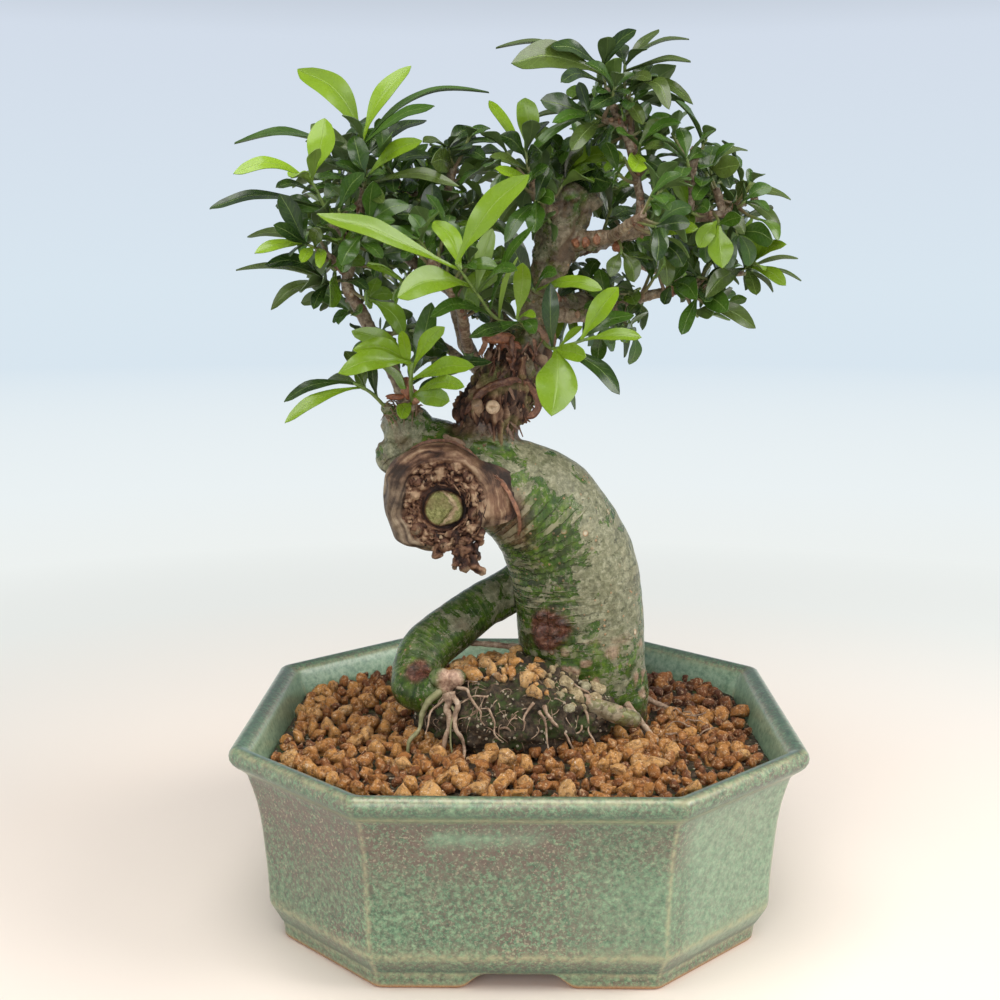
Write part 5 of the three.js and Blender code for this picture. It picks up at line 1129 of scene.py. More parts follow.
def scatter_tree():
    """Geometry Nodes: granules of several shapes on a surface, each with its own size, turn and tone."""
    tree = bpy.data.node_groups.new("Scatter granules", "GeometryNodeTree")
    face = tree.interface
    face.new_socket("Geometry", in_out="INPUT", socket_type="NodeSocketGeometry")
    sockets = (
        ("Shapes", "NodeSocketCollection"), ("Spacing", "NodeSocketFloat"), ("Smallest", "NodeSocketFloat"),
        ("Largest", "NodeSocketFloat"), ("Lift", "NodeSocketFloat"), ("Seed", "NodeSocketInt"),
        ("Material", "NodeSocketMaterial"),
    )
    for name, kind in sockets:
        face.new_socket(name, in_out="INPUT", socket_type=kind)
    face.new_socket("Geometry", in_out="OUTPUT", socket_type="NodeSocketGeometry")
    add = partial(add_node, tree)
    given = add("NodeGroupInput").outputs
    spread = add(
        "GeometryNodeDistributePointsOnFaces",
        {"Mesh": given["Geometry"], "Distance Min": given["Spacing"], "Density Max": GRAIN_DENSITY,
         "Seed": given["Seed"]},
        distribute_method="POISSON",
    )
    shapes = add(
        "GeometryNodeCollectionInfo",
        {"Collection": given["Shapes"], "Separate Children": True, "Reset Children": True},
    )
    turn = add(
        "FunctionNodeRandomValue",
        {"Min": (0, 0, 0), "Max": (FULL_TURN, FULL_TURN, FULL_TURN), "Seed": given["Seed"]},
        data_type="FLOAT_VECTOR",
    )
    size = add(
        "FunctionNodeRandomValue", {2: given["Smallest"], 3: given["Largest"], "Seed": given["Seed"]},
        data_type="FLOAT",
    )
    placed = add(
        "GeometryNodeInstanceOnPoints",
        {"Points": spread.outputs["Points"], "Instance": shapes.outputs[0], "Pick Instance": True,
         "Rotation": turn.outputs[0], "Scale": size.outputs[1]},
    )
    tone = add("FunctionNodeRandomValue", {"Seed": given["Seed"]}, data_type="FLOAT")
    toned = add(
        "GeometryNodeStoreNamedAttribute",
        {"Geometry": placed.outputs[0], "Name": "grain_tone", "Value": tone.outputs[1]},
        data_type="FLOAT", domain="INSTANCE",
    )
    lift = add("ShaderNodeCombineXYZ", {2: given["Lift"]})
    lifted = add(
        "GeometryNodeTranslateInstances",
        {0: toned.outputs[0], "Translation": lift.outputs[0], "Local Space": False},
    )
    real = add("GeometryNodeRealizeInstances", {0: lifted.outputs[0]})
    painted = add("GeometryNodeSetMaterial", {"Geometry": real.outputs[0], "Material": given["Material"]})
    add("NodeGroupOutput", {0: painted.outputs[0]})
    return tree


def scattered(ground, tree, **inputs):
    """Granules on a ground mesh as one plain mesh."""
    thing = bpy.data.objects.new("Ground", ground)
    bpy.context.scene.collection.objects.link(thing)
    modifier = thing.modifiers.new("Granules", "NODES")
    modifier.node_group = tree
    for item in tree.interface.items_tree:
        key = item.name.lower()
        if item.in_out == "INPUT" and key in inputs:
            modifier[item.identifier] = inputs[key]
    return applied(thing)


def without(mesh, hidden):
    """Points and faces of a mesh without the faces whose points all pass the test, and their tones."""
    spots = points_of(mesh)
    tones = np.empty(len(mesh.vertices), np.float32)
    mesh.attributes["grain_tone"].data.foreach_get("value", tones)
    drop = hidden(spots)
    keep = [tuple(face.vertices) for face in mesh.polygons if not all(drop[i] for i in face.vertices)]
    used = np.zeros(len(spots), bool)
    used[np.unique(np.concatenate([np.array(face) for face in keep]))] = True
    fresh = np.cumsum(used) - 1
    return spots[used], [tuple(int(fresh[i]) for i in face) for face in keep], tones[used]


# Wood: trunk, roots and branches

SCAR_MIDDLE = [-28.8, -35.2, 166.6]
# The cut face is a circle of this radius whose middle lies off the green knob, sideways and upwards
FACE_RADIUS, FACE_OFF = 21.4, (-2.7, 3.6)
FACE_RINGS, FACE_SIDES = 64, 200
# Corners and flats of its rim: where in degrees, how far out, how wide in degrees
RIM_BENDS = [(-146, 1.3, 13), (-112, -0.9, 16), (140, 1.0, 13), (180, -0.5, 14)]
CUT_STUB = LIMBS["pale_stub"]
ROOT_FLARES = [([24, -12, 80], [13, 9, 14]), ([44, 0, 78], [9, 12, 14]), ([34, 20, 78], [13, 9, 13])]
# Torn line where the bark of the trunk meets the collar of the scar; a dark band of painted shadow follows it
# under the lifted strips of bark
COLLAR_SHADOW_LINE = [
    [-20, -24, 186.4, 0.1], [-12.2, -26.6, 180.8, 0.1], [-6.5, -27.6, 176, 0.1], [-3, -27.6, 171, 0.1],
    [-0.4, -26.8, 165, 0.1], [0.6, -24.7, 158, 0.1],
]
# Knobs of callus round the green knob: sideways, up, radius, how pale the end is
NODULES = [
    (-10, -7.7, 2.5, 1), (0.4, -13.8, 2.6, 0.5), (11.5, -1.8, 2.3, 0.8), (4.3, 15.1, 2.2, 0.7),
    (9.2, 11.1, 1.7, 1), (-10, 10.8, 2, 0.7), (-13.7, 1.5, 1.3, 0.8), (-11.7, -2.8, 1.4, 1),
    (13.7, -9.5, 1.6, 0.8),
    (-14.6, -4.9, 1.4, 0.6), (-7.4, 13.4, 1.2, 0.8), (-3.6, 16.8, 1.3, 0.3), (13.7, 4.3, 1, 0.6),
    (-4.2, -8.8, 1.1, 0.9), (6.4, -12, 1.5, 0.4), (13, 7.1, 1.2, 0.5), (-12.6, 6.4, 1.4, 0.3),
    (11.2, -9.8, 1.1, 0.7), (-17, 9.8, 1.4, 0.5), (0.6, 12.2, 1.2, 0.2), (-9.6, 13.6, 1, 0.9),
]
# Torn bits that hang below the scar: sideways, forward, up from the middle of the face, and a radius
RAGS = [
    [[5, 1.4, -8.6, 2.6], [5.1, 1.6, -14.8, 2.6], [6.4, 2, -20.6, 2.4], [7.6, 2.4, -24.6, 1.9]],
    [[10, 1.8, -11, 2.4], [9.4, 2, -17, 2.3], [12, 2.2, -22.6, 1.7], [15.5, 2.4, -25.3, 1.2]],
    [[7.6, 2, -14, 2.6], [6.4, 2.2, -19, 2], [3.4, 2.4, -24.2, 1.1]],
    [[11, 2.4, -14, 2.2], [12.6, 2.6, -18, 1.6], [13.2, 2.8, -20.4, 0.9]],
    [[-1, 2, -14, 2], [-3, 2.6, -17.4, 1.5], [-5, 3, -19, 0.9]],
    [[12.4, 3, -9, 2.2], [13.4, 3.4, -12.6, 1.6], [14.6, 4, -13.6, 0.8]],
]


# Ends of the scar's stub and of the arching root as they are built here, under the scar and its knobs
STUB_END = [-31.8, -28, 169.7, 19.4]
ROOT_END = [[-35, -26, 91, 7.8], [-28, -30, 95, 4.6]]
ARCH_LUMPS = [([-30.9, -31, 98.6], [4.2, 3.4, 3.4]), ([-25, -30.6, 98], [3.4, 3.2, 3.2])]
# Least faces of the skins in millimetres, and the limb radius from which a limb grows out of the trunk
TRUNK_VOXEL, CRUST_VOXEL, THICK_LIMB = 0.95, 0.6, 3.5
# How many of each: knuckles on the crown, crumbs and fibres in the scar, shreds, flakes and withered stalks
KNUCKLES, SCAR_CRUMBS, SCAR_FIBRES, SHREDS, FLAKES, STALKS = 16, 90, 170, 34, 150, 34
# The knobs in the scar from foot to tip: how far out as a share of their height, share of their radius
NODULE_SHAPE = [
    (-1, 1.3), (0.8, 1.25), (2.1, 1.05), (3, 1.02), (3.4, 0.9), (3.3, 0.72), (3.1, 0.45), (3.2, 0.2),
]


def trunk_parts():
    """Everything thick that grew as one piece, as overlapping shells."""
    stub = [*SCAR_STUB[:-1], STUB_END]
    arch = [*ARCH_ROOT[:-2], *ROOT_END]
    parts = [
        tube(spline(TRUNK, 3), 48), tube(spline(stub, 3), 40, False), tube(spline(arch, 2.5), 28),
        tube(spline(UPPER_TRUNK, 2.5), 36, False),
    ]
    for k, (spot, half) in enumerate(ARCH_LUMPS):
        parts.append(ball(spot, half, 3, 0.2, 8 + k))
    parts.append(tube(spline(SURFACE_ROOT, 2), 18))
    for k, (x, y, z, half_x, half_y, half_z) in enumerate(BURLS):
        parts.append(ball([x, y, z], [half_x, half_y, half_z], 3, 0.1, k))
    for rows in LIMBS.values():
        if rows[0][3] > THICK_LIMB:
            parts.append(tube(spline(rows[:2], 2), 16))
    random = seeded(12)
    for k in range(KNUCKLES):
        turn, rise = 2 * math.pi * random(), 4 * random()
        spot = [23 + 7 * math.cos(turn), 5 + 7 * math.sin(turn), 283 + rise]
        half = [1.4 + 1.6 * random(), 1.4 + 1.6 * random(), 1.5 + 2 * random()]
        parts.append(ball(spot, half, 2, 0.2, 60 + k))
    for spot, half in ROOT_FLARES:
        parts.append(ball(spot, half, 3, 0.1, 7))
    return parts


def near(points, spot, inner, outer, seed=0):
    """1 close to a spot and 0 away from it, with an uneven edge."""
    gap = np.linalg.norm(points - spot, axis=1)
    return 1 - smooth_step(gap + 0.25 * outer * noise(points, 0.8 * outer, seed), inner, outer)


def trunk_mesh():
    """The thick wood as one skin with its wrinkles and lumps, and the marks for its bark."""
    mesh = grown_together("trunk", trunk_parts(), TRUNK_VOXEL)
    spots = points_of(mesh)
    ways = normals_of(mesh)
    x, y, z = spots.T
    paths = [spline(rows, 3) for rows in (TRUNK, ARCH_ROOT, SCAR_STUB, UPPER_TRUNK)]
    found = [nearest_on(spots, path) for path in paths]
    trunk_gap, root_gap, stub_gap, upper_gap = (gap for gap, _ in found)
    closest = np.argmin([trunk_gap, root_gap, stub_gap + 1.5, upper_gap], axis=0)
    run = np.choose(closest, [reach for _, reach in found])
    on_root, on_stub = closest == 1, closest == 2
    upper = smooth_step(z, 226, 236)
    ragged = (1 - smooth_step(upper_gap, 0, 5)) * smooth_step(z, 188, 196) * (1 - smooth_step(z, 224, 234))
    burl = 1 - smooth_step(np.linalg.norm((spots - [-11, -7, 201]) / [18, 14, 15], axis=1), 0.9, 1.1)
    ragged = np.maximum(ragged, burl)
    left_burl = near(spots, [-48, -2, 190], 9, 17, 3)
    folds = noise(np.column_stack([run, x * 0.16, y * 0.16]), 3.2, 5)
    inner_bend = smooth_step(-(x - 32), -6, 22) * smooth_step(z, 84, 100) * (1 - smooth_step(z, 158, 176))
    fold = 0.24 + 0.8 * inner_bend + 0.35 * noise(spots, 18, 25)
    fold = np.where(on_root, 0.3, fold) * (1 - 0.75 * smooth_step(z, 168, 186))
    fold = np.clip(np.where(on_stub, 0.8, fold), 0.08, 1) * (1 - ragged)
    depth = 1.0 * layers(spots, 19, 2, 1) + 0.25 * layers(spots, 6, 2, 2)
    depth += 0.4 * fold * np.minimum(folds + 0.2, 0.4)
    depth += left_burl * (1.6 * layers(spots, 7, 3, 14) + 0.4 * layers(spots, 2.2, 2, 15))
    depth += upper * (1.5 * layers(spots * [1, 1, 0.6], 7, 3, 16) + 0.8 * layers(spots, 2.2, 2, 12))
    depth -= ragged * (1.2 + 0.8 * layers(spots * [1, 1, 0.4], 4, 2, 10))
    scab = near(spots, [11, -19, 115], 6, 12, 4)
    depth += scab * (2.6 * np.abs(noise(spots * [1, 1, 1.6], 4.2, 17)) + 0.8 * layers(spots, 2, 2, 18) - 0.4)
    crumbs = smooth_step(noise(spots, 4.2, 38), 0.36, 0.5) * smooth_step(118 - z, 0, 18) * (x > 14) * (y < 0)
    depth += 0.9 * crumbs * (0.6 + noise(spots, 2, 39))
    spots = spots + ways * depth[:, None]
    mesh.vertices.foreach_set("co", (spots * MM).ravel())
    film = 0.42 + 0.6 * noise(spots, 30, 21)
    film = film + 0.3 * smooth_step(x - 31 + 0.24 * (z - 110), -2, 14) * (z < 178)
    film = film + 0.14 * smooth_step(z, 150, 176) * (1 - upper) - 0.2 * inner_bend * (z < 150)
    film = film - 0.24 * (1 - smooth_step(z, 104, 124)) * smooth_step(x, 8, 20)
    film = np.where(on_root, film - 0.3 + 0.35 * smooth_step(z, 104, 116), film) + 0.35 * left_burl
    tan = on_stub * smooth_step(-y, 14, 24) * smooth_step(stub_gap + 3, 0, 2)
    tan = np.maximum(tan, 0.85 * near(spots, [-6, -26, 160], 9, 15, 31))
    tan = np.maximum(tan, 0.45 * left_burl * (noise(spots, 5, 32) > -0.1))
    tan = np.maximum(tan, upper * 0.4 * (noise(spots, 7, 33) > 0))
    red = np.maximum.reduce([
        scab, near(spots, [10, -18, 110], 3, 7, 12), 0.9 * near(spots, [-39, -24, 99], 4, 7.5, 5),
        0.4 * near(spots, [-2, -24, 150], 4, 8, 6), 0.5 * near(spots, [-25, -2, 112], 3, 6, 7),
    ])
    cut = np.maximum.reduce([
        near(spots, [-27, -32, 98], 4, 7, 8), near(spots, [19.5, -28, 88], 2.5, 4.5, 9),
        0.6 * near(spots, [38, -19, 106], 2, 4, 13), 0.75 * crumbs,
    ])
    surface_gap, _ = nearest_on(spots, spline(SURFACE_ROOT, 3))
    on_surface_root = (surface_gap < 1.2) & (trunk_gap > 1)
    cracks_and_collar_shadow = near(spots, [17, -4, 284], 3, 9, 11) * (np.abs(noise(spots * [0.6, 0.6, 1.4], 5, 34)) < 0.2)
    cracks_and_collar_shadow = np.maximum(cracks_and_collar_shadow, 0.8 * upper * (np.abs(noise(spots * [0.8, 0.8, 1.2], 7, 40)) < 0.07))
    # Painted shadow: a dark band along the collar's torn edge, under the lifted strips of bark, joins the
    # fissures in the crust mark.
    collar_shadow_gap, _ = nearest_on(spots, spline(COLLAR_SHADOW_LINE, 2))
    cracks_and_collar_shadow = np.maximum(cracks_and_collar_shadow, 0.9 * (1 - smooth_step(collar_shadow_gap + 0.8 * noise(spots, 3, 74), 0.6, 2.4)))
    pore = 0.3 + 1.2 * noise(spots, 7, 36) + 0.5 * smooth_step(150 - z, 10, 50) - 0.4 * on_root
    set_values(
        mesh, film=np.where(on_surface_root, 0.55, film), fold=fold, run=run, tan=np.clip(tan, 0, 1),
        twig=0.35 * upper * (noise(spots, 9, 35) > -0.2),
        crust=np.clip(np.maximum(ragged, 0.9 * cracks_and_collar_shadow), 0, 1), red=np.clip(red, 0, 0.9),
        cut=np.clip(np.maximum(cut, 0.3 * on_surface_root), 0, 1), pore=np.clip(pore, 0, 1),
        dirt=1 - smooth_step(z, 74, 96),
    )
    return mesh


def scar_face():
    """The sawn face: a bowl of callus folds inside a worn lip of bark, with a cracked green knob."""
    rings, sides = FACE_RINGS, FACE_SIDES
    share = np.repeat((np.arange(rings) + 1) / rings, sides)
    turn = np.arange(sides) * 2 * math.pi / sides
    angle = np.tile(turn, rings)
    ahead = FACE_OFF[0] * np.cos(angle) + FACE_OFF[1] * np.sin(angle)
    reach = ahead + np.sqrt(FACE_RADIUS**2 - FACE_OFF[0] ** 2 - FACE_OFF[1] ** 2 + ahead**2)
    level = np.degrees(np.arctan2(np.sin(angle), np.cos(angle)))
    for corner, push, spread in RIM_BENDS:
        reach = reach + push * np.exp(-((((level - corner + 180) % 360 - 180) / spread) ** 2))
    right = smooth_step(level, -32, -4) * (1 - smooth_step(level, 8, 58))
    top = smooth_step(np.sin(angle), 0.3, 0.9)
    radius = share * reach * (1 + 0.62 * right)
    across, up = radius * np.cos(angle), radius * np.sin(angle)
    flat = np.column_stack([across, 0 * across, up])
    stray = radius + 1.3 * layers(flat, 7, 2, 40)
    rim = 16.2 - 2.0 * right + 2.2 * top
    bowl = 1 - smooth_step(stray, rim - 1.6, rim + 0.7)
    knob_radius = 7.5 - 0.5 * np.abs(np.sin(angle)) + 0.6 * noise(flat, 5, 41)
    knob = 1 - smooth_step(radius, knob_radius - 0.9, knob_radius + 0.1)
    swirl = np.column_stack([radius + 0.8 * noise(flat, 6, 42), 0.16 * across, 0.16 * up])
    ridges = 1 - 2 * np.abs(noise(swirl, 2.6, 43)) - 0.8 * np.abs(noise(swirl, 1.3, 44))
    lumps = layers(flat, 4.2, 3, 45)
    height = -2.0 * bowl * (1 - knob) + knob * (1.4 * np.sqrt(np.clip(1 - (radius / 8.2) ** 2, 0, 1)) - 0.6)
    clutter = np.abs(noise(flat, 3.2, 62)) + 0.6 * np.abs(noise(flat, 1.6, 63))
    clutter = clutter + 0.3 * np.abs(noise(flat, 0.9, 64))
    outer = smooth_step(radius, 9, 12)
    height += bowl * (1 - knob) * (1.1 * ridges * (1 - 0.6 * outer) + lumps + outer * (3.2 * clutter - 0.6))
    bent = 4.2 - 0.85 * np.abs(up - 0.8) + 0.5 * noise(flat, 3, 46)
    crack = np.abs(across - bent)
    height -= knob * (0.8 * (1 - smooth_step(crack, 0.1, 0.6)) + 0.35 * (1 - ridges) * 0.4)
    groove = np.abs(radius - knob_radius - 0.5)
    height -= 0.5 * (1 - smooth_step(groove, 0.1, 0.4))
    swell = np.sin(np.clip((stray - rim) / np.maximum(reach - rim, 1), 0, 1) * math.pi)
    swell = swell * (1 - right) * smooth_step(reach - rim, 0.5, 6)
    folds = np.abs(noise(np.column_stack([stray, 0.12 * across, 0.12 * up]), 2.2, 65))
    height += (1 - bowl) * (swell * (1.3 + 1.2 * noise(flat, 9, 47)) + 1.1 * folds * (1 - 0.8 * right))
    height += (1 - bowl) * 0.45 * layers(flat, 2, 2, 48)
    fall = smooth_step(stray, reach - 3.2, reach + 0.9) ** 1.4
    height -= (1 - right) * 8 * fall + 0.64 * right * np.maximum(radius - 12.5, 0)
    height -= 0.3 * top * (across > 0) * np.maximum(radius - 17, 0)
    x, y, z = SCAR_MIDDLE
    points = np.column_stack([x + across, y - height, z + up])
    points = np.vstack([points, [x, y - 1, z], [x, y + 9, z]])
    # Painted light and shade over the wood's own tone: light on folds, lumps and lips, shade in the hollows
    # and in the groove round the knob.
    ridge = 0.1 + 0.3 * (ridges * (1 - outer) + lumps) + outer * bowl * (clutter - 0.1) + 0.12 * (1 - outer)
    ridge = ridge - 0.3 * (1 - smooth_step(groove, 0.1, 0.4))
    ridge = ridge + (1 - bowl) * (0.16 + 0.9 * folds) * (1 - right)
    ridge = ridge + (1 - bowl) * right * (0.55 + 0.2 * folds - 0.3 * smooth_step(level, 5, 40))
    ridge = ridge - 0.45 * right * smooth_step(share, 0.8, 0.9) * (level > -14)
    worn = 1 - smooth_step(np.abs(across - bent - 1.0 + noise(flat, 1.6, 49)), 0.5, 1.2)
    marks = {
        "ridge": np.clip(ridge, 0, 1), "grey": 0.85 * (1 - bowl) * (1 - 0.8 * top) * (1 - 0.9 * right),
        "green": knob, "run": stray, "pale": 0.8 * knob * worn,
    }
    marks = {key: np.append(value, [value[0], 0]) for key, value in marks.items()}
    return points, closed_faces(rings, sides), marks


def torn_marks(ridge, run, pale=0):
    """The marks of a torn bit: its tone with painted light and shade by how high it stands out, where along
    it and how pale.
    """
    return {"ridge": ridge, "grey": 0, "green": 0, "run": run, "pale": pale}


def torn_parts():
    """Knobs, crumbs, fibres and hanging rags of the scar: (points, faces, marks) each."""
    x, y, z = SCAR_MIDDLE
    random = seeded(41)
    parts = []
    # The first mark of each bit paints light where it stands out and shade at its foot; the crumbs are lit on
    # their front.
    for k, (across, up, radius, pale) in enumerate(NODULES):
        foot = np.array([x + across, y + 2.6, z + up])
        way = unit([across * 0.03 + 0.3 * (random() - 0.5), -1, up * 0.03 + 0.3 * (random() - 0.5)])
        tall = 0.7 + 0.3 * random()
        rows = [[*(foot + way * reach * tall), radius * share] for reach, share in NODULE_SHAPE]
        spots, faces, _ = tube(np.array(rows), 16, False)
        level = np.append(np.repeat(np.arange(len(rows)), 16), [0, len(rows)])
        spots = spots + 0.3 * radius * wobble(spots, 2.2, 60 + 3 * k)
        marks = torn_marks(np.clip(0.05 + 0.11 * level, 0, 0.85), level, pale * (level > 4.5))
        parts.append((spots, faces, marks))
    for k in range(SCAR_CRUMBS):
        turn, reach = 2 * math.pi * random(), 9.4 + 7.4 * random() ** 0.8
        size = 0.35 + 0.6 * random() ** 2
        if math.cos(turn) > 0.6 or math.sin(turn) < -0.5:
            reach = 9.4 + 5.5 * random()
        front = y + 2.4 - 1.6 * random() - 0.07 * reach
        spot = [x + reach * math.cos(turn), front, z + reach * math.sin(turn)]
        half = [size * (0.7 + random()), size * (0.8 + 0.8 * random()), size * (0.7 + 1.3 * random())]
        spots, faces = ball(spot, half, 2, 0.5, 200 + k)
        tint, tip = 0.1 + 0.35 * random(), 0.8 * (random() > 0.88)
        lit = smooth_step(spot[1] - spots[:, 1], -0.2, 0.7 * half[1])
        parts.append((spots, faces, torn_marks(0.05 + tint * lit, k, tip * lit)))
    for k in range(SCAR_FIBRES):
        turn, reach = 2 * math.pi * random(), 8.8 + 7.2 * random()
        swing, radius = (random() - 0.5) * (2 + 5 * random()) / reach, 0.2 + 0.28 * random()
        drift, deep = 2.4 * (random() - 0.5), 1.9 - 1.6 * random() - 0.05 * reach
        rows = []
        for share in (-1, -0.4, 0.3, 1):
            far, around = reach + drift * share + 0.6 * (random() - 0.5), turn + swing * share
            rows.append([
                x + far * math.cos(around), y + deep + 0.9 * abs(share) ** 2 - 0.5 * random(),
                z + far * math.sin(around), radius * (1.1 - 0.5 * abs(share)),
            ])
        spots, faces, _ = tube(spline(rows, 0.8), 5)
        parts.append((spots, faces, torn_marks(0.15 + 0.6 * random(), k)))
    for k, rows in enumerate(RAGS):
        path = spline([[x + row[0], y + row[1], z + row[2], row[3]] for row in rows], 0.7)
        path[:, :3] += 0.5 * wobble(path[:, :3], 2.5, 80 + 3 * k)
        spots, faces, runs = tube(path, 20)
        centre = middles(path, 20)
        lump = layers(spots, 2.2, 3, 90 + k)
        spots = centre + (spots - centre) * (1 + 0.8 * lump)[:, None]
        pale = 0.7 * smooth_step(runs / runs.max(), 0.88, 0.97)
        parts.append((spots, faces, torn_marks(np.clip(0.3 + 0.5 * lump, 0, 1), 4 * lump, pale)))
    return parts


def crust_mesh():
    """The shredded bark round the foot of the upper trunk, fissured lengthwise."""
    rows = np.array(UPPER_TRUNK[:5], float)
    rows[:, 3] += 0.5
    rows[0, 3] -= 2
    parts = [tube(spline(rows, 2), 40, False)]
    for k, (x, y, z, half_x, half_y, half_z) in enumerate(BURLS[:2]):
        parts.append(ball([x, y, z], [half_x + 0.6, half_y + 0.6, half_z + 0.6], 4, 0.12, k))
    random = seeded(12)
    for k in range(SHREDS):
        turn, rise = 2 * math.pi * random(), 192 + 34 * random()
        reach = 9.6 + 3 * random()
        lean = 0.3 * (rise - 200)
        spot = [-9 + lean + reach * math.cos(turn), -6 + 0.85 * reach * math.sin(turn), rise]
        half = [1.1 + 1.2 * random(), 1.1 + 1.2 * random(), 4 + 7 * random()]
        parts.append(ball(spot, half, 2, 0.25, 20 + k))
    mesh = grown_together("crust", parts, CRUST_VOXEL)
    spots, ways = points_of(mesh), normals_of(mesh)
    x, y, z = spots.T
    long = spots * [1, 1, 0.16] + 1.2 * np.column_stack([noise(spots, 9, 50), noise(spots, 9, 51), 0 * x])
    strands = 1 - 2 * np.abs(noise(long, 2.6, 52)) - 0.9 * np.abs(noise(long, 1.2, 53))
    lumps = layers(spots, 5, 3, 54)
    chips = np.abs(noise(spots * [1, 1, 0.25], 2.6, 61)) + 0.5 * np.abs(noise(spots * [1, 1, 0.3], 1.3, 66))
    depth = 1.4 * strands + 1.0 * lumps + 1.9 * chips - 1.2
    fringe = smooth_step(206 - z + 2.5 * noise(spots, 3, 56), 4, 12)
    depth += 1.6 * fringe * noise(spots * [1, 1, 0.2], 2.4, 57) - 2.2 * fringe
    depth -= 3.5 * smooth_step(z, 224, 232)
    spots = spots + ways * depth[:, None]
    mesh.vertices.foreach_set("co", (spots * MM).ravel())
    green_patch = np.maximum(near(spots, [-11, -17, 216], 4, 8, 58), 0.7 * (noise(spots, 8, 59) > 0.45))
    # Painted light and shade: raised strands, lumps and chips are made lighter and the fissures dim.
    set_values(
        mesh, ridge=np.clip(0.22 * strands + 0.22 * lumps + 0.55 * chips - 0.15 * fringe, 0, 1), pale=0 * x,
        grey=np.clip(0.6 * noise(spots, 10, 60), 0, 0.45), green=np.clip(0.7 * green_patch, 0, 1),
        run=10 * np.arctan2(y + 6, x + 8 - 0.3 * (z - 200)) + 2.5 * noise(spots, 9, 67),
    )
    return mesh


def branch_mesh():
    """The branches: bent tubes with rings, knots and leaf scars."""
    parts = []
    step = 0.9
    for k, rows in enumerate(rows for rows in LIMBS.values() if rows is not CUT_STUB):
        path = spline(rows, step)
        path[:, :3] += 0.5 * wobble(path[:, :3], 11, 30)
        run = np.arange(len(path)) * step
        period = 4.2 + 0.5 * (k % 5)
        ring = np.maximum(np.sin(run / period * 2 * math.pi + 3 * noise(path[:, :3], 9, 37)) - 0.8, 0) / 0.2
        path[:, 3] *= 0.92 + 0.09 * ring + 0.08 * noise(path[:, :3], 5, 40)
        sides = 16 if rows[0][3] > 2.5 else 12
        spots, faces, runs = tube(path, sides)
        knots = np.maximum(noise(spots, 3.4, 50) - 0.5, 0) * 0.6
        spots = spots + (spots - middles(path, sides)) * (knots + 0.07 * noise(spots, 1.4, 51))[:, None]
        rings = np.append(np.repeat(ring, sides), [0, 0])
        red = 0.75 * rings * (noise(spots, 7, 52) > -0.3) + 1.2 * noise(spots, 6, 53) - 0.35
        marks = {
            "twig": 0.85 if rows[0][3] > 3.4 else 0.95, "run": runs, "red": np.clip(red, 0, 0.75),
            "cut": np.clip(2 * knots - 0.2, 0, 0.5), "film": 1, "fold": 0.35, "tan": 0, "crust": 0,
            "pore": 0.5, "dirt": 0,
        }
        parts.append((spots, faces, marks))
    return merged_mesh("branches", parts)


def soft_root(start, stop, radius, sag, seed):
    """Rows of a thin wandering root from one point to another."""
    start, stop = np.array(start, float), np.array(stop, float)
    share = np.linspace(0, 1, 8)[:, None]
    rows = start + (stop - start) * share + np.array([0, 0, -sag]) * 4 * share * (1 - share)
    rows = rows + wobble(rows, 5, seed) * 3.2 * np.sin(math.pi * share) ** 0.7
    return np.column_stack([rows, radius * (1 - 0.65 * share[:, 0])])


# Roots that hang from the cut end of the arching root and over the ball: start, end, radius
HANGING_ROOTS = [
    ([-30, -31, 98], [-43, -42, 71], 1.7), ([-28, -37, 94], [-29, -47, 73], 1.9),
    ([-26, -38, 95], [-21, -48, 71], 1.4), ([-29, -37, 92], [-36, -45, 80], 0.7),
    ([-27, -38, 90], [-25, -48, 72], 0.7), ([-24, -36, 96], [-13, -46, 84], 0.8),
    ([10, -43, 91], [21, -47, 75], 0.9), ([8, -44, 89], [12, -48, 74], 0.7),
    ([6, -42, 92], [1, -47, 80], 0.7), ([-12, -44, 90], [-6, -47, 78], 0.6),
    ([24, -34, 88], [30, -42, 75], 0.8),
]
# Fine roots on the ball and on the granules, and the places of the green ones among all fine roots
BALL_ROOTS, CREEPING_ROOTS, GREEN_ROOTS = 64, 10, (4, 8)


def on_ball(turn, rise):
    """A point just outside the root ball: turn in the plane, rise from 0 at its middle to 1 on top."""
    flat = math.sqrt(1 - rise * rise)
    way = np.array([flat * math.cos(turn), flat * math.sin(turn), rise])
    return BALL_CENTRE + way * (BALL_HALF + 0.8)


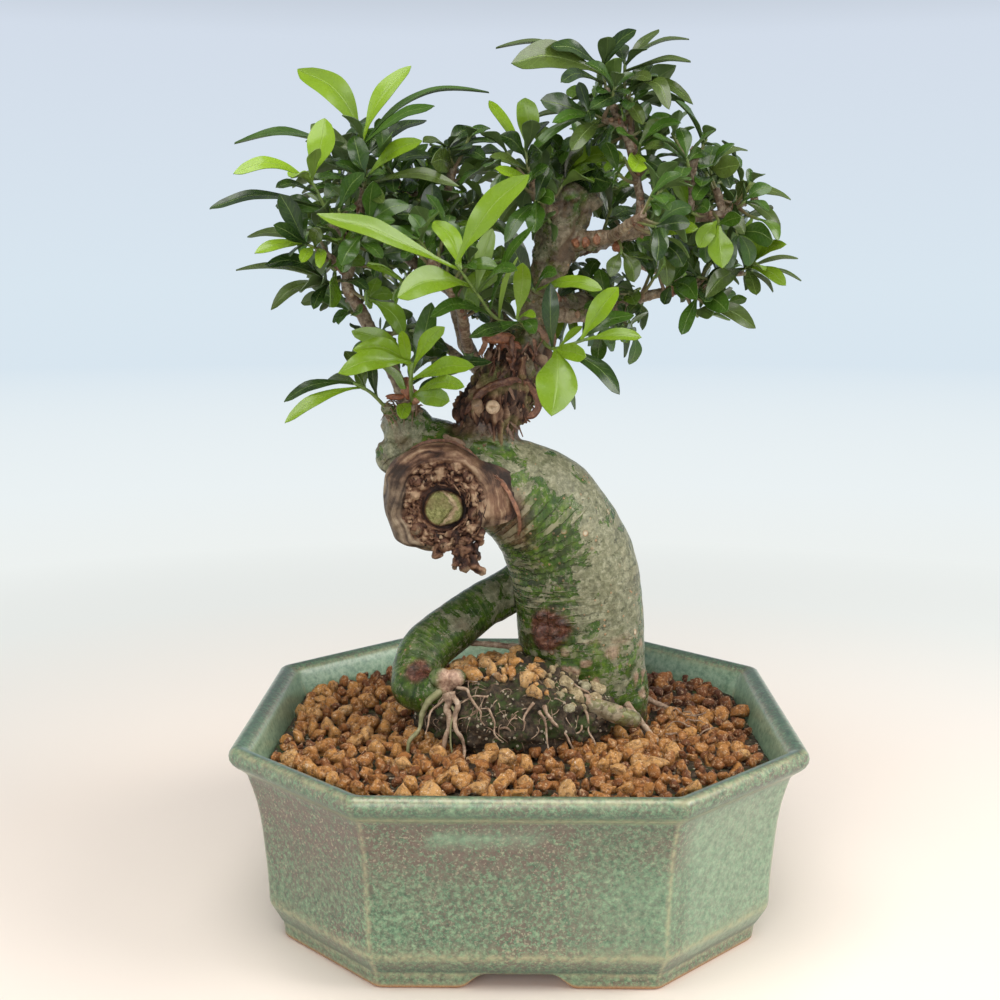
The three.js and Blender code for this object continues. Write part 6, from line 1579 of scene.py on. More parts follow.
def fine_root_mesh():
    """Fine roots: those that hang over the root ball, and a few that creep over the granules."""
    paths = [spline(rows, 1.2) for rows in FINE_ROOTS]
    for path in paths[1:]:
        path[:, 3] *= 0.5
    for k, (start, stop, radius) in enumerate(HANGING_ROOTS):
        paths.append(spline(soft_root(start, stop, radius, -1.5, 300 + 5 * k), 1.0))
    random = seeded(31)
    for k in range(BALL_ROOTS):
        start = on_ball(-2.7 + 2.4 * random(), 0.1 + 0.75 * random())
        run = 4 + 12 * random() ** 1.6
        turn = -1.57 + 2.6 * (random() - 0.5)
        end = start + [run * math.cos(turn), 0, run * math.sin(turn)]
        share = (end - BALL_CENTRE) / BALL_HALF
        end = BALL_CENTRE + share / np.linalg.norm(share) * (BALL_HALF + 1.2)
        paths.append(spline(soft_root(start, end, 0.18 + 0.4 * random() ** 4, -0.8, 100 + k), 0.9))
    for k in range(CREEPING_ROOTS):
        x, y = 50 + 32 * random(), -34 + 50 * random()
        z = soil_height(x, y) + 3.2
        end = [x + 22 * (random() - 0.5), y + 18 * (random() - 0.5), z - 1.5]
        paths.append(spline(soft_root([x, y, z + 1], end, 0.4, -1, 200 + k), 1.2))
    parts = []
    for k, path in enumerate(paths):
        sides = 10 if path[0, 3] > 0.9 else 6
        path[:, 3] *= 1 + 0.25 * noise(path[:, :3], 1.8, 44)
        parts.append((*tube(path, sides)[:2], {"green": 0.6 if k in GREEN_ROOTS else 0.0}))
    return merged_mesh("fine_roots", parts)


def root_ball_mesh():
    """The old root ball with the crumbs and hollows of its soil."""
    points, faces = ball(BALL_CENTRE, BALL_HALF, 6)
    ways = (points - BALL_CENTRE) / BALL_HALF
    depth = 1.8 * layers(points, 9, 2, 70) + 2.0 * layers(points, 3.6, 3, 71)
    depth = depth + 2.4 * np.abs(noise(points, 3.0, 73))
    return mesh_of("root_ball", points + ways * depth[:, None], faces)


# Leaves: the placed ones and the small pairs by the same seeded rule as the solids, then small inner leaves

LEAF_CLEAR, WOOD_CLEAR, WHORL_STEP, OWN_SHOOT = 2.5, 1.4, 0.045, 0.6
PLACED_FULLNESS, PLACED_TRIES, PLACED_SHIFT = 1.08, 9, 3
PAIRED_WIDTH, PAIRED_RISE, PAIRED_TRIES = 0.37, 0.06, 14
LEAF_FORWARD, LEAF_BLUNT = 1.3, 0.75
# Faces along and across a blade, and the width from which a leaf counts as large
LARGE_LEAF_STEPS, SMALL_LEAF_STEPS, LARGE_LEAF_WIDTH = (20, 6), (12, 4), 6
# Tone of young shoots, radius of the inner twigs and where the back of the crown starts
YOUNG_TONE, TWIG_RADIUS, BACK_FROM = 2, 0.75, 12
VIEW_DISTANCE, VIEW_HEIGHT = 555, 251
UPWARD = np.array([0.0, 0.0, 1.0])
WOOD_ROWS = [TRUNK, SCAR_STUB, UPPER_TRUNK, *LIMBS.values()]
WOOD_FROM = np.array([row for rows in WOOD_ROWS for row in rows[:-1]], float)
WOOD_TO = np.array([row for rows in WOOD_ROWS for row in rows[1:]], float)


def leaf_frame(leaf):
    """Directions of a leaf: along it, out of its upper face, to its side and upwards across it."""
    along = leaf["tip"] - leaf["base"]
    length = np.linalg.norm(along)
    along = along / length
    face = unit(leaf["face"] - along * (leaf["face"] @ along))
    side = np.cross(along, face)
    up = UPWARD - along * along[2]
    if np.linalg.norm(up) < 0.3:
        up = face
    return along, length, face, side, unit(up)


def leaf_share(place):
    """Share of the full width along a leaf, from its stalk to its tip."""
    place = np.asarray(place, float)
    swell = np.sin(math.pi * np.maximum((place - 0.08) / 0.95, 0) ** LEAF_FORWARD)
    full = np.maximum(0.12, np.maximum(swell, 0) ** LEAF_BLUNT)
    return np.where(place < 0.14, 0.2 + place * 0.3, full)


def leaf_points(leaf):
    """Points over a leaf, for keeping leaves clear of each other and of the wood."""
    _, _, face, side, up = leaf_frame(leaf)
    points = []
    for place in (0.18, 0.32, 0.46, 0.6, 0.74, 0.88, 1):
        half = (0 if place == 1 else float(leaf_share(place))) * leaf["width"] * 0.5
        middle = leaf["base"] + (leaf["tip"] - leaf["base"]) * place
        middle = middle + up * 4 * place * (1 - place) * leaf["rise"]
        for across in (-0.8, 0, 0.8) if half > 1.5 else (0,):
            points.append(middle + side * across * half + face * abs(across) * half * 0.2)
    return np.array(points)


def wood_gap(points):
    """Nearest distance from each point to the skin of the limbs."""
    step = (WOOD_TO - WOOD_FROM)[:, :3]
    offset = points[:, None] - WOOD_FROM[None, :, :3]
    share = np.clip((offset * step).sum(axis=2) / (step**2).sum(axis=1), 0, 1)
    away = np.linalg.norm(offset - share[:, :, None] * step, axis=2)
    return (away - WOOD_FROM[:, 3] - share * (WOOD_TO - WOOD_FROM)[:, 3]).min(axis=1)


def seen(points):
    """Points as the viewer in front sees them, drawn back to the plane of the trunk."""
    shrink = VIEW_DISTANCE / (VIEW_DISTANCE + points[:, 1])
    return points[:, 0] * shrink, VIEW_HEIGHT + (points[:, 2] - VIEW_HEIGHT) * shrink


def inside_pads(points, grow=0.0):
    """Which points lie inside the outline of the crown, as the viewer in front sees them."""
    x, z = seen(points)
    return np.any([np.hypot(x - px, z - pz) < radius + grow for px, pz, radius in PADS], axis=0)


def in_clearing(points):
    """Which points would stand before the parts of the wood that stay in view."""
    x, z = seen(points)
    bare = [(x > x0) & (x < x1) & (z > z0) & (z < z1) for x0, x1, z0, z1 in CLEARINGS]
    return (points[:, 1] < 2) & np.any(bare, axis=0)


def stem_at(stem, place):
    """A point and the direction of growth at a place between 0 and 1 on a shoot's stem."""
    spot = min(place, 0.999) * (len(stem) - 1)
    row = math.floor(spot)
    start, stop = np.array(stem[row], float), np.array(stem[row + 1], float)
    return start + (stop - start) * (spot - row), unit(stop - start)


def rooted_at(point, growth, along, girth):
    """Where a leaf starts on a stem of this radius."""
    outward = unit(along - growth * (along @ growth))
    return point + outward * girth * 0.55 - along * 0.4


def placed_leaf(stem, girth, row, order, attempt):
    """A leaf that was placed one by one, drawn a little nearer or farther if its place is taken."""
    spot, x, y, z, width, rise, turn, tone = row
    shift = math.ceil(attempt / 2) * (-PLACED_SHIFT if attempt % 2 else PLACED_SHIFT)
    tip = np.array([x, y + shift, z], float)
    point, growth = stem_at(stem, max(spot - WHORL_STEP * order, 0.05))
    along = unit(tip - point)
    base = rooted_at(point, growth, along, girth)
    up = unit(UPWARD - along * along[2])
    front = unit(np.array([0.0, -1, 0]) + along * along[1])
    angle = math.radians(turn)
    face = up * math.cos(angle) + front * math.sin(angle)
    return {
        "base": base, "tip": tip, "face": face, "width": width * PLACED_FULLNESS, "rise": rise, "tone": tone,
    }


def paired_leaf(stem, girth, pairs, length, tone, pair, half, draws, attempt):
    """One of the small leaves that stand in crossed pairs up a stem."""
    point, growth = stem_at(stem, 0.97 - 0.85 * pair / pairs)
    turn = draws[0] * 0.6 + pair * 1.57 + half * math.pi + attempt * 0.41
    lean = 0.65 + 0.9 * pair / pairs + draws[1] * 0.25 + attempt * 0.06
    level = UPWARD if abs(growth[2]) < 0.9 else np.array([0.0, 1, 0])
    first = unit(np.cross(level, growth))
    second = np.cross(growth, first)
    outward = first * math.cos(turn) + second * math.sin(turn)
    along = growth * math.cos(lean) + outward * math.sin(lean)
    reach = length * (0.62 + 0.42 * draws[2]) * 0.95**attempt
    base = rooted_at(point, growth, along, girth)
    tip = base + along * reach + UPWARD * reach * (0.12 - 0.2 * draws[3])
    face = growth + [0, -0.25, 0.6]
    width = reach * (PAIRED_WIDTH + 0.1 * draws[4])
    return {"base": base, "tip": tip, "face": face, "width": width, "rise": reach * PAIRED_RISE, "tone": tone}


class Taken:
    """Points that stems and leaves already take up, with the shoot that each belongs to."""

    def __init__(self):
        self.spots = np.empty((0, 3))
        self.shoots = np.empty(0, int)
        self.stems = np.empty(0, bool)

    def add(self, points, shoot, stem=False):
        """Takes up the points for a shoot, as its stem or as one of its leaves."""
        self.spots = np.vstack([self.spots, points])
        self.shoots = np.append(self.shoots, np.full(len(points), shoot))
        self.stems = np.append(self.stems, np.full(len(points), stem))

    def clear_of(self, points, shoot, room):
        """Whether points keep this far from other shoots, and a smaller gap from leaves of their own."""
        own = self.shoots == shoot
        gaps = np.linalg.norm(points[:, None] - self.spots[None], axis=2)
        if len(gaps[:, ~own]) and (gaps[:, ~own] < room).any():
            return False
        near = gaps[4:, own & ~self.stems]
        return not (near < room * OWN_SHOOT).any()


def grown_leaves():
    """Every leaf of every shoot, by the same rule and the same random numbers as the solids."""
    leaves = [[] for _ in SHOOTS]
    taken = Taken()
    for shoot, row in enumerate(SHOOTS):
        taken.add(np.array([stem_at(row[5], k / 6)[0] for k in range(7)]), shoot, True)
    for shoot, (_, girth, _, _, _, stem, placed) in enumerate(SHOOTS):
        for order, row in enumerate(placed):
            leaf = placed_leaf(stem, girth, row, order, 0)
            for attempt in range(PLACED_TRIES):
                trial = placed_leaf(stem, girth, row, order, attempt)
                points = leaf_points(trial)
                free = (wood_gap(points[3:]) >= WOOD_CLEAR).all()
                if free and taken.clear_of(points, shoot, LEAF_CLEAR):
                    leaf = trial
                    break
            leaves[shoot].append(leaf)
            taken.add(leaf_points(leaf), shoot)
    for shoot, (_, girth, pairs, length, tone, stem, _) in enumerate(SHOOTS):
        random = seeded(1000 + shoot)
        for pair in range(pairs):
            for half in (0, 1):
                draws = [random() for _ in range(5)]
                for attempt in range(PAIRED_TRIES):
                    trial = paired_leaf(stem, girth, pairs, length, tone, pair, half, draws, attempt)
                    points = leaf_points(trial)
                    free = (inside_pads(points) & ~in_clearing(points)).all()
                    free = free and (wood_gap(points[2:]) >= WOOD_CLEAR).all()
                    if free and taken.clear_of(points, shoot, LEAF_CLEAR):
                        leaves[shoot].append(trial)
                        taken.add(points, shoot)
                        break
    return leaves, taken


# Small inner leaves: limbs without any, twigs to try, leaves tried on each, the number of the first twig
# in the list of taken points, least gaps to other leaves and to the wood
BARE_LIMBS = ("lower_left", "lower_left_fork", "pale_stub")
SPRAY_TRIES, SPRAY_LEAVES, FIRST_SPRAY = 900, 7, 900
HEAD_CLEAR, HEAD_WOOD_CLEAR, INNER_CLEAR, INNER_WOOD_CLEAR = 2.2, 1.5, 1.5, 0.8


def inner_sprays(taken):
    """Small leaves in rosettes on short twigs along the branches, wherever they find room."""
    random = seeded(77)
    sprays = []
    limbs = [rows for name, rows in LIMBS.items() if name not in BARE_LIMBS]
    weights = np.cumsum([np.linalg.norm(np.subtract(rows[-1][:3], rows[0][:3])) for rows in limbs])
    for spray in range(FIRST_SPRAY, FIRST_SPRAY + SPRAY_TRIES):
        rows = limbs[int(np.searchsorted(weights, random() * weights[-1]))]
        spot = (0.3 + 0.7 * random()) * (len(rows) - 1)
        row = min(int(spot), len(rows) - 2)
        root = np.array(rows[row][:3]) + np.subtract(rows[row + 1][:3], rows[row][:3]) * (spot - row)
        way = unit([random() - 0.5, random() - 0.5, random() - 0.35])
        reach = 5 + 13 * random()
        head = root + way * reach
        draws = [random() for _ in range(16)]
        if not inside_pads(head[None], 2).all() or in_clearing(head[None]).any():
            continue
        if wood_gap(head[None])[0] < HEAD_WOOD_CLEAR or not taken.clear_of(head[None], spray, HEAD_CLEAR):
            continue
        first = unit(np.cross(way, [0.3, 0.5, 0.8]))
        second = np.cross(way, first)
        kept = []
        for k in range(SPRAY_LEAVES):
            turn = draws[0] * 6 + k * 2.4
            lean = 0.55 + 0.13 * k + 0.3 * draws[k + 1]
            along = way * math.cos(lean) + (first * math.cos(turn) + second * math.sin(turn)) * math.sin(lean)
            along = unit(along + [0, -0.1, 0.15])
            size = (9 + 11 * draws[8 + k]) * (1 if k < 4 else 0.75)
            base = head - way * (0.6 * k)
            leaf = {
                "base": base, "tip": base + along * size, "face": way + [0, -0.3, 0.5],
                "width": size * (0.38 + 0.14 * draws[k + 1]), "rise": size * 0.08,
                "tone": 0.15 + 1.1 * draws[15] + 0.3 * draws[8 + k],
            }
            points = leaf_points(leaf)
            free = (inside_pads(points, 1) & ~in_clearing(points)).all()
            free = free and (wood_gap(points[2:]) >= INNER_WOOD_CLEAR).all()
            if free and taken.clear_of(points, spray, INNER_CLEAR):
                kept.append(leaf)
                taken.add(points, spray)
        if len(kept) > 1:
            sprays.append(([root, (root + head) / 2 + [0, 0, -0.8], head], kept))
    return sprays


def leaf_sheet(leaf, number, stations, across_steps):
    """One leaf as a thin closed blade: points, faces, the marks of its finish, UV and its rim."""
    _, length, face, side, up = leaf_frame(leaf)
    random = seeded(int(abs(leaf["tip"][0] * 7 + leaf["tip"][2] * 13) * 10) + number)
    phase, waves, sway = 6.28 * random(), 1.1 + 1.1 * random(), (random() - 0.5) * 0.07
    droop, shade, pointed = 0.04 + 0.1 * random(), random(), random()
    trough, curl = 0.16 + 0.22 * random(), 0.25 * (random() - 0.35)
    large = smooth_step(leaf["width"], 4.5, 9)
    half_width = leaf["width"] * (0.5 + 0.03 * (1 - large))
    edge_wave = (0.03 + 0.08 * large * random()) * leaf["width"]
    place = 1 - (1 - np.linspace(0, 1, stations + 1)) ** 1.25
    share = leaf_share(place)
    share = np.where(place < 0.14, 0.12 + 0.75 * place, share)
    share = np.minimum(share, 0.12 + 1.9 * place)
    acute = (1 - np.clip((place - 0.6) / 0.4, 0, 1) ** 1.6) ** 0.9
    share = share * (1 - pointed * large * (1 - acute) * 0.4)
    share = share ** (1 - 0.5 * (1 - pointed) * smooth_step(place, 0.35, 0.8))
    share = share * np.sqrt(np.clip((1 - place) / 0.09, 0, 1)) ** (1 - 0.3 * pointed)
    share[-1] = 0.02
    share[:2] = np.maximum(share[:2], 0.5 / max(half_width, 0.5))
    across = np.linspace(-1, 1, across_steps + 1)
    grid_place, grid_across = np.meshgrid(place, across, indexing="ij")
    half = (share * half_width)[:, None] * grid_across
    middle = leaf["base"] + (leaf["tip"] - leaf["base"]) * place[:, None]
    bend = 4 * place * (1 - place) * leaf["rise"] - droop * length * smooth_step(place, 0.6, 1) * 0.5
    middle = middle + up * bend[:, None] + side * (sway * length * np.sin(math.pi * place) * 2)[:, None]
    fold = trough * np.abs(half) * (1 - 0.4 * grid_place) + curl * half * grid_place
    swell = np.sin(math.pi * np.clip((grid_place - 0.1) / 0.9, 0, 1))
    wave = edge_wave * np.abs(grid_across) ** 1.6 * swell
    wave = wave * np.sin(grid_place * waves * 6.28 + phase + 2.2 * (grid_across > 0))
    lift = fold + wave
    body = middle[:, None] + side * half[..., None]
    thick = 0.5 * (0.35 + 0.65 * swell * (1 - 0.55 * np.abs(grid_across)))
    thick = np.maximum(thick, 0.3)
    top = (body + face * (lift + thick * 0.5)[..., None]).reshape(-1, 3)
    low = (body + face * (lift - thick * 0.5)[..., None]).reshape(-1, 3)
    rib = 0.5 + 0.45 * (1 - place)
    low = low.reshape(stations + 1, across_steps + 1, 3)
    low[:, across_steps // 2] -= face * (rib * min(leaf["width"] / 9, 1))[:, None]
    low = low.reshape(-1, 3)
    wide = across_steps + 1
    count = len(top)
    faces = []
    for row in range(stations):
        for column in range(across_steps):
            a = row * wide + column
            faces.append((a, a + wide, a + wide + 1, a + 1))
            faces.append((count + a, count + a + 1, count + a + wide + 1, count + a + wide))
    corners = [row * wide for row in range(stations + 1)]
    corners += [stations * wide + column for column in range(1, wide)]
    corners += [row * wide + across_steps for row in range(stations - 1, -1, -1)]
    corners += list(range(across_steps - 1, 0, -1))
    rim = list(zip(corners, corners[1:] + corners[:1]))
    faces += [(b, a, count + a, count + b) for a, b in rim]
    rim += [(a + count, b + count) for a, b in rim]
    flat = np.column_stack([(grid_across.ravel() + 1) / 2, grid_place.ravel()])
    marks = {"tone": leaf["tone"], "shade": shade, "under": np.repeat([0.0, 1.0], count)}
    return np.vstack([top, low]), faces, marks, np.vstack([flat, flat]), rim


def foliage_mesh(name, leaves, fine=True):
    """Many leaves as one mesh, shaded smoothly up to their sharp rims."""
    parts, sharp, start = [], set(), 0
    for number, leaf in enumerate(leaves):
        steps = LARGE_LEAF_STEPS if fine and leaf["width"] > LARGE_LEAF_WIDTH else SMALL_LEAF_STEPS
        part = leaf_sheet(leaf, number, *steps)
        parts.append(part)
        sharp |= {(min(edge) + start, max(edge) + start) for edge in part[4]}
        start += len(part[0])
    mesh = merged_mesh(name, parts, np.vstack([part[3] for part in parts]))
    ends = np.empty(len(mesh.edges) * 2, np.int32)
    mesh.edges.foreach_get("vertices", ends)
    flags = [tuple(sorted(pair)) in sharp for pair in ends.reshape(-1, 2).tolist()]
    layer = mesh.attributes.new("sharp_edge", "BOOLEAN", "EDGE")
    layer.data.foreach_set("value", flags)
    return mesh


def stem_mesh(name, stems):
    """Young stems with swollen nodes; each is rows of points, a start radius and how woody it is."""
    parts = []
    for rows, girth, wood in stems:
        rows = np.asarray(rows, float)
        taper = girth * (1 - 0.1 * np.arange(len(rows)))
        path = spline(np.column_stack([rows, taper]), 1.5)
        bumps = np.maximum(np.sin(np.arange(len(path)) * 1.4), 0) ** 6
        path[:, 3] *= 1 + 0.22 * bumps
        spots, faces, runs = tube(path, 8)
        parts.append((spots, faces, {"woody": np.clip(wood * (1.2 - runs / max(runs[-1], 1)), 0, 1)}))
    return merged_mesh(name, parts)


# Dry bits: torn strips of bark, flakes, bud scales and withered stalks

# Across a strip: share of its half width and how far it curls up there, the outer side first
STRIP_SECTION = [(-1, 0.3), (-0.4, 0.05), (0.4, 0.05), (1, 0.3), (0.4, 0.05), (-0.4, 0.05)]


def ribbon(rows, width, facing, thick=0.35, twist=0.0, seed=0, ragged=0.35):
    """A torn strip of bark along points, its broad side to facing: closed, curled and ragged."""
    rows = np.asarray(rows, float)
    path = spline(np.column_stack([rows, np.ones(len(rows))]), 0.8)[:, :3]
    ahead = np.gradient(path, axis=0)
    ahead /= np.linalg.norm(ahead, axis=1)[:, None]
    out = np.cross(ahead, facing)
    out /= np.maximum(np.linalg.norm(out, axis=1), 0.05)[:, None]
    face = np.cross(out, ahead)
    share = np.linspace(0, 1, len(path))
    angle = twist * (share - 0.5) + 0.5 * noise(path, 8, seed)
    out, face = (out * np.cos(angle)[:, None] + face * np.sin(angle)[:, None],
                 face * np.cos(angle)[:, None] - out * np.sin(angle)[:, None])
    half = width / 2 * np.minimum(1, 5 * np.minimum(share + 0.05, 1.05 - share))
    points = []
    for k, (across, lift) in enumerate(STRIP_SECTION):
        edge = 1 + ragged * noise(path + 7 * np.sign(across), 1.5, seed + 1) * (abs(across) == 1)
        height = lift * half - (thick if k > 3 else 0)
        points.append(path + out * (across * half * edge)[:, None] + face * height[:, None])
    count = len(STRIP_SECTION)
    points = np.stack(points, axis=1).reshape(-1, 3)
    faces = ring_faces(len(path), count)
    last = (len(path) - 1) * count
    faces.append(tuple(reversed(range(count))))
    faces.append(tuple(last + k for k in range(count)))
    return points, faces


def flake(spot, outwards, along, length, width, lift, seed):
    """A thin chip of bark that lies along the wood and stands off it at one end."""
    outwards, along = unit(outwards), unit(along)
    rows = []
    for share in (0, 0.3, 0.6, 0.85, 1):
        rows.append(spot + along * (share - 0.5) * length + outwards * (lift * share**2 - 0.3))
    return ribbon(rows, width, outwards, 0.35, 0.8, seed, 0.7)


# Torn strips: points, width, twist, how pale and how red-brown
STRIPS = [
    ([
        [-47.6, -24, 178.4], [-45.6, -18, 182.6], [-41.6, -17.4, 185.4], [-37.5, -18, 187.9],
        [-32.9, -19.2, 189.1], [-28.7, -20.3, 189.1], [-24.5, -21.8, 187.8], [-20, -23.4, 185.9],
    ], 2.0, 0.3, 0.2, 0.4),
    ([
        [-28, -21.6, 188.4], [-24, -23, 186.8], [-19.6, -24.4, 184.8], [-15.2, -25.6, 182],
        [-12.2, -26.6, 180.2], [-9.2, -27.4, 178.2], [-6.9, -27.9, 175.8],
    ], 1.8, 0.5, 0.25, 0.5),
    ([
        [-11, -27.2, 179.2], [-7, -27.9, 176.2], [-5.4, -28, 174], [-3.6, -27.6, 171],
        [-2.2, -27.4, 168], [-0.8, -26.8, 165], [0.3, -26.2, 161.5],
    ], 1.9, 0.3, 0.12, 0.7),
    ([
        [-1.4, -27, 166.6], [-0.2, -26.3, 162.6], [0.4, -24.7, 158], [-0.3, -22.6, 154.1],
    ], 1.5, 0.5, 0.15, 0.5),
    ([
        [-46, -20, 184], [-40, -20.4, 189.2], [-33, -21.4, 191.4], [-26, -22.8, 191],
        [-20.4, -24.2, 188.2], [-15.4, -25.4, 184.6],
    ], 1.3, 0.6, 0.1, 0.5),
    ([
        [-19, -26.4, 183.6], [-14, -27.4, 180.6], [-10, -28.2, 176.8], [-7.4, -28.6, 171.8],
    ], 1.2, 0.6, 0.05, 0.8),
    ([
        [-21.4, -17.4, 201.2], [-17.2, -18.2, 206.7], [-13.8, -18.6, 210.9], [-8, -19.8, 213.3],
        [-1.5, -18.6, 214.9], [0.9, -17.6, 213.9],
    ], 3.4, 0.4, 0.0, 0.2),
    ([
        [1.6, -16, 214.4], [5.1, -14.4, 211], [7.3, -13.2, 205.7], [6, -13, 201.3], [0.4, -13, 200.3],
    ], 2.8, 0.6, 0.05, 0.4),
    ([[-9, -11, 226.6], [-6, -13, 228.4], [-2, -13, 228.2], [1, -12, 226.8]], 2.8, 0.4, 0.05, 0.8),
    ([[-16, -9, 224], [-13.6, -12, 228], [-13.8, -12, 233]], 2.2, 0.8, 0.25, 0.8),
    ([[5, -10, 237], [9, -10, 233], [11, -9, 228]], 2.6, 0.8, 0.25, 0.4),
    ([[9, -8, 238], [13, -7, 233], [14, -6, 227]], 2.2, -0.8, 0.3, 0.3),
    ([[-30, -18, 193], [-25, -20, 191], [-21, -21, 189.6]], 2.6, 0.5, 0.4, 0.3),
]


def dry_bits_mesh():
    """All dry bits as one mesh."""
    parts = []

    def keep(part, pale, warm):
        parts.append((*part[:2], {"pale": pale, "warm": warm}))

    for k, (rows, width, twist, tint, warm) in enumerate(STRIPS):
        keep(ribbon(rows, width, [0.1, -1, 0.25], 0.4, twist, k), tint, warm)
    random = seeded(91)
    for k in range(FLAKES):
        turn, rise = -math.pi * (0.02 + 0.96 * random()), 193 + 36 * random()
        lean, reach = 0.32 * (rise - 200), 14.2 - 0.09 * (rise - 192)
        middle = np.array([-10 + lean, -6.5, rise])
        way = np.array([math.cos(turn), 0.85 * math.sin(turn), 0.2 * random() - 0.2])
        along = unit([random() - 0.5, 0.4 * (random() - 0.5), -1 + 0.6 * random()])
        spot = middle + way * reach * (0.93 + 0.1 * random())
        keep(flake(spot, way, along, 3 + 6 * random(), 0.6 + 1.2 * random(), 0.4 + 1.4 * random(), 30 + k),
             0.4 * random() ** 3, 0.5 * random())
    for _ in range(STALKS):
        x = -53 + 13 * random()
        start = np.array([x, -9 - 5 * random(), 198 + 5 * random()])
        way = unit([0.8 * (random() - 0.6), -0.5, 0.9 - 1.1 * random()])
        reach = 4 + 6 * random()
        bend = start + way * reach * 0.6
        tip = bend + unit(way + [0, 0, -0.8]) * reach * 0.5
        stalk = tube(spline([[*start, 0.42], [*bend, 0.32], [*tip, 0.12]], 1.2), 5)
        keep(stalk, 0.15 + 0.3 * random(), 0.1)
    for spot, half, tint, warm in DRY_LUMPS:
        keep(ball(spot, half, 3, 0.3, len(parts)), tint, warm)
    x, y, z, radius = CUT_STUB[-1]
    end = [[x, y + 0.1, z, radius], [x, y - 0.4, z, 0.88 * radius], [x, y - 0.3, z, 0.4 * radius]]
    sides = 20
    stub = tube(np.array([CUT_STUB[0], [x - 0.2, y + 3.5, z - 0.3, 1.04 * radius], *end]), sides, False)
    sawn = np.arange(len(stub[0])) >= 2 * sides
    keep(stub, np.where(sawn, 0.9, 0.3), np.where(sawn, 0.6, 0.2))
    keep(tube(spline(TORN_STUB, 0.8), 16, False), 0.45, 0.2)
    random = seeded(92)
    for rows in LIMBS.values():
        path = spline(rows, 4)
        for a in path[1:-1]:
            if random() > 0.5:
                continue
            way = unit([random() - 0.5, -random(), random() - 0.3])
            spot = a[:3] + way * (a[3] + 0.1)
            half = [0.6 + 0.7 * random(), 0.6 + 0.6 * random(), 0.8 + 0.9 * random()]
            keep(ball(spot, half, 1, 0.25, len(parts)), 0.6 * random(), 0.9 * random())
    return merged_mesh("dry_bits", parts)


TORN_STUB = [[-15, -13, 201, 3.2], [-16, -18, 203.6, 2.6], [-16.6, -20.4, 206.4, 2.1]]
# Bud scales and buds: middle, half sizes, how pale and how red-brown
DRY_LUMPS = [
    ([-44, -15, 211], [2.6, 2.2, 4.4], 0.1, 0.9), ([-41, -15, 208], [2.2, 2, 3], 0.3, 0.9),
    ([-49, -14, 208], [3.6, 1.4, 1.2], 0.1, 1.0), ([-45, -11, 202], [3.4, 3, 2.6], 0.5, 0.3),
    ([13, -8, 246], [2.4, 2.2, 3], 0.2, 0.6), ([22, -3, 268], [1.7, 4.8, 1.9], 0.15, 1.0),
    ([26, -7, 268], [1.6, 1.6, 2.1], 0.15, 1.0), ([30, -9, 269], [1.5, 1.6, 2], 0.2, 0.9),
    ([38, -13, 266], [2, 2, 1.8], 0.1, 1.0), ([46, -16, 275], [2.2, 2, 2.6], 0.1, 0.9),
    ([62, 12, 250], [2.6, 2.4, 3.4], 0.15, 0.8), ([67, -13, 302], [1.9, 1.8, 1.8], 0.85, 0.3),
    ([92, -4, 284], [1.6, 1.6, 2.6], 0.8, 0.3), ([-8, -14, 231], [6, 2, 2.6], 0.1, 0.8),
]


# Sizes and colours that a user may change


class PotSettings(bpy.types.PropertyGroup):
    gloss: FloatProperty(
        name="Glaze gloss", description="Strength of the clear layer on the glaze", default=0.25,
        min=0, max=1, subtype="FACTOR",
    )


class SoilSettings(bpy.types.PropertyGroup):
    smallest: FloatProperty(
        name="Smallest granule", description="Half width of the smallest granules", default=0.0021,
        min=0.0005, max=0.01, unit="LENGTH",
    )
    largest: FloatProperty(
        name="Largest granule", description="Half width of the largest granules", default=0.0043,
        min=0.001, max=0.02, unit="LENGTH",
    )
    spacing: FloatProperty(
        name="Spacing", description="Least distance between granules of one layer", default=0.0052,
        min=0.002, max=0.02, unit="LENGTH",
    )
    seed: IntProperty(name="Seed", description="Changes how the granules fall", default=4, min=0, max=999)


class TreeSettings(bpy.types.PropertyGroup):
    wetness: FloatProperty(
        name="Bark gloss", description="How much the bark reflects", default=0.4, min=0, max=1,
        subtype="FACTOR",
    )


class LeafSettings(bpy.types.PropertyGroup):
    gloss: FloatProperty(
        name="Leaf gloss", description="Strength of the waxy layer on the leaves", default=0.14, min=0, max=1,
        subtype="FACTOR",
    )


class StageSettings(bpy.types.PropertyGroup):
    floor: FloatVectorProperty(
        name="Floor", description="Colour of the floor round the pot", size=3, default=(0.93, 0.83, 0.74),
        min=0, max=1, subtype="COLOR",
    )
    sky: FloatVectorProperty(
        name="Surround", description="Colour of the far floor and of the wall behind", size=3,
        default=(0.69, 0.79, 0.87), min=0, max=1, subtype="COLOR",
    )
    light: FloatProperty(
        name="Main light", description="Power of the large light above", default=11.6, min=0, max=100,
        unit="POWER",
    )


# The camera in metres and degrees, as the photograph was taken, and the stage round the pot
CAMERA_SPOT, CAMERA_DOWN, CAMERA_LEFT = (0.00034, -0.55547, 0.2512), 8.855, 0.837
CAMERA_LENS, CAMERA_SENSOR = 49.54, 36
FLOOR_REACH, FLOOR_SIDES, FLOOR_UNDER_POT = 40.0, 64, 0.0002
# Lights: name, place, size, share of the main power, colour; all look at this height
LAMP_TARGET = (0, 0, 0.17)
LAMPS = [
    ("Main light", (-0.15, -0.35, 1.25), 0.9, 1.0, (1.0, 0.98, 0.95)),
    ("Right light", (1.0, -0.25, 0.75), 0.7, 0.8, (1.0, 0.99, 0.97)),
    ("Front light", (-0.3, -1.4, 0.6), 0.8, 0.6, (1.0, 1.0, 1.0)),
]


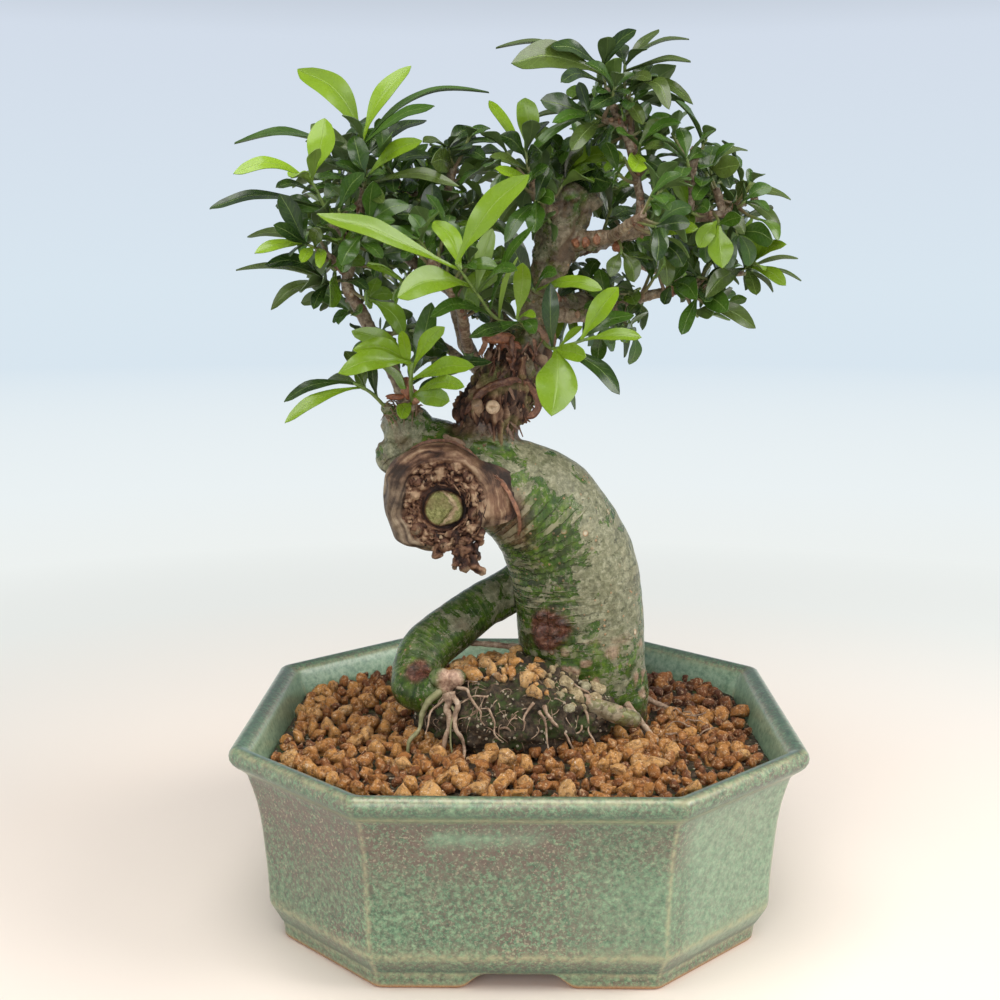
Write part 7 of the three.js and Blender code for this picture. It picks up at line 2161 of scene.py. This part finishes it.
class GARDENIA_OT_pot(bpy.types.Operator):
    """Builds the glazed pot with its rolled rim and cut-out feet, and finishes the net over the drain hole"""

    bl_idname = "gardenia.pot"
    bl_label = "Build pot"

    def execute(self, context):
        material = glaze(context.scene.gardenia_pot.gloss)
        piece("glazed_pot", pot_mesh(), material, "pot_glaze", "pot")
        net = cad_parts["drain_net"]
        net.data.materials.clear()
        net.data.materials.append(net_plastic())
        return {"FINISHED"}


class GARDENIA_OT_soil(bpy.types.Operator):
    """Builds the bed of clay granules and the old root ball with its moss, granules and fine roots"""

    bl_idname = "gardenia.soil"
    bl_label = "Build soil"

    def execute(self, context):
        settings = context.scene.gardenia_soil
        soil, clay = old_soil(), granule()
        piece("soil_bed", bed_mesh("soil_bed", BED_BELOW, BED_INSET), soil, "clay_granules", "soil")
        tree = scatter_tree()
        common = {"shapes": grain_shapes(GRAIN_SHAPES, GRAIN_CUTS), "material": clay}
        trunk, root = spline(TRUNK, 3), spline(ARCH_ROOT, 3)

        def hidden(points):
            buried = nearest_on(points, trunk)[0] < -1.5
            buried |= nearest_on(points, root)[0] < -1.5
            ball_share = np.linalg.norm((points - BALL_CENTRE) / BALL_HALF, axis=1)
            return buried | (ball_share < 0.93) | ~in_octagon(points[:, 0], points[:, 1], GRAINS_WITHIN)

        # The lower layer's tone is taken down as painted shade in the gaps under the upper grains.
        for k, (name, drop, spacing, share, gap_painted_shade) in enumerate(GRAIN_LAYERS):
            mesh = scattered(
                bed_mesh("Ground", drop, 4.0, closed=False), tree, spacing=settings.spacing * spacing,
                smallest=settings.smallest * share, largest=settings.largest * share, lift=0.0,
                seed=settings.seed + k, **common,
            )
            spots, faces, tone = without(mesh, hidden)
            # Painted shade: the granules are toned down towards the back and the right.
            painted_shade_back_right = smooth_step(spots[:, 1] + 0.4 * spots[:, 0], 5, 70)
            tone = np.clip(0.16 + 0.72 * tone - 0.4 * painted_shade_back_right - gap_painted_shade, 0, 1)
            piece(name, mesh_of(name, spots, faces, {"grain_tone": tone}), clay, "clay_granules")
        piece("old_root_ball", root_ball_mesh(), soil, "old_soil", "root_ball")
        crown = mesh_of("Crown", *crown_patch())
        parts = []
        for k, (spacing, smallest, largest) in enumerate(CROWN_LAYERS):
            mesh = scattered(
                crown.copy(), tree, spacing=spacing, smallest=smallest, largest=largest, lift=0.0006,
                seed=settings.seed + 7 + k, **common,
            )
            spots, faces, tone = without(mesh, lambda points: nearest_on(points, trunk)[0] < -1)
            tone = np.clip(0.5 + 0.5 * tone, 0, 1)
            aged = 0.75 * smooth_step(spots[:, 0] + 7 * noise(spots, 9, 72), 10, 16) + 0.25 * (tone < 0.58)
            parts.append((spots, faces, {"grain_tone": tone, "aged": aged}))
        piece("root_ball_granules", merged_mesh("root_ball_granules", parts), clay, "clay_granules")
        piece("fine_roots", fine_root_mesh(), root_skin(), "bark")
        return {"FINISHED"}


def crown_patch():
    """The top of the root ball, where loose granules lie."""
    points, faces = ball(BALL_CENTRE, BALL_HALF + 0.5, 5)
    share = (points - BALL_CENTRE) / BALL_HALF
    good = (share[:, 2] > 0.5 + 0.35 * smooth_step(-share[:, 1], 0.1, 0.6)) & (share[:, 1] > -0.75)
    good |= (share[:, 2] > 0.3) & (share[:, 0] > 0.15) & (share[:, 1] > -0.8)
    return points, [face for face in faces if all(good[i] for i in face)]


class GARDENIA_OT_wood(bpy.types.Operator):
    """Builds the trunk with its sawn scar and roots, the branches and the dry strips of bark"""

    bl_idname = "gardenia.wood"
    bl_label = "Build wood"

    def execute(self, context):
        skin = bark(context.scene.gardenia_tree.wetness)
        torn = torn_wood()
        piece("trunk", trunk_mesh(), skin, "bark", "wood")
        piece("scar", merged_mesh("scar", [scar_face(), *torn_parts()]), torn, "bark")
        piece("shredded_bark", crust_mesh(), torn, "bark")
        piece("branches", branch_mesh(), skin, "bark")
        piece("dry_bits", dry_bits_mesh(), dry_skin(), "bark")
        return {"FINISHED"}


class GARDENIA_OT_leaves(bpy.types.Operator):
    """Builds every leafy shoot in place of its solid, and the small inner leaves on their twigs"""

    bl_idname = "gardenia.leaves"
    bl_label = "Build leaves"

    def execute(self, context):
        skin, stem_skin = leaf_skin(context.scene.gardenia_leaf.gloss), green_stem()
        leaves, taken = grown_leaves()
        for (name, girth, _, _, tone, stem, _), own in zip(SHOOTS, leaves):
            node = f"shoot_{name}"
            if own:
                piece(f"leaves_{name}", foliage_mesh(name, own), skin, "leaf", node)
            root = np.array(stem[0], float) - unit(np.subtract(stem[1], stem[0])) * 2
            stems = [([root, *stem], girth, 0.3 if tone == YOUNG_TONE else 0.7)]
            piece(f"stem_{name}", stem_mesh(name, stems), stem_skin, "leaf", node)
        groups = {"left": [], "right": [], "back": []}
        for stem, own in inner_sprays(taken):
            x, y, _ = stem[-1]
            side = "back" if y > BACK_FROM else "left" if x < 0 else "right"
            groups[side].append((stem, own))
        for side, group in groups.items():
            own = [leaf for _, kept in group for leaf in kept]
            twigs = [(stem, TWIG_RADIUS, 1.0) for stem, _ in group]
            piece(f"inner_leaves_{side}", foliage_mesh(side, own, False), skin, "leaf")
            piece(f"inner_twigs_{side}", stem_mesh(side, twigs), stem_skin, "bark")
        return {"FINISHED"}


class GARDENIA_OT_stage(bpy.types.Operator):
    """Sets up the floor, the soft studio light and the camera at the photograph's viewing angle"""

    bl_idname = "gardenia.stage"
    bl_label = "Set up stage"

    def execute(self, context):
        settings = context.scene.gardenia_stage
        scene = context.scene
        scene.view_settings.view_transform = "Standard"
        near, far = tuple(settings.floor), tuple(settings.sky)
        turns = [2 * math.pi * k / FLOOR_SIDES for k in range(FLOOR_SIDES)]
        corners = [(FLOOR_REACH * math.cos(turn), FLOOR_REACH * math.sin(turn), 0) for turn in turns]
        mesh = bpy.data.meshes.new("Floor")
        mesh.from_pydata(corners, [], [tuple(range(FLOOR_SIDES))])
        floor = bpy.data.objects.new("Floor", mesh)
        floor.location.z = -FLOOR_UNDER_POT
        scene.collection.objects.link(floor)
        look = Finish("Floor", Roughness=1.0, Specular_IOR_Level=0.0, Emission_Strength=1.0)
        away = look.add("ShaderNodeVectorMath", {0: look.place}, operation="LENGTH").outputs["Value"]
        share = look.sum("MULTIPLY", away, 0.25)
        colour = look.ramp(
            share, (0.06, near), (0.14, (0.86, 0.88, 0.85)), (0.3, (0.83, 0.885, 0.9)), (1.0, far),
        )
        glow = look.ramp(share, (0.06, 0.0), (0.2, 1.0))
        look.tree.links.new(look.mix(glow, (0, 0, 0), colour), look.shader.inputs["Emission Color"])
        mesh.materials.append(look.made(look.mix(glow, colour, (0, 0, 0))))
        world = bpy.data.worlds.new("Studio")
        world.use_nodes = True
        tree = world.node_tree
        place = add_node(tree, "ShaderNodeTexCoord")
        parts = add_node(tree, "ShaderNodeSeparateXYZ", {0: place.outputs["Generated"]})
        ramp = add_node(tree, "ShaderNodeValToRGB", {0: parts.outputs[2]})
        sky = ((0.0, far), (0.17, (0.65, 0.72, 0.82)), (0.3, (0.22, 0.24, 0.27)), (1.0, (0.26, 0.27, 0.28)))
        fill_ramp(ramp, sky)
        tree.links.new(ramp.outputs[0], tree.nodes["Background"].inputs[0])
        scene.world = world
        for name, spot, size, share, colour in LAMPS:
            light = bpy.data.lights.new(name, "AREA")
            light.energy = settings.light * share
            light.size = size
            light.color = colour
            lamp = bpy.data.objects.new(name, light)
            lamp.location = spot
            way = Vector(LAMP_TARGET) - Vector(spot)
            lamp.rotation_euler = way.to_track_quat("-Z", "Y").to_euler()
            scene.collection.objects.link(lamp)
        lens = bpy.data.cameras.new("Camera")
        lens.sensor_width = CAMERA_SENSOR
        lens.lens = CAMERA_LENS
        camera = bpy.data.objects.new("Camera", lens)
        camera.location = CAMERA_SPOT
        camera.rotation_euler = (math.radians(90 - CAMERA_DOWN), 0, math.radians(CAMERA_LEFT))
        scene.collection.objects.link(camera)
        scene.camera = camera
        return {"FINISHED"}


class GARDENIA_PT_panel(bpy.types.Panel):
    """Lists the settings and the pieces of the bonsai"""

    bl_idname = "GARDENIA_PT_panel"
    bl_label = "Gardenia bonsai"
    bl_space_type = "VIEW_3D"
    bl_region_type = "UI"
    bl_category = "Bonsai"

    def draw(self, context):
        for operator, group in STEPS:
            box = self.layout.box()
            box.operator(operator.bl_idname)
            settings = getattr(context.scene, group)
            for name in settings.bl_rna.properties.keys():
                if name not in ("rna_type", "name"):
                    box.prop(settings, name)


GROUPS = {
    "gardenia_pot": PotSettings, "gardenia_soil": SoilSettings, "gardenia_tree": TreeSettings,
    "gardenia_leaf": LeafSettings, "gardenia_stage": StageSettings,
}
STEPS = (
    (GARDENIA_OT_pot, "gardenia_pot"), (GARDENIA_OT_soil, "gardenia_soil"),
    (GARDENIA_OT_wood, "gardenia_tree"), (GARDENIA_OT_leaves, "gardenia_leaf"),
    (GARDENIA_OT_stage, "gardenia_stage"),
)


def register():
    for group, kind in GROUPS.items():
        bpy.utils.register_class(kind)
        setattr(bpy.types.Scene, group, PointerProperty(type=kind))
    for operator, _ in STEPS:
        bpy.utils.register_class(operator)
    bpy.utils.register_class(GARDENIA_PT_panel)


def unregister():
    bpy.utils.unregister_class(GARDENIA_PT_panel)
    for operator, _ in reversed(STEPS):
        bpy.utils.unregister_class(operator)
    for group, kind in GROUPS.items():
        delattr(bpy.types.Scene, group)
        bpy.utils.unregister_class(kind)


def main():
    register()
    bpy.ops.gardenia.pot()
    bpy.ops.gardenia.soil()
    bpy.ops.gardenia.wood()
    bpy.ops.gardenia.leaves()
    bpy.ops.gardenia.stage()


if __name__ == "__main__":
    main()
